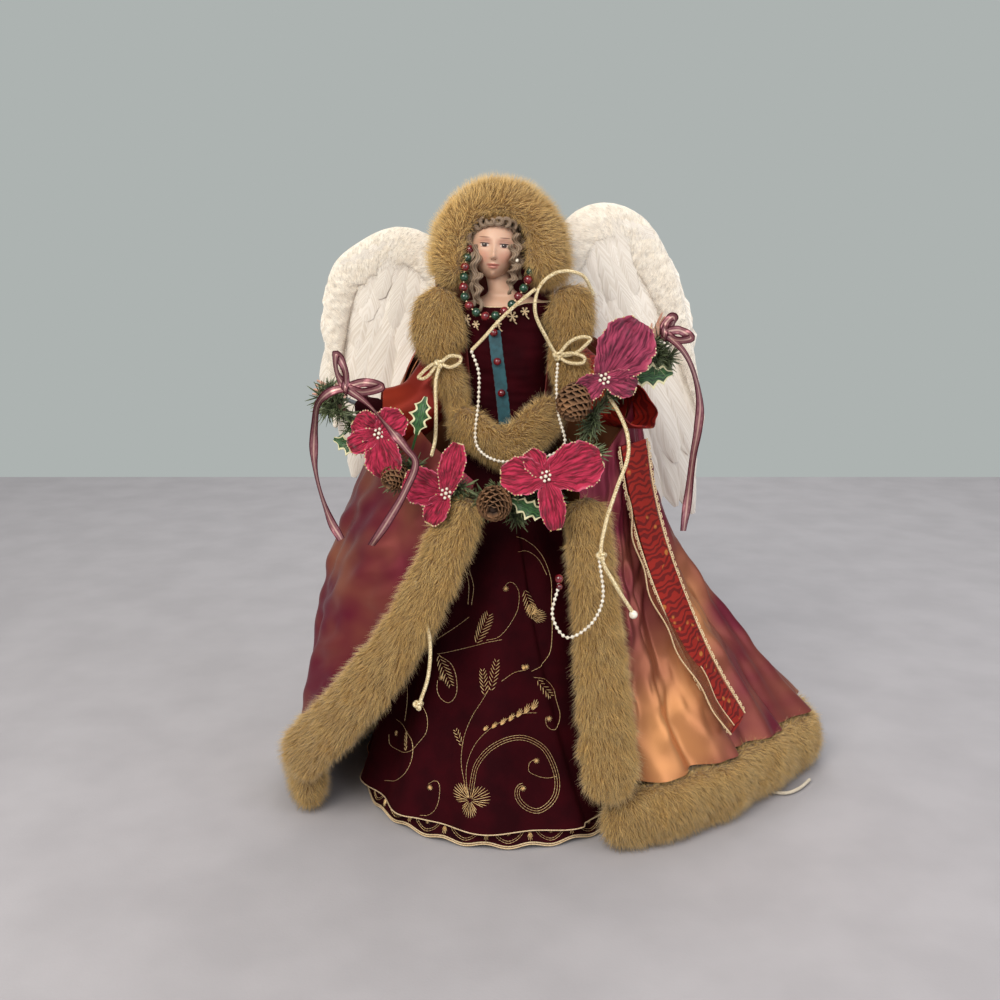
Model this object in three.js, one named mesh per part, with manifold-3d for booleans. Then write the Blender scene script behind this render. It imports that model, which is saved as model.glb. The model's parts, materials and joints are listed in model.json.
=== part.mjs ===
// Angel tree topper: a doll on an open card cone, dressed in velvet and satin, with two feather
// wings, a hooded coat trimmed with fur and a winter garland tied between the hands.
// Millimetres, +Z up, -Y to the front. The origin is the middle of the cone's open mouth.
import * as THREE from "three";
import { mergeVertices } from "three/addons/utils/BufferGeometryUtils.js";
import Module from "manifold-3d";

const wasm = await Module();
wasm.setup();

// Driving sizes of the inner form, stacked from the floor to the hood's top.
const cone_height = 232;
const cone_foot_diameter = 168;
const cone_top_diameter = 40;
const card_wall = 2;
const torso_height = 90;
const neck_length = 36.5;
const head_height = 39;
const hood_rise = 22;
const seat_gap = 0.3;

const torso_base = cone_height + seat_gap;
const shoulder_top = torso_base + torso_height;
const head_middle = shoulder_top + seat_gap + neck_length;
const figure_height = head_middle + head_height / 2 + hood_rise;

// Sizes of the dress.
const cloth_thickness = 1.2;
const ribbon_thickness = 0.6;
const torso_waist_half_width = 21;
const torso_waist_half_depth = 17;
const torso_chest_half_width = 26;
const torso_chest_half_depth = 20;
const torso_shoulder_half_width = 30;
const torso_shoulder_half_depth = 18;
const torso_plug_length = 14;
const skirt_hem_radius = 98;
const skirt_hem_height = 12;
const skirt_waist_radius = 25;
const skirt_fold_depth = 4;
const skirt_fold_count = 11;
const underskirt_flare = 96;
const underskirt_rise = 48;
const underskirt_top_radius = 78;
const hem_ease = 0.7;
const coat_fold_depth = 5;
const coat_fold_count = 12;
const fur_band_height = 40;
const fur_band_depth = 23;
const fur_strip_width = 33;
const fur_strip_depth = 18;
const fur_floor_gap = 1;
const coat_hem_height = fur_floor_gap + fur_band_height + hem_ease;

// Sizes of the small pieces.
const arm_wire_diameter = 3;
const sleeve_mouth_radius = 20;
const undersleeve_radius = 8;
const hand_length = 17;
const hand_width = 8;
const necklace_bead_diameter = 5.6;
const necklace_thread_diameter = 1.6;
const placket_width = 7.5;
const placket_bead_diameter = 5;
const stem_diameter = 4;
const needle_length = 14;
const needle_diameter = 1.5;
const petal_length = 27;
const petal_width = 21;
const petal_thickness = 0.8;
const stamen_diameter = 7;
const pinecone_length = 23;
const pinecone_diameter = 21;
const holly_length = 24;
const holly_width = 13;
const gold_cord_diameter = 2.4;
const pearl_diameter = 2.2;
const end_bead_diameter = 5;
const bow_ribbon_width = 6;
const lace_diameter = 2.4;
const wing_wire_diameter = 2;
const wing_card_thickness = 1.2;
const feather_thickness = 1;
const feather_camber = 1.6;
const wing_block_depth = 26;
const wing_block_width = 36;
const wing_block_height = 36;
const wing_pin_rise = 5;
const wing_hinge_spread = 14;
const wing_hinge_depth = 49;

// Short forms for points, counts and places given as shares of the figure's height.
const point = (x, y, z) => new THREE.Vector3(x, y, z);
const count_to = (count) => Array.from({ length: count }, (_, index) => index);
const mix = THREE.MathUtils.lerp;
const turn = 2 * Math.PI;
const place = ([x_share, y_share, z_share]) =>
  point(x_share, y_share, z_share).multiplyScalar(figure_height);
const curve_of = (points, closed = false) => new THREE.CatmullRomCurve3(points, closed, "centripetal");
const route_of = (shares, closed = false) => curve_of(shares.map(place), closed);
const route_from = (rows) => curve_of(rows.map((row) => point(...row)));

// A closed surface from its corners and triangles, turned so that its faces point outward.
function closed_surface(corners, faces) {
  let volume = 0;
  for (let i = 0; i < faces.length; i += 3) {
    const [a, b, c] = [corners[faces[i]], corners[faces[i + 1]], corners[faces[i + 2]]];
    volume += a.dot(b.clone().cross(c));
  }
  const turned = volume < 0 ? faces.slice().reverse() : faces;
  const geometry = new THREE.BufferGeometry().setFromPoints(corners);
  geometry.setIndex(turned);
  return geometry;
}

// The middle of a ring of points.
function middle_of(ring) {
  const sum = ring.reduce((total, corner) => total.add(corner), point(0, 0, 0));
  return sum.divideScalar(ring.length);
}

// A skin over rings that hold the same number of points, closed at both ends or joined in a loop.
function loft(rings, joined = false) {
  const around = rings[0].length;
  const corners = rings.flat();
  const faces = [];
  const spans = joined ? rings.length : rings.length - 1;
  for (let i = 0; i < spans; i += 1) {
    const next = ((i + 1) % rings.length) * around;
    for (let j = 0; j < around; j += 1) {
      const k = (j + 1) % around;
      faces.push(i * around + j, i * around + k, next + k);
      faces.push(i * around + j, next + k, next + j);
    }
  }
  if (!joined) {
    const last = (rings.length - 1) * around;
    const first_hub = corners.push(middle_of(rings[0])) - 1;
    const last_hub = corners.push(middle_of(rings[rings.length - 1])) - 1;
    for (let j = 0; j < around; j += 1) {
      const k = (j + 1) % around;
      faces.push(first_hub, k, j);
      faces.push(last_hub, last + j, last + k);
    }
  }
  return closed_surface(corners, faces);
}

// A cloth of even thickness over a grid of points, open at its edges or wrapped round to meet itself.
function cloth(rows, thickness, wrapped = false) {
  const high = rows.length;
  const wide = rows[0].length;
  const column = (j) => (wrapped ? (j + wide) % wide : THREE.MathUtils.clamp(j, 0, wide - 1));
  const row = (i) => THREE.MathUtils.clamp(i, 0, high - 1);
  const corners = [];
  for (const side of [1, -1]) {
    for (let i = 0; i < high; i += 1) {
      for (let j = 0; j < wide; j += 1) {
        const across = rows[i][column(j + 1)].clone().sub(rows[i][column(j - 1)]);
        const along = rows[row(i + 1)][j].clone().sub(rows[row(i - 1)][j]);
        const push = across.cross(along).setLength((side * thickness) / 2);
        corners.push(rows[i][j].clone().add(push));
      }
    }
  }
  const front = (i, j) => i * wide + column(j);
  const back = (i, j) => high * wide + front(i, j);
  const faces = [];
  const quad = (a, b, c, d) => faces.push(a, b, c, a, c, d);
  const spans = wrapped ? wide : wide - 1;
  for (let i = 0; i < high - 1; i += 1) {
    for (let j = 0; j < spans; j += 1) {
      quad(front(i, j), front(i, j + 1), front(i + 1, j + 1), front(i + 1, j));
      quad(back(i, j), back(i + 1, j), back(i + 1, j + 1), back(i, j + 1));
    }
    if (!wrapped) {
      quad(front(i + 1, 0), back(i + 1, 0), back(i, 0), front(i, 0));
      quad(front(i, wide - 1), back(i, wide - 1), back(i + 1, wide - 1), front(i + 1, wide - 1));
    }
  }
  for (let j = 0; j < spans; j += 1) {
    quad(front(0, j), back(0, j), back(0, j + 1), front(0, j + 1));
    quad(front(high - 1, j + 1), back(high - 1, j + 1), back(high - 1, j), front(high - 1, j));
  }
  return closed_surface(corners, faces);
}

// An oval ring round a centre, from two half-axes given as vectors.
function oval(centre, across, along, sides) {
  return count_to(sides).map((k) => {
    const angle = (turn * k) / sides;
    const corner = centre.clone().addScaledVector(across, Math.cos(angle));
    return corner.addScaledVector(along, Math.sin(angle));
  });
}

// A level oval ring at one height.
function level_oval(x, y, z, half_width, half_depth, sides) {
  return oval(point(x, y, z), point(half_width, 0, 0), point(0, half_depth, 0), sides);
}

// The direction of a curve, its outward side and its flat side at one share of its length.
function frame_at(route, share, facing) {
  const origin = route.getPoint(share);
  const ahead = route.getTangent(share);
  const out = facing(origin, share);
  out.addScaledVector(ahead, -out.dot(ahead)).normalize();
  const across = ahead.clone().cross(out).normalize();
  return { origin, ahead, out, across };
}

const away_from_axis = (spot) => point(spot.x, spot.y, 0).normalize();
const to_front = () => point(0, -1, 0);

// A padded roll along a curve, rounded at its ends, wide across and less deep outward.
const roll_end_shares = [0.45, 0.85];
const both_ends_round = { start: true, end: true };
function roll(settings) {
  const { route, steps, sides, half_width, half_depth } = settings;
  const { facing = away_from_axis, round = both_ends_round } = settings;
  const rings = count_to(steps + 1).map((i) => {
    const share = i / steps;
    const from_end = Math.min(round.start ? i : steps, round.end ? steps - i : steps);
    const swell = from_end < roll_end_shares.length ? roll_end_shares[from_end] : 1;
    const { origin, out, across } = frame_at(route, share, facing);
    across.multiplyScalar(half_width(share) * swell);
    out.multiplyScalar(half_depth(share) * swell);
    return oval(origin, across, out, sides);
  });
  return loft(rings);
}

// A flat band along a curve.
function band({ route, steps, width, thickness, facing = away_from_axis }) {
  const rings = count_to(steps + 1).map((i) => {
    const { origin, out, across } = frame_at(route, i / steps, facing);
    const side = across.multiplyScalar(width / 2);
    const rise = out.multiplyScalar(thickness / 2);
    return [
      origin.clone().add(side).add(rise),
      origin.clone().sub(side).add(rise),
      origin.clone().sub(side).sub(rise),
      origin.clone().add(side).sub(rise),
    ];
  });
  return loft(rings);
}

// A round cord or wire along a curve.
const cord_sides = 8;
function tube(route, diameter, steps, sides = cord_sides) {
  const corners = count_to(sides).map((k) => {
    const angle = (turn * k) / sides;
    return new THREE.Vector2(Math.cos(angle), Math.sin(angle)).multiplyScalar(diameter / 2);
  });
  const section = new THREE.Shape(corners);
  return new THREE.ExtrudeGeometry(section, { steps, bevelEnabled: false, extrudePath: route });
}

function ball(centre, diameter, sides = cord_sides) {
  const geometry = new THREE.SphereGeometry(diameter / 2, sides, Math.ceil(sides / 2) + 1);
  return geometry.translate(centre.x, centre.y, centre.z);
}

// Solids that can be joined and cut, and the way back to a surface.
function solid_of(geometry) {
  const bare = geometry.clone();
  bare.deleteAttribute("normal");
  bare.deleteAttribute("uv");
  const merged = mergeVertices(bare, merge_reach);
  const vertProperties = new Float32Array(merged.attributes.position.array);
  const triVerts = new Uint32Array(merged.index.array);
  return new wasm.Manifold(new wasm.Mesh({ numProp: 3, vertProperties, triVerts }));
}
const merge_reach = 0.001;

function surface_of(solid) {
  const { numProp, vertProperties, triVerts } = solid.getMesh();
  const position = new Float32Array((vertProperties.length / numProp) * 3);
  for (let i = 0; i < position.length / 3; i += 1) {
    position.set(vertProperties.subarray(i * numProp, i * numProp + 3), i * 3);
  }
  const geometry = new THREE.BufferGeometry();
  geometry.setAttribute("position", new THREE.BufferAttribute(position, 3));
  geometry.setIndex(Array.from(triVerts));
  geometry.computeVertexNormals();
  return geometry;
}

const join = (surfaces) => {
  const whole = surfaces.map(solid_of).reduce((sum, next) => sum.add(next));
  return surface_of(whole.simplify(join_tolerance));
};
const join_tolerance = 0.12;

// The same shape, larger by a clearance on every side.
function grown(geometry, clearance) {
  const bare = geometry.clone();
  bare.deleteAttribute("normal");
  bare.deleteAttribute("uv");
  const wide = mergeVertices(bare, merge_reach);
  wide.computeVertexNormals();
  const { position, normal } = wide.attributes;
  for (let i = 0; i < position.count; i += 1) {
    const corner = new THREE.Vector3().fromBufferAttribute(position, i);
    corner.addScaledVector(new THREE.Vector3().fromBufferAttribute(normal, i), clearance);
    position.setXYZ(i, corner.x, corner.y, corner.z);
  }
  return wide;
}

// Every piece is fitted round the ones before it: where they would meet, the later piece is cut back
// by a clearance, by more where a crease still touches, and only its largest body is kept.
const cut_clearance = seat_gap * 0.9;
const crease_clearance = 0.8;
const facet_tolerance = 0.14;
const cut_tolerance = 0.08;
const soft_tolerance = 0.7;
const topper = new THREE.Group();
const fitted = [];

const touches = (solid, other) => solid.intersect(other).volume() > 0;
const widened = (solid, clearance) => solid_of(grown(surface_of(solid), clearance)).add(solid);

function largest_body(solid) {
  const bodies = solid.decompose();
  return bodies.reduce((most, next) => (next.volume() > most.volume() ? next : most));
}

function fit(name, geometry, finish, soft = false) {
  const whole = solid_of(geometry).simplify(facet_tolerance);
  const reach = new THREE.Box3().setFromObject(new THREE.Mesh(geometry));
  const near = fitted.filter((earlier) => earlier.reach.intersectsBox(reach));
  let solid = near.reduce((left, earlier) => left.subtract(soft ? earlier.loose() : earlier.wide), whole);
  solid = largest_body(solid.simplify(soft ? soft_tolerance : cut_tolerance));
  for (const earlier of near) {
    if (touches(solid, earlier.solid)) {
      solid = largest_body(solid.subtract(widened(earlier.solid, crease_clearance)));
    }
  }
  const mesh = new THREE.Mesh(surface_of(solid), finish);
  mesh.name = name;
  topper.add(mesh);
  fitted.push({
    solid,
    wide: widened(whole, cut_clearance),
    loose: () => widened(whole, crease_clearance),
    reach: reach.expandByScalar(crease_clearance),
  });
}

const finish = (color, roughness, metalness = 0) =>
  new THREE.MeshStandardMaterial({ color, roughness, metalness });

// The card cone that stands on the tree's tip, with its flat rim at the floor.
const cone_sides = 32;
function base_cone() {
  const foot = cone_foot_diameter / 2;
  const top = cone_top_diameter / 2;
  const profile = [
    new THREE.Vector2(foot - card_wall, 0),
    new THREE.Vector2(foot, 0),
    new THREE.Vector2(top, cone_height),
    new THREE.Vector2(top - card_wall, cone_height),
    new THREE.Vector2(foot - card_wall, 0),
  ];
  return new THREE.LatheGeometry(profile, cone_sides).rotateX(turn / 4);
}

// The padded torso form, standing on the cone's top rim with a plug down its hole.
const torso_sides = 16;
const torso_chest_share = 0.62;
function torso_form() {
  const plug = cone_top_diameter / 2 - card_wall - seat_gap;
  const chest = mix(torso_base, shoulder_top, torso_chest_share);
  const shoulder = shoulder_top - card_wall;
  const rings = [
    level_oval(0, 0, torso_base - torso_plug_length, plug, plug, torso_sides),
    level_oval(0, 0, torso_base, plug, plug, torso_sides),
    level_oval(0, 0, torso_base, torso_waist_half_width, torso_waist_half_width, torso_sides),
    level_oval(0, 0, torso_base + card_wall, torso_waist_half_width, torso_waist_half_depth, torso_sides),
    level_oval(0, 0, chest, torso_chest_half_width, torso_chest_half_depth, torso_sides),
    level_oval(0, 0, shoulder, torso_shoulder_half_width, torso_shoulder_half_depth, torso_sides),
    level_oval(0, 0, shoulder_top, torso_shoulder_half_width - card_wall,
      torso_shoulder_half_depth - card_wall, torso_sides),
  ];
  return loft(rings);
}

// The resin bust: shoulder plate, neck, head and moulded hair in one casting.
const head_lean = 8.5;
const head_forward = 5;
const head_half_width = 15;
const head_half_depth = 17.5;
const neck_radius = 7.5;
const nose_height = 2.4;
const hair_thickness = 2.2;
const curl_radius = 3.6;
const curl_wave = 1.5;
const fringe_radius = 3;
const head_columns = 18;
const head_rows = 11;
const jaw_narrowing_share = 0.3;
const plate_shares = [[0, 0.92, 0.92], [0.09, 0.8, 0.8], [0.2, 0.46, 0.56]];
// Each feature of the face: height, angle, half-height, half-angle and depth in nose heights.
const face_shares = [
  [-0.16, 0, 0.2, 0.16, 1],
  [0.06, 0, 0.22, 0.1, 0.55],
  [0.05, 0.42, 0.13, 0.2, -0.45],
  [0.05, -0.42, 0.13, 0.2, -0.45],
  [-0.5, 0, 0.1, 0.3, 0.3],
  [-0.86, 0, 0.2, 0.35, 0.5],
  [-0.3, 0.75, 0.3, 0.3, 0.35],
  [-0.3, -0.75, 0.3, 0.3, 0.35],
];
// Each curl: sideways, forward, top and bottom in half heads.
const curl_shares = [
  [-1.0, 0.55, 0.45, -1.55],
  [-0.78, 0.75, 0.1, -1.75],
  [-1.12, 0.2, 0.35, -1.3],
  [0.98, 0.6, 0.45, -0.95],
  [0.8, 0.78, 0.1, -1.1],
  [1.1, 0.25, 0.35, -1.0],
];
const fringe_shares = [-0.82, -0.5, -0.18, 0.14, 0.46, 0.8];

function head_shape(inflate, rows, columns, with_face) {
  const half_height = head_height / 2 + inflate;
  const rings = count_to(rows).map((i) => {
    const rise = Math.sin(Math.PI * (mix(0, 1, (i + 1) / (rows + 1)) - 1 / 2));
    const swell = Math.sqrt(1 - rise * rise);
    const jaw = rise < 0 ? 1 - jaw_narrowing_share * rise * rise : 1;
    return count_to(columns).map((j) => {
      const angle = (turn * j) / columns;
      const wrapped = angle > Math.PI ? angle - turn : angle;
      let push = 0;
      if (with_face) {
        for (const [height, side, tall, wide, deep] of face_shares) {
          const fall = ((rise - height) / tall) ** 2 + ((wrapped - side) / wide) ** 2;
          push += nose_height * deep * Math.exp(-fall);
        }
      }
      const width = (head_half_width + inflate) * swell * jaw;
      const depth = (head_half_depth + inflate) * swell + push;
      return point(Math.sin(angle) * width, -Math.cos(angle) * depth, rise * half_height);
    });
  });
  return loft(rings).translate(-head_lean, -head_forward, head_middle);
}

function curl([side, forward, top, bottom], index) {
  const half = head_height / 2;
  const rings = count_to(6).map((i) => {
    const share = i / 5;
    const sway = turn * (share * 2.5 + index / 3);
    const centre = point(
      side * head_half_width - head_lean + curl_wave * Math.cos(sway),
      -forward * head_half_depth - head_forward + curl_wave * Math.sin(sway),
      head_middle + mix(top, bottom, share) * half,
    );
    const radius = curl_radius * (0.55 + 0.45 * Math.sin(Math.PI * Math.min(share * 1.2 + 0.15, 1)));
    return oval(centre, point(radius, 0, 0), point(0, radius, 0), 4);
  });
  return loft(rings);
}

function bust_head() {
  const bottom = shoulder_top + seat_gap;
  const plate = plate_shares.map(([rise, wide, deep]) => level_oval(-head_lean * rise, 0, bottom +
    rise * neck_length, torso_shoulder_half_width * wide, torso_shoulder_half_depth * deep, head_columns));
  const throat = level_oval(-head_lean / 2, -head_forward / 3, bottom + neck_length / 4,
    neck_radius, neck_radius, head_columns);
  const nape = level_oval(-head_lean, -head_forward / 2, head_middle, neck_radius, neck_radius, head_columns);
  const hair = head_shape(hair_thickness, 6, 12, false);
  hair.translate(0, hair_thickness * 2, hair_thickness / 2);
  const fringe = fringe_shares.map((side) => {
    const angle = side * 1.1;
    const spot = point(Math.sin(angle) * head_half_width, -Math.cos(angle) * head_half_depth * 0.9,
      head_height * (0.36 - 0.12 * side * side));
    spot.add(point(-head_lean, -head_forward, head_middle));
    return ball(spot, fringe_radius * 2, 5);
  });
  return join([loft([...plate, throat, nape]), head_shape(0, head_rows, head_columns, true), hair,
    ...curl_shares.map(curl), ...fringe]);
}

// One wire through both shoulders that carries the two hands.
const arm_route_shares = [
  [-0.262, -0.055, 0.672], [-0.2, -0.05, 0.648], [-0.14, -0.035, 0.66], [-0.1, -0.012, 0.715],
  [-0.055, 0, 0.775], [0, 0.005, 0.789], [0.055, 0, 0.778], [0.105, -0.015, 0.715],
  [0.145, -0.055, 0.69], [0.185, -0.105, 0.715], [0.21, -0.145, 0.768],
];
const arm_route = route_of(arm_route_shares);
const arm_wire = () => tube(arm_route, arm_wire_diameter, 16, 5);

// A pale hand: a flat palm, four fingers and a thumb, bored for the wire.
function finger(root, ahead, across, length, girth) {
  const up = across.clone().cross(ahead);
  const stations_shares = [[0, 1], [0.6, 0.9], [1, 0.5]];
  return loft(stations_shares.map(([share, swell]) => {
    const centre = root.clone().addScaledVector(ahead, length * share);
    const wide = across.clone().multiplyScalar(girth * swell);
    return oval(centre, wide, up.clone().multiplyScalar(girth * swell), 4);
  }));
}

function hand(wrist, ahead) {
  const across = point(0, 0, 1).addScaledVector(ahead, -ahead.z).normalize();
  const up = across.clone().cross(ahead);
  const palm_length = hand_length / 2;
  const girth = hand_width / 7;
  const shares = [[-0.5, 0.7, 0.75], [0.1, 0.8, 0.6], [0.7, 1, 0.45], [1.1, 0.9, 0.4]];
  const palm = loft(shares.map(([share, wide, deep]) => {
    const centre = wrist.clone().addScaledVector(ahead, palm_length * share);
    const half_width = across.clone().multiplyScalar((hand_width * wide) / 2);
    return oval(centre, half_width, up.clone().multiplyScalar((hand_width * deep) / 2), 8);
  }));
  const fingers = count_to(4).map((k) => {
    const side = (k - 3 / 2) * (hand_width / 4);
    const root = wrist.clone().addScaledVector(ahead, palm_length * 0.9).addScaledVector(across, side);
    const lean = ahead.clone().addScaledVector(across, side / hand_length).normalize();
    return finger(root, lean, across, palm_length, girth);
  });
  const thumb_root = wrist.clone().addScaledVector(across, hand_width * 0.35);
  const thumb_way = ahead.clone().addScaledVector(across, 0.8).normalize();
  return join([palm, ...fingers, finger(thumb_root, thumb_way, up, palm_length * 0.8, girth)]);
}

// The card block at the back that holds the wing wires, with a cord's width of glue seat behind it.
const wing_root = point(0, wing_hinge_depth, mix(torso_base, shoulder_top, 0.62));
function wing_block() {
  const block = new THREE.BoxGeometry(wing_block_width, wing_block_depth, wing_block_height);
  const front = torso_chest_half_depth + cloth_thickness + seat_gap * 4;
  return block.translate(0, front + wing_block_depth / 2, wing_root.z);
}

// A wing for one side: a wire with a card leaf, long feathers and short covert feathers.
const wing_arm_shares = {
  left: [[-0.056, 0.112, 0.788], [-0.1, 0.114, 0.888], [-0.18, 0.116, 0.926], [-0.268, 0.128, 0.883]],
  right: [[0.056, 0.112, 0.832], [0.1, 0.114, 0.94], [0.16, 0.116, 0.964], [0.222, 0.124, 0.94]],
};
const feather_tip_shares = {
  left: [
    [-0.075, 0.14, 0.518], [-0.14, 0.168, 0.443], [-0.215, 0.176, 0.428], [-0.272, 0.168, 0.508],
    [-0.297, 0.158, 0.588], [-0.303, 0.146, 0.678], [-0.303, 0.136, 0.788], [-0.285, 0.126, 0.873],
  ],
  right: [
    [0.09, 0.14, 0.5], [0.17, 0.17, 0.44], [0.255, 0.18, 0.425], [0.325, 0.182, 0.42],
    [0.346, 0.176, 0.48], [0.34, 0.166, 0.6], [0.32, 0.15, 0.69], [0.296, 0.138, 0.79], [0.262, 0.128, 0.88],
  ],
};
const feather_count = 10;
const wing_layer_gap = 0.7;
const covert_lift = feather_thickness + wing_layer_gap;
const wing_card_setback = (feather_thickness + wing_card_thickness) / 2 + wing_layer_gap;

function wing_layer(side, start_share, end_share, depth, rows, scallop_share) {
  const arm = route_of(wing_arm_shares[side]);
  const tips = route_of(feather_tip_shares[side]);
  const columns = feather_count * 2 + 1;
  return count_to(rows).map((i) => count_to(columns).map((j) => {
    const share = j / (columns - 1);
    const valley = j % 2 === 0;
    const along = mix(start_share, end_share, (i / (rows - 1)) * (valley ? 1 - scallop_share : 1));
    const spot = arm.getPoint(share).lerp(tips.getPoint(share), along);
    spot.y += depth + (valley ? 0 : -feather_camber * Math.min(1, i));
    return spot;
  }));
}

const long_feathers = (side) => cloth(wing_layer(side, 0.02, 1, 0, 5, 0.07), feather_thickness);
const covert_feathers = (side) =>
  cloth(wing_layer(side, 0.04, 0.46, -covert_lift, 3, 0.12), feather_thickness);

function wing_frame(side) {
  const sign = side === "left" ? -1 : 1;
  const rows = wing_layer(side, 0.06, 0.7, 0, 5, 0).map((row) => row.filter((_, j) => j % 4 === 0)
    .map((spot) => spot.add(point(0, wing_card_setback, 0))));
  const leaf = cloth(rows, wing_card_thickness);
  const pin_x = sign * wing_hinge_spread;
  const low = wing_root.z - wing_block_height / 3;
  const high = wing_root.z + wing_block_height / 2 + wing_pin_rise;
  const entry = rows[1][1];
  const route = curve_of([
    point(pin_x, wing_root.y, low),
    point(pin_x, wing_root.y, wing_root.z),
    point(pin_x, wing_root.y, high - wing_pin_rise),
    point(pin_x, wing_root.y, high),
    entry.clone().lerp(point(pin_x, wing_root.y, high), 1 / 3),
    entry,
  ]);
  return join([leaf, tube(route, wing_wire_diameter, 16, 6)]);
}

// The velvet bodice round the torso, from the waist to the neckline.
function torso_wrap(z, ease) {
  const share = THREE.MathUtils.clamp((z - torso_base) / torso_height, 0, 1);
  const low = Math.min(share / torso_chest_share, 1);
  const high = Math.max((share - torso_chest_share) / (1 - torso_chest_share), 0);
  const wide = mix(mix(torso_waist_half_width, torso_chest_half_width, low), torso_shoulder_half_width, high);
  const deep = mix(mix(torso_waist_half_depth, torso_chest_half_depth, low), torso_shoulder_half_depth, high);
  return { wide: wide + ease, deep: deep + ease };
}
const bodice_ease = seat_gap + cloth_thickness;
const bodice_drop = 4;
function velvet_bodice() {
  const rows = count_to(6).map((i) => {
    const z = mix(torso_base + bodice_drop, shoulder_top - bodice_drop, i / 5);
    const { wide, deep } = torso_wrap(z, bodice_ease);
    return level_oval(0, 0, z, wide, deep, torso_sides);
  });
  return cloth(rows, cloth_thickness, true);
}

// The teal placket ribbon down the bodice's front, with three red beads sewn on.
const placket_bead_shares = [0.02, 0.32, 0.66];
const placket_top = shoulder_top - 13;
const placket_length = 58;
const placket_top_offset = -7.4;
const placket_foot_offset = -2;
function placket_ribbon() {
  const spot_at = (share, lift) => {
    const x = mix(placket_top_offset, placket_foot_offset, share);
    const z = placket_top - placket_length * share;
    const { wide, deep } = torso_wrap(z, bodice_ease);
    return point(x, -(deep * Math.sqrt(1 - (x / wide) ** 2) + lift), z);
  };
  const lift = cloth_thickness + ribbon_thickness;
  const route = curve_of(count_to(6).map((i) => spot_at(i / 5, lift)));
  const thickness = ribbon_thickness;
  const ribbon = band({ route, steps: 8, width: placket_width, thickness, facing: to_front });
  const beads = placket_bead_shares.map((share) => ball(spot_at(share, lift + placket_bead_diameter / 3),
    placket_bead_diameter, 6));
  return join([ribbon, ...beads]);
}

// The bead necklace: beads threaded along a line that hangs from under the hood.
const necklace_route = route_from([
  [-23.5, -15, 358], [-26, -20, 350], [-27, -22, 340], [-26.5, -25, 330], [-21, -28, 322],
  [-13, -30, 318.5], [-5, -30, 320], [2, -29, 325.5], [8, -27, 333], [12.5, -23, 341], [14.5, -17, 350],
]);
function bead_necklace() {
  const length = necklace_route.getLength();
  const count = Math.round(length / necklace_bead_diameter);
  const bead_rings_shares = [[0.04, 0.34], [0.52, 1]];
  const rings = count_to(count).flatMap((k) => bead_rings_shares.map(([along, swell]) => {
    const share = (k + along) / count;
    const origin = necklace_route.getPointAt(share);
    const ahead = necklace_route.getTangentAt(share);
    const across = point(0, 1, 0).addScaledVector(ahead, -ahead.y).normalize();
    const up = ahead.clone().cross(across);
    const radius = Math.max(necklace_bead_diameter * swell, necklace_thread_diameter) / 2;
    return oval(origin, across.multiplyScalar(radius), up.multiplyScalar(radius), 5);
  }));
  return loft(rings);
}

// The velvet skirt: a folded cone from the waist, flatter in front, hung clear of the card cone.
const skirt_columns = 40;
const skirt_rows = 5;
const skirt_top = torso_base + bodice_drop - seat_gap * 2;
function skirt_point(angle, share, fold_depth) {
  const radius = mix(skirt_waist_radius, skirt_hem_radius, share ** 1.04);
  const front = Math.max(0, -Math.sin(angle)) ** 4;
  const fold = fold_depth * share * Math.cos(skirt_fold_count * angle) * (1 - front / 2);
  const reach = radius + fold;
  return point(Math.cos(angle) * reach, Math.sin(angle) * reach, mix(skirt_top, skirt_hem_height, share));
}
function velvet_skirt() {
  const rows = count_to(skirt_rows).map((i) => count_to(skirt_columns).map((j) =>
    skirt_point((turn * j) / skirt_columns, i / (skirt_rows - 1), skirt_fold_depth)));
  return cloth(rows, cloth_thickness, true);
}

// The underskirt's scalloped hem, which peeps out below the velvet.
const scallop_count = 22;
const scallop_depth = 2.5;
const underskirt_foot = 1;
function underskirt_hem() {
  const rows = count_to(3).map((i) => count_to(skirt_columns).map((j) => {
    const angle = (turn * j) / skirt_columns;
    const share = i / 2;
    const radius = mix(underskirt_top_radius, underskirt_flare, share);
    const scallop = scallop_depth * share * (1 + Math.cos(scallop_count * angle)) / 2;
    const z = mix(underskirt_rise, underskirt_foot, share) + scallop;
    return point(Math.cos(angle) * radius, Math.sin(angle) * radius, z);
  }));
  return cloth(rows, cloth_thickness, true);
}

// The coat: a bell of satin from the shoulders to a wide hem, open in front.
const coat_top_shares = [
  [0.105, -0.145, 0.555], [0.15, -0.12, 0.6], [0.18, -0.09, 0.64], [0.195, -0.05, 0.67],
  [0.2, -0.01, 0.685], [0.185, 0.03, 0.71], [0.155, 0.055, 0.745], [0.105, 0.07, 0.77],
  [0.05, 0.0775, 0.7875], [-0.02, 0.08, 0.7925], [-0.085, 0.0725, 0.78], [-0.14, 0.05, 0.745],
  [-0.17, 0, 0.665], [-0.125, -0.085, 0.61], [-0.05, -0.145, 0.555],
];
const coat_hem_shares = [
  [0.14, -0.235], [0.23, -0.215], [0.32, -0.16], [0.395, -0.09], [0.475, -0.01],
  [0.53, 0.07], [0.51, 0.145], [0.43, 0.215], [0.275, 0.265], [0.05, 0.275],
  [-0.175, 0.235], [-0.295, 0.14], [-0.345, 0.02], [-0.335, -0.065], [-0.31, -0.135],
];
// How far the cloth swells past the straight line, from the right front edge round to the left.
const coat_swell = 16;
const coat_swell_shares = [0, -0.9, -1.3, -1.8, -1.9, -1.3, 0.2, 1, 0.3];
const coat_swell_curve = curve_of(coat_swell_shares.map((share, i) => point(share, i, 0)));
const left_edge_pull_shares = [1.1, -1.3];
const left_edge_share = 0.86;
const coat_top_curve = route_of(coat_top_shares);
const coat_hem_curve = route_of(coat_hem_shares.map(([x, y]) => [x, y, 0]));
const coat_rows = 6;

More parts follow.
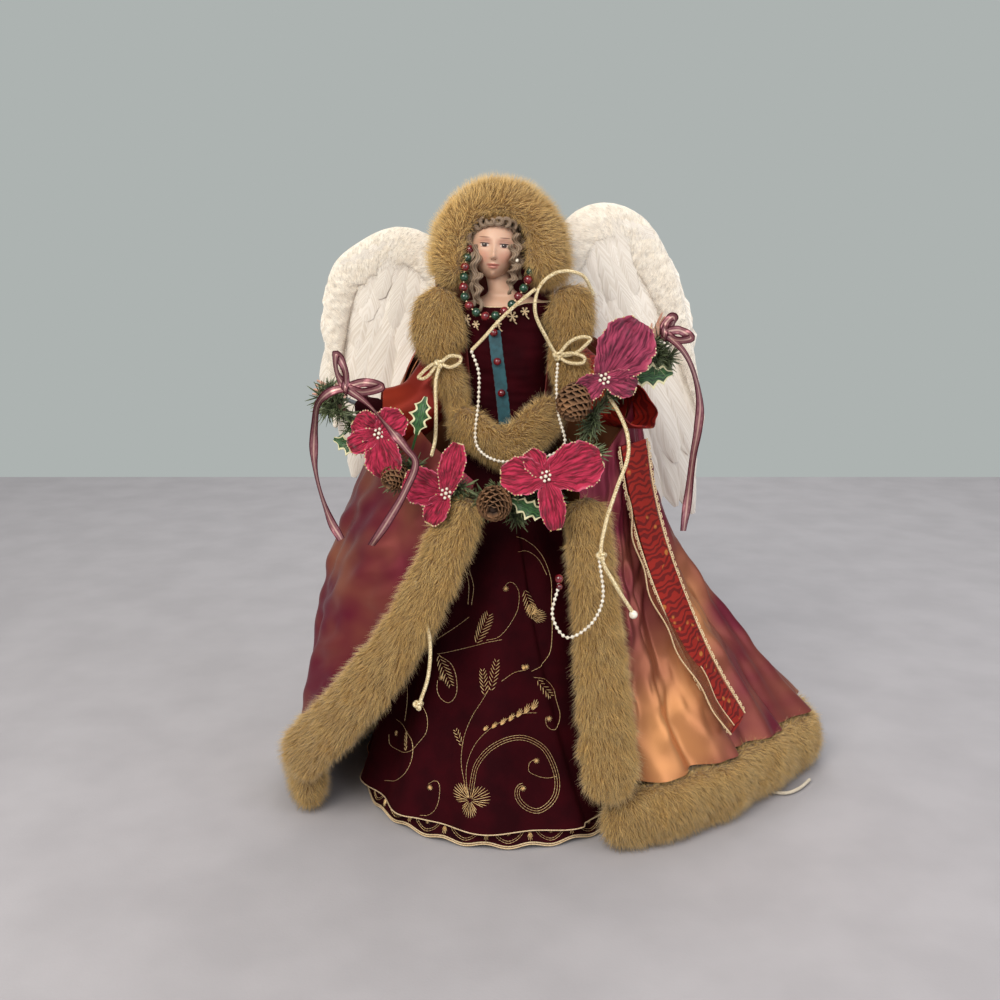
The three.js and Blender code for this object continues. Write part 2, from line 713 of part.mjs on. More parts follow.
const coat_fold = (around, down) => coat_fold_depth * down * Math.cos(turn * coat_fold_count * around);
function coat_point(around, down, lift = 0) {
  const top = coat_top_curve.getPoint(around);
  const hem = coat_hem_curve.getPoint(around);
  hem.z = coat_hem_height;
  const spot = top.clone().lerp(hem, down);
  const out = away_from_axis(hem);
  const belly = Math.sin(Math.PI * down);
  const bulge = coat_swell * coat_swell_curve.getPoint(around).x * belly;
  const pull = coat_swell * belly * THREE.MathUtils.smoothstep(around, left_edge_share, 1);
  spot.x += pull * left_edge_pull_shares[0];
  spot.y += pull * left_edge_pull_shares[1];
  return spot.addScaledVector(out, bulge + coat_fold(around, down) + lift);
}
function coat_panel(from_share, to_share, columns) {
  const rows = count_to(coat_rows).map((i) => count_to(columns).map((j) =>
    coat_point(mix(from_share, to_share, j / (columns - 1)), i / (coat_rows - 1))));
  return cloth(rows, cloth_thickness);
}
const coat_seam_shares = { right: 0.44, left: 0.76 };
const seam_share = 0.003;

// The coat's yoke round the shoulders, open in front between the fur stole ends.
const yoke_ease = bodice_ease + cloth_thickness * 2 + seat_gap * 2;
const yoke_height = 62;
const yoke_opening_share = 0.3;
function coat_yoke() {
  const half_opening = (turn * yoke_opening_share) / 2;
  const rows = count_to(4).map((i) => count_to(17).map((j) => {
    const z = shoulder_top - mix(yoke_height, cloth_thickness, i / 3);
    const { wide, deep } = torso_wrap(z, yoke_ease);
    const angle = mix(half_opening, turn - half_opening, j / 16);
    return point(Math.sin(angle) * wide, -Math.cos(angle) * deep, z);
  }));
  return cloth(rows, cloth_thickness);
}

// Fur along the coat's two front edges and round its hem.
const strip_lift = fur_strip_depth / 2 + cloth_thickness;
function front_fur(around) {
  const facing = (spot) => point(spot.x, spot.y * 2, 0).normalize();
  const route = curve_of(count_to(7).map((i) => {
    const spot = coat_point(around, mix(0.04, 1, i / 6));
    return spot.addScaledVector(facing(spot), strip_lift);
  }));
  return roll({
    route,
    steps: 11,
    sides: 8,
    half_width: (share) => (fur_strip_width / 2) * mix(0.85, 1.15, share),
    half_depth: () => fur_strip_depth / 2,
    facing,
  });
}
const hem_lift = 4;
const hem_lift_share = 0.08;
const hem_fold_share = 0.75;
const hem_lift_at = (around) =>
  hem_lift * Math.max(0, 1 - Math.min(around, 1 - around) / hem_lift_share)
    - hem_fold_share * coat_fold(around, 1);
function hem_fur(from_share, to_share, steps) {
  const height = fur_floor_gap + fur_band_height / 2;
  const route = curve_of(count_to(13).map((i) => {
    const around = mix(from_share, to_share, i / 12);
    const spot = coat_point(around, 1, hem_lift_at(around));
    spot.z = height;
    return spot;
  }));
  return roll({
    route,
    steps,
    sides: 8,
    half_width: () => fur_band_height / 2,
    half_depth: () => fur_band_depth / 2,
    round: { start: from_share === 0, end: to_share === 1 },
  });
}

// The bell sleeves of the coat, drooping at the mouth.
function bell_sleeve(side) {
  const start = side === "left" ? 0.34 : 0.66;
  const end = side === "left" ? 0.1 : 0.9;
  const droop = sleeve_mouth_radius * (side === "left" ? 0.3 : 0.9);
  const rows = count_to(5).map((i) => {
    const share = i / 4;
    const radius = mix(undersleeve_radius * 1.5, sleeve_mouth_radius, share);
    const centre = arm_route.getPoint(mix(start, end, share));
    centre.z -= droop * share * share;
    const ahead = arm_route.getTangent(mix(start, end, share));
    const across = point(0, 1, 0).addScaledVector(ahead, -ahead.y).normalize();
    const up = ahead.cross(across).normalize();
    across.multiplyScalar(radius * 0.75);
    up.multiplyScalar(radius);
    return oval(centre, across, up, 12);
  });
  return cloth(rows, cloth_thickness, true);
}
function undersleeve(side) {
  const start = side === "left" ? 0.36 : 0.64;
  const end = side === "left" ? 0.04 : 0.96;
  const stations = count_to(7).map((i) => arm_route.getPoint(mix(start, end, i / 6)));
  return roll({
    route: curve_of(stations),
    steps: 6,
    sides: 7,
    half_width: () => undersleeve_radius,
    half_depth: () => undersleeve_radius,
    facing: to_front,
  });
}

// The long brocade drape from the right sleeve, with a gold braid down each edge.
const drape_width = 19;
const drape_thickness = 1.4;
const drape_around_share = 0.135;
const drape_lift = 4.5;
const drape_slope_share = 0.075;
function drape_route(side_shift) {
  return curve_of(count_to(8).map((i) => {
    const down = mix(0.06, 0.93, i / 7);
    const around = drape_around_share + drape_slope_share * down + side_shift;
    return coat_point(around, down, drape_lift + coat_fold_depth * down);
  }));
}
const sleeve_drape = () => band({
  route: drape_route(0),
  steps: 12,
  width: drape_width,
  thickness: drape_thickness,
  facing: (spot) => point(spot.x, spot.y * 3, 0).normalize(),
});
function lace_braid(sign) {
  const centre = drape_route(0);
  const facing = (spot) => point(spot.x, spot.y * 3, 0).normalize();
  const shift = drape_width / 2 + lace_diameter / 2 + seat_gap;
  const route = curve_of(count_to(10).map((i) => {
    const { origin, across } = frame_at(centre, i / 9, facing);
    return origin.addScaledVector(across, sign * shift);
  }));
  return tube(route, lace_diameter, 14, 6);
}

// The peplum's fur band, dipping to a point below the bodice's front.
const peplum_route_shares = [
  [-0.085, -0.055, 0.632], [-0.055, -0.088, 0.624], [-0.005, -0.1, 0.597], [0.04, -0.092, 0.628],
  [0.072, -0.06, 0.655],
];
const peplum_height = 27;
const peplum_depth = 17;
const peplum_fur = () => roll({
  route: route_of(peplum_route_shares),
  steps: 12,
  sides: 8,
  half_width: () => peplum_height / 2,
  half_depth: () => peplum_depth / 2,
});

// The hood: a thick fur roll round the face over a cloth back.
const hood_route_shares = [
  [-0.086, -0.035, 0.842], [-0.09, -0.03, 0.88], [-0.08, -0.02, 0.925], [-0.047, -0.012, 0.957],
  [-0.012, -0.01, 0.966], [0.022, -0.012, 0.955], [0.05, -0.02, 0.918], [0.058, -0.03, 0.875],
  [0.056, -0.035, 0.842],
];
const hood_fur_left = 23;
const hood_fur_right = 31;
const hood_roll_depth = 34;
const hood_axis = point(-head_lean, 0, head_middle);
const head_room = 9;
const head_room_depth = 22;
const head_room_rows_shares = [[-2.05, 0.75], [-1.5, 1], [0, 1], [0.75, 0.86], [1.1, 0.5]];
function hood_fur() {
  const half_width = head_half_width + head_room;
  const room = loft(head_room_rows_shares.map(([rise, swell]) => {
    const z = head_middle + (rise * head_height) / 2;
    const half_depth = head_room_depth * swell;
    return level_oval(hood_axis.x + curl_wave, -curl_wave, z, half_width * swell, half_depth, 12);
  }));
  const fur_roll = roll({
    route: route_of(hood_route_shares),
    steps: 16,
    sides: 8,
    half_width: () => hood_roll_depth / 2,
    half_depth: (share) => mix(hood_fur_left, hood_fur_right, share) / 2,
    facing: (spot) => point(spot.x - hood_axis.x, 0, spot.z - hood_axis.z).normalize(),
  });
  return surface_of(largest_body(solid_of(fur_roll).subtract(solid_of(room))));
}
const hood_half_width = 37;
const hood_half_depth = 22;
const hood_cloth_drop = 46;
const hood_cloth_setback = 14;
function hood_cloth() {
  const rows = count_to(6).map((i) => count_to(11).map((j) => {
    const sweep = mix(0, Math.PI, j / 10);
    const lift = i / 5;
    const droop = hood_cloth_drop * Math.max(0, lift - 1 / 2) * 2;
    const wide = hood_half_width * Math.cos(sweep);
    const arch = Math.cos((turn / 4) * Math.min(lift * 2, 1));
    return point(
      -head_lean + wide * Math.sqrt(1 - 0.55 * arch * arch),
      hood_cloth_setback + hood_half_depth * Math.sin(sweep) * (0.35 + 0.65 * (1 - arch)),
      head_middle + hood_half_width * 0.86 * arch - droop,
    );
  }));
  return cloth(rows, cloth_thickness);
}

// The fur stole ends on the chest, pinched where the gold cords tie them.
const lapel_stations_shares = {
  left: [
    [-0.098, -0.035, 0.836, 10], [-0.108, -0.042, 0.8, 17], [-0.106, -0.046, 0.758, 18],
    [-0.1, -0.05, 0.722, 9], [-0.086, -0.056, 0.686, 11.5], [-0.08, -0.06, 0.644, 6],
  ],
  right: [
    [0.084, -0.035, 0.838, 10], [0.096, -0.042, 0.812, 16], [0.094, -0.046, 0.778, 16],
    [0.082, -0.05, 0.742, 8.5], [0.096, -0.056, 0.708, 13.5], [0.088, -0.058, 0.668, 8],
  ],
};
const lapel_depth = 17;
function lapel_fur(side) {
  const stations = lapel_stations_shares[side];
  const route = route_of(stations.map(([x, y, z]) => [x, y, z]));
  const widths = curve_of(stations.map(([, , , half], i) => point(half, i, 0)));
  return roll({
    route,
    steps: 12,
    sides: 8,
    half_width: (share) => widths.getPoint(share).x,
    half_depth: () => lapel_depth / 2,
    facing: to_front,
  });
}

// The garland: a wire stem wrapped in pine needles, tied between the hands.
const garland_route_shares = [
  [-0.285, -0.085, 0.675], [-0.244, -0.13, 0.66], [-0.195, -0.12, 0.598], [-0.12, -0.158, 0.555],
  [-0.04, -0.178, 0.536], [0.03, -0.185, 0.548], [0.09, -0.18, 0.6], [0.14, -0.165, 0.68],
  [0.19, -0.16, 0.75], [0.24, -0.13, 0.735],
];
const garland_route = route_of(garland_route_shares);
const garland_core = () => tube(garland_route, stem_diameter, 26, 6);

// The wire stalk that ties a small piece to the garland's stem, which lies clear inside it.
const stalk_diameter = 1.6;
const stem_stations = count_to(81).map((i) => garland_route.getPoint(i / 80));
function stalk(root) {
  const nearer = (best, spot) => (spot.distanceTo(root) < best.distanceTo(root) ? spot : best);
  return tube(new THREE.LineCurve3(root, stem_stations.reduce(nearer)), stalk_diameter, 1, 5);
}
const stem_clearance = seat_gap * 1.2;
const bare_stem = solid_of(grown(garland_core(), stem_clearance));
const off_stem = (geometry) => surface_of(solid_of(geometry).subtract(bare_stem));
const needle_rows = 20;
const needles_per_row = 4;
function garland_needles() {
  return count_to(needle_rows * needles_per_row).map((k) => {
    const share = (Math.floor(k / needles_per_row) + 1 / 2) / needle_rows;
    const { origin, ahead, out, across } = frame_at(garland_route, share, to_front);
    const angle = (turn * (k % needles_per_row)) / needles_per_row + share * 40;
    const way = out.multiplyScalar(Math.cos(angle)).addScaledVector(across, Math.sin(angle));
    way.addScaledVector(ahead, 0.45 * Math.sin(k * 7)).normalize();
    const length = needle_length * (1 + 0.2 * Math.cos(k * 5));
    const cone = new THREE.ConeGeometry(needle_diameter / 2, length, 3);
    cone.translate(0, length / 2, 0);
    cone.applyQuaternion(new THREE.Quaternion().setFromUnitVectors(point(0, 1, 0), way));
    return cone.translate(origin.x, origin.y, origin.z);
  });
}

// A poinsettia: cupped petals round a cluster of stamens.
function petal(centre, facing, angle, length, width) {
  const out = facing.clone().normalize();
  const side = point(1, 0, 0).addScaledVector(out, -out.x).normalize();
  const up = side.clone().cross(out).negate();
  const way = up.multiplyScalar(Math.cos(angle)).addScaledVector(side, Math.sin(angle));
  const across = way.clone().cross(out);
  const rows = count_to(5).map((i) => {
    const share = i / 4;
    const half = (width / 2) * Math.max(Math.sin(Math.PI * (0.07 + 0.86 * share)) ** 0.8, 0.12);
    const origin = centre.clone().addScaledVector(way, mix(stamen_diameter / 4, length, share));
    origin.addScaledVector(out, length * 0.16 * Math.sin(Math.PI * share * 0.9));
    return [-1, 0, 1].map((edge) => origin.clone().addScaledVector(across, edge * half)
      .addScaledVector(out, Math.abs(edge) * half * 0.28));
  });
  return cloth(rows, petal_thickness);
}
function poinsettia({ centre, facing, petals }) {
  const spot = place(centre);
  const way = point(...facing).normalize();
  const leaves = petals.map(([turns, long, wide]) =>
    petal(spot, way, turns * turn, petal_length * long, petal_width * wide));
  const heart = spot.clone().addScaledVector(way, stamen_diameter / 4);
  return join([ball(heart, stamen_diameter, 7), stalk(spot), ...leaves]);
}
// Each flower: its middle, the way it faces, and its petals' turn, length and width.
const flowers_shares = [
  {
    centre: [-0.188, -0.165, 0.632],
    facing: [-0.15, -1, 0.1],
    petals: [[-0.17, 0.62, 0.8], [0.15, 0.68, 0.85], [0.46, 0.98, 0.95], [-0.32, 0.75, 0.6]],
  },
  {
    centre: [-0.09, -0.2, 0.55],
    facing: [-0.1, -1, 0.15],
    petals: [[0.04, 1.1, 0.65], [-0.2, 0.95, 0.95], [-0.42, 0.75, 0.6]],
  },
  {
    centre: [0.052, -0.217, 0.578],
    facing: [0.05, -1, 0.25],
    petals: [[0.2, 1.25, 1.2], [-0.25, 0.95, 0.95], [0.47, 1.15, 0.65], [-0.1, 0.65, 0.6]],
  },
  {
    centre: [0.135, -0.195, 0.715],
    facing: [0.05, -1, 0.1],
    petals: [[0.09, 1.4, 1.4], [-0.33, 0.7, 0.65], [0.29, 0.7, 0.7]],
  },
];

// A pinecone: scales in staggered rings round a core, smaller towards the tip.
const cone_scale_rows = 6;
const cone_scale_sides = 10;
const scale_recess_share = 0.68;
function pinecone({ centre, facing, size }) {
  const rings = count_to(cone_scale_rows).flatMap((i) => [0, 1].map((outer) => {
    const share = (i + outer * 0.55 + 0.15) / cone_scale_rows;
    const swell = Math.sin(Math.PI * (0.12 + 0.8 * share));
    return count_to(cone_scale_sides).map((k) => {
      const angle = (turn * (k + (i % 2) / 2)) / cone_scale_sides;
      const lip = outer ? (k % 2 === i % 2 ? 1 : 0.82) : scale_recess_share;
      const radius = (pinecone_diameter / 2) * size * swell * lip;
      return point(Math.cos(angle) * radius, share * pinecone_length * size, Math.sin(angle) * radius);
    });
  }));
  const way = point(...facing).normalize();
  const body = loft(rings).translate(0, (-pinecone_length * size) / 2, 0);
  body.applyQuaternion(new THREE.Quaternion().setFromUnitVectors(point(0, 1, 0), way));
  const spot = place(centre);
  return join([body.translate(spot.x, spot.y, spot.z), stalk(spot)]);
}
const pinecones_shares = {
  left: { centre: [-0.165, -0.172, 0.572], facing: [-0.5, -0.7, -0.5], size: 0.8 },
  middle: { centre: [-0.02, -0.232, 0.545], facing: [-0.1, -1, -0.3], size: 1 },
  right: { centre: [0.093, -0.205, 0.687], facing: [-0.3, -0.6, -1], size: 1 },
};

// A holly leaf with spines, folded along its midrib.
const spine_share = 0.55;
const leaf_tip_half_width = 0.6;
function holly({ centre, facing, turns, size }) {
  const out = point(...facing).normalize();
  const side = point(1, 0, 0).addScaledVector(out, -out.x).normalize();
  const up = side.clone().cross(out).negate();
  const way = up.multiplyScalar(Math.cos(turns * turn)).addScaledVector(side, Math.sin(turns * turn));
  const across = way.clone().cross(out);
  const start = place(centre).addScaledVector(way, (-holly_length * size) / 2);
  const rows = count_to(8).map((i) => {
    const share = i / 7;
    const spine = i % 2 === 0 ? spine_share : 1;
    const swell = Math.sin(Math.PI * mix(0.1, 0.93, share)) * spine;
    const half = Math.max((holly_width / 2) * size * swell, leaf_tip_half_width);
    const origin = start.clone().addScaledVector(way, holly_length * size * share);
    return [-1, 0, 1].map((edge) => origin.clone().addScaledVector(across, edge * half)
      .addScaledVector(out, Math.abs(edge) * half * 0.35));
  });
  return join([cloth(rows, petal_thickness), stalk(rows[1][1])]);
}
const holly_shares = [
  { centre: [-0.128, -0.165, 0.658], facing: [-0.1, -1, 0.2], turns: 0.04, size: 0.95 },
  { centre: [-0.236, -0.142, 0.61], facing: [-0.2, -1, 0], turns: 0.3, size: 0.9 },
  { centre: [0.03, -0.222, 0.532], facing: [0, -1, -0.1], turns: 0.32, size: 0.95 },
  { centre: [0.205, -0.178, 0.718], facing: [0.2, -1, 0], turns: 0.24, size: 1.1 },
];

// Ribbon bows tied at the garland's two ends.
function ribbon_loop(knot, tip, spread) {
  const route = curve_of([
    knot,
    knot.clone().lerp(tip, 1 / 2).add(spread),
    tip,
    knot.clone().lerp(tip, 1 / 2).sub(spread),
    knot,
  ]);
  return band({
    route,
    steps: 6,
    width: bow_ribbon_width,
    thickness: ribbon_thickness * 1.4,
    facing: (spot, share) => spread.clone().normalize().multiplyScalar(share < 1 / 2 ? 1 : -1)
      .add(tip.clone().sub(knot).normalize().multiplyScalar(1 - Math.abs(share * 2 - 1))),
  });
}
function bow({ knot: spot, loops, tails }) {
  const knot = point(...spot);
  const parts = loops.map(({ tip, spread }) => ribbon_loop(knot, point(...tip), point(...spread)));
  const hanging = tails.map((rows) => band({
    route: route_from(rows),
    steps: 9,
    width: bow_ribbon_width,
    thickness: ribbon_thickness * 1.4,
    facing: to_front,
  }));
  return join([ball(knot, bow_ribbon_width * 1.1, 6), stalk(knot), ...parts, ...hanging]);
}
const left_bow = {
  knot: [-95.5, -60, 279],
  loops: [{ tip: [-100, -62, 299], spread: [3, 0, 1.5] }, { tip: [-71, -62, 281], spread: [0, 1, 4] }],
  tails: [
    [[-95.5, -60, 279], [-104, -62, 277], [-112, -60, 270], [-114.5, -58, 259], [-116, -56, 233],
      [-108, -58, 200], [-101, -60, 187]],
    [[-95.5, -60, 279], [-84, -68, 272], [-70, -86, 262], [-57, -100, 250], [-52, -101, 243],
      [-58, -96, 226], [-70, -88, 205], [-80, -84, 190]],
  ],
};
const right_bow = {
  knot: [88.5, -70, 312],
  loops: [{ tip: [108, -70, 305], spread: [1, 1, 4] }, { tip: [92, -68, 322], spread: [3, 1, 0] }],
  tails: [
    [[88.5, -70, 312], [99, -72, 302], [106, -70, 290], [111, -68, 272], [111, -66, 256],
      [109, -66, 240], [106, -68, 211], [104, -70, 195]],
  ],
};

// The gold cords, each a round twisted cord on its own route.
const cord_knot_diameter = 5;
function cord_bow({ knot, loops, tail, tail_steps }) {
  const middle = point(...knot);
  const parts = loops.map(({ tip, spread }) => {
    const half = middle.clone().lerp(point(...tip), 1 / 2);
    const way = point(...spread);
    const route = curve_of([middle, half.clone().add(way), point(...tip), half.clone().sub(way), middle]);
    return tube(route, gold_cord_diameter, 6, 6);
  });
  return join([
    ball(middle, cord_knot_diameter, 6),
    ...parts,
    tube(route_from(tail), gold_cord_diameter, tail_steps),
  ]);
}
const chest_cord_route = route_from([
  [16, -36, 335], [6, -37, 327], [-6, -37, 316], [-15, -37, 306], [-22, -38, 299],
]);
const left_cord_bow = {
  knot: [-42, -31, 290],
  loops: [{ tip: [-28, -32, 293], spread: [0, 0, 3.5] }, { tip: [-55, -31, 281], spread: [2, 0, 4] }],
  tail: [[-42, -31, 290], [-44, -36, 280], [-43.5, -46, 262], [-42, -58, 247], [-38, -70, 240]],
  tail_steps: 6,
};
const right_cord_bow = {
  knot: [30, -31, 295],
  loops: [{ tip: [50, -31, 306], spread: [-1, 0, 4] }, { tip: [48, -33, 292], spread: [1, 0, 3] }],
  tail: [
    [30, -31, 295], [23, -33, 306], [16, -34, 322], [19, -34, 337], [30, -34, 345], [44, -33, 343],
    [53, -31, 333],
  ],
  tail_steps: 9,
};
const right_tail_route = route_from([
  [58, -67, 275], [63, -80, 267], [67, -90, 256], [67, -95, 245], [60, -104, 228], [54, -106, 208],
  [52, -108, 190], [60, -110, 174], [70, -110, 158],
]);
const right_tail_bead = point(70.6, -110, 156.4);
const left_tail_route = route_from([
  [-54, -89, 170], [-51, -93, 155], [-46, -97, 138], [-47, -99, 115], [-53, -100, 96],
]);
const pearl_route = route_from([
  [-22, -39, 298], [-18, -37, 286], [-18, -38, 270], [-19, -50, 243], [-7, -62, 236], [10, -66, 237],
  [27, -66, 241], [33, -64, 246], [30, -52, 262], [29, -42, 278], [30, -34, 290],
]);
const pearl_loop_route = route_from([
  [51, -107.8, 187], [53, -110, 165], [46, -110, 150], [33, -108, 142], [25, -106, 154], [28.5, -104, 172],
]);
const pearl_loop_bead = point(28.5, -104, 175.8);
const pearl_loop_knot = point(28.5, -104, 172.6);
const floor_cord_route = route_from([
  [171, -20, 2.4], [178, -26, 2.4], [187, -28, 2.4], [197, -22, 2.4], [208, -9, 2.4],
]);
const pearl_loop = () => join([
  tube(pearl_loop_route, pearl_diameter, 9, 6),
  ball(pearl_loop_bead, end_bead_diameter, 8),
  ball(pearl_loop_knot, pearl_diameter * 1.2, 6),
]);
const right_cord_tail = () => join([
  off_stem(tube(right_tail_route, gold_cord_diameter, 13)),
  ball(right_tail_bead, end_bead_diameter, 8),
]);

// Finishes.
const card = finish(0xb9a88a, 0.85);
const foam = finish(0xd9d2c4, 0.9);
const resin = finish(0xc9a08c, 0.55);
const wire = finish(0x8a8d90, 0.4, 0.8);
const velvet = finish(0x3a0814, 0.95);
const satin = finish(0x7a2f40, 0.4);
const brocade = finish(0x9a2a15, 0.5);
const gold_thread = finish(0xc2a25a, 0.5, 0.3);
const teal_ribbon = finish(0x2f5a60, 0.5);
const glass_bead = finish(0x7a1420, 0.2);
const fur = finish(0x8f7340, 0.95);
const feather = finish(0xe8e2d2, 0.85);
const crimson_cloth = finish(0xb0234a, 0.7);
const pine = finish(0x2f4a2c, 0.7);
const wood_scale = finish(0x5a3a28, 0.8);
const leaf = finish(0x2f6a34, 0.5);
const ribbon = finish(0xb08a88, 0.5);
const pearl = finish(0xe6dcc4, 0.25);
const cotton = finish(0xe0d6bf, 0.8);

// The hard inner pieces first, then wings, trims, cloth and at last the fur that gives way to all.
fit("base_cone", base_cone(), card);
fit("arm_wire", arm_wire(), wire);
fit("torso_form", torso_form(), foam);
fit("bust_head", bust_head(), resin);
fit("hand_left", hand(arm_route.getPoint(0), arm_route.getTangent(0).negate()), resin);
fit("hand_right", hand(arm_route.getPoint(1), arm_route.getTangent(1)), resin);
for (const side of ["left", "right"]) {
  fit(`wing_frame_${side}`, wing_frame(side), card);
  fit(`wing_feathers_${side}`, long_feathers(side), feather);
  fit(`wing_coverts_${side}`, covert_feathers(side), feather);
}
fit("wing_block", wing_block(), card);
Object.entries(pinecones_shares).forEach(([side, shares]) => {
  fit(`pinecone_${side}`, off_stem(pinecone(shares)), wood_scale);
});
flowers_shares.forEach((shares, i) => {
  fit(`poinsettia_${i + 1}`, off_stem(poinsettia(shares)), crimson_cloth);
});
holly_shares.forEach((shares, i) => fit(`holly_leaf_${i + 1}`, off_stem(holly(shares)), leaf));
fit("bead_necklace", bead_necklace(), glass_bead);
fit("velvet_bodice", velvet_bodice(), velvet);
fit("placket_ribbon", placket_ribbon(), teal_ribbon);
fit("gold_cord_chest", tube(chest_cord_route, gold_cord_diameter, 7), gold_thread);
fit("gold_cord_left", cord_bow(left_cord_bow), gold_thread);
fit("gold_cord_right", cord_bow(right_cord_bow), gold_thread);
fit("gold_cord_tail_right", right_cord_tail(), gold_thread);
fit("gold_cord_tail_left", tube(left_tail_route, gold_cord_diameter, 9), gold_thread);
fit("pearl_strand", tube(pearl_route, pearl_diameter, 20, 6), pearl);
fit("pearl_loop", pearl_loop(), pearl);
fit("floor_cord", tube(floor_cord_route, gold_cord_diameter, 5), cotton);
fit("ribbon_bow_left", off_stem(bow(left_bow)), ribbon);
fit("ribbon_bow_right", off_stem(bow(right_bow)), ribbon);
fit("garland_stem", join([garland_core(), ...garland_needles()]), pine);
fit("velvet_skirt", velvet_skirt(), velvet);
fit("underskirt_hem", underskirt_hem(), velvet);
fit("undersleeve_left", undersleeve("left"), velvet);
fit("undersleeve_right", undersleeve("right"), velvet);
fit("sleeve_drape_right", sleeve_drape(), brocade);
fit("lace_braid_outer", lace_braid(1), gold_thread);
fit("lace_braid_inner", lace_braid(-1), gold_thread);
fit("coat_yoke", coat_yoke(), satin);
fit("bell_sleeve_left", bell_sleeve("left"), satin);
fit("bell_sleeve_right", bell_sleeve("right"), satin);
fit("coat_panel_right", coat_panel(0, coat_seam_shares.right, 16), satin);
fit("coat_panel_back", coat_panel(coat_seam_shares.right + seam_share, coat_seam_shares.left, 12), satin);
fit("coat_panel_left", coat_panel(coat_seam_shares.left + seam_share, 1, 10), satin);
fit("hood_cloth", hood_cloth(), satin);
fit("front_fur_left", front_fur(1), fur, true);
fit("front_fur_right", front_fur(0), fur, true);
fit("hem_fur_right", hem_fur(0, 0.5, 22), fur, true);
fit("hem_fur_left", hem_fur(0.505, 1, 20), fur, true);
fit("peplum_fur", peplum_fur(), fur, true);
fit("hood_fur", hood_fur(), fur, true);
fit("lapel_fur_left", lapel_fur("left"), fur, true);
fit("lapel_fur_right", lapel_fur("right"), fur, true);

export default topper;
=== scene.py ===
"""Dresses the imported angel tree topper: cloth, fur, feathers, garland, trims, lights and camera."""

from __future__ import annotations

import json
import logging
import math
from dataclasses import dataclass, field
from enum import Enum
from typing import Callable, Iterable, Iterator, Sequence

import bpy
import numpy as np
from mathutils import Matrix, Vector

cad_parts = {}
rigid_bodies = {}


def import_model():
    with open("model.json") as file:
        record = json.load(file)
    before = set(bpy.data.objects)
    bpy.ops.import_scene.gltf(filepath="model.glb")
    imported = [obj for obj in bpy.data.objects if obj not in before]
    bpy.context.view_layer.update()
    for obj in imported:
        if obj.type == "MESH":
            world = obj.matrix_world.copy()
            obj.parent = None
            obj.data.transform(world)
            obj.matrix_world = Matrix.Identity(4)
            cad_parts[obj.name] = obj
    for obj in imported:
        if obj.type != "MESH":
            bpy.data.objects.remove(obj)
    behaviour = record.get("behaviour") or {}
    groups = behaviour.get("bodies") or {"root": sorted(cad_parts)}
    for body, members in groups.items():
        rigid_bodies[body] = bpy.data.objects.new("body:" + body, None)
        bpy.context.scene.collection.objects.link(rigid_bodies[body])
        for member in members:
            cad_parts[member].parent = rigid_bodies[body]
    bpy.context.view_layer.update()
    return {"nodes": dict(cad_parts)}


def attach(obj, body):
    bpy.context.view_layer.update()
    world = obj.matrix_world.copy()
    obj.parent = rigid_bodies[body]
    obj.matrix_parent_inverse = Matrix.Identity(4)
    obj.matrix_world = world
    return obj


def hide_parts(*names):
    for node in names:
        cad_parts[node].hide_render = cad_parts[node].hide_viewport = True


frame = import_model()

Array = np.ndarray
Point = Sequence[float]
Rows = Sequence[Sequence[float]]
Facing = Callable[[Array], Array]
Object = bpy.types.Object
Material = bpy.types.Material
Tree = bpy.types.NodeTree
Node = bpy.types.Node
Socket = bpy.types.NodeSocket
Painted = tuple[object, object, float]
Stitch = tuple[Array, Array, float]

MM = 0.001
TAU = math.tau
# Heights in millimetres: the whole figure, the middle of the head and the waist.
HEIGHT = 400.6
HEAD_MIDDLE = 359.1
WAIST = 232.3
BODY = "figure"
LOG = logging.getLogger("topper")


class Side(Enum):
    """The two sides of the figure, as the viewer sees them."""

    LEFT = "left"
    RIGHT = "right"

    @property
    def sign(self) -> int:
        """-1 on the viewer's left and 1 on the viewer's right."""
        return -1 if self is Side.LEFT else 1


# Curves and surfaces in millimetres.


def along(knots: Rows, shares: Array | float) -> Array:
    """Points on the smooth curve through some knots.

    Args:
        knots: The points that the curve passes, in order.
        shares: Where on the curve, from 0 at its start to 1 at its end.

    Returns:
        One row of coordinates for each share.
    """
    spots = np.asarray(knots, float)
    padded = np.vstack([2 * spots[0] - spots[1], spots, 2 * spots[-1] - spots[-2]])
    spans = len(spots) - 1
    place = np.clip(np.atleast_1d(np.asarray(shares, float)) * spans, 0, spans - 1e-9)
    first = place.astype(int)
    weight = (place - first)[:, None]
    p0, p1, p2, p3 = (padded[first + k] for k in range(4))
    d0, d1, d2 = (np.maximum(((b - a) ** 2).sum(1) ** 0.25, 1e-4)[:, None] for a, b in ((p0, p1), (p1, p2), (p2, p3)))
    t1 = ((p1 - p0) / d0 - (p2 - p0) / (d0 + d1) + (p2 - p1) / d1) * d1
    t2 = ((p2 - p1) / d1 - (p3 - p1) / (d1 + d2) + (p3 - p2) / d2) * d1
    bend = 3 * (p2 - p1) - 2 * t1 - t2
    rest = 2 * (p1 - p2) + t1 + t2
    return p1 + t1 * weight + bend * weight**2 + rest * weight**3


def even(knots: Rows, count: int) -> Array:
    """Evenly spaced points on the smooth curve through some knots."""
    fine = along(knots, np.linspace(0, 1, 400))
    steps = np.r_[0, np.cumsum(np.linalg.norm(np.diff(fine, axis=0), axis=1))]
    wanted = np.linspace(0, steps[-1], count)
    return np.column_stack([np.interp(wanted, steps, fine[:, k]) for k in range(3)])


def length_of(path: Array) -> float:
    """The length of a polyline."""
    return float(np.linalg.norm(np.diff(path, axis=0), axis=1).sum())


def unit(ways: Array) -> Array:
    """The same directions, each one long."""
    size = np.linalg.norm(ways, axis=-1, keepdims=True)
    return ways / np.maximum(size, 1e-9)


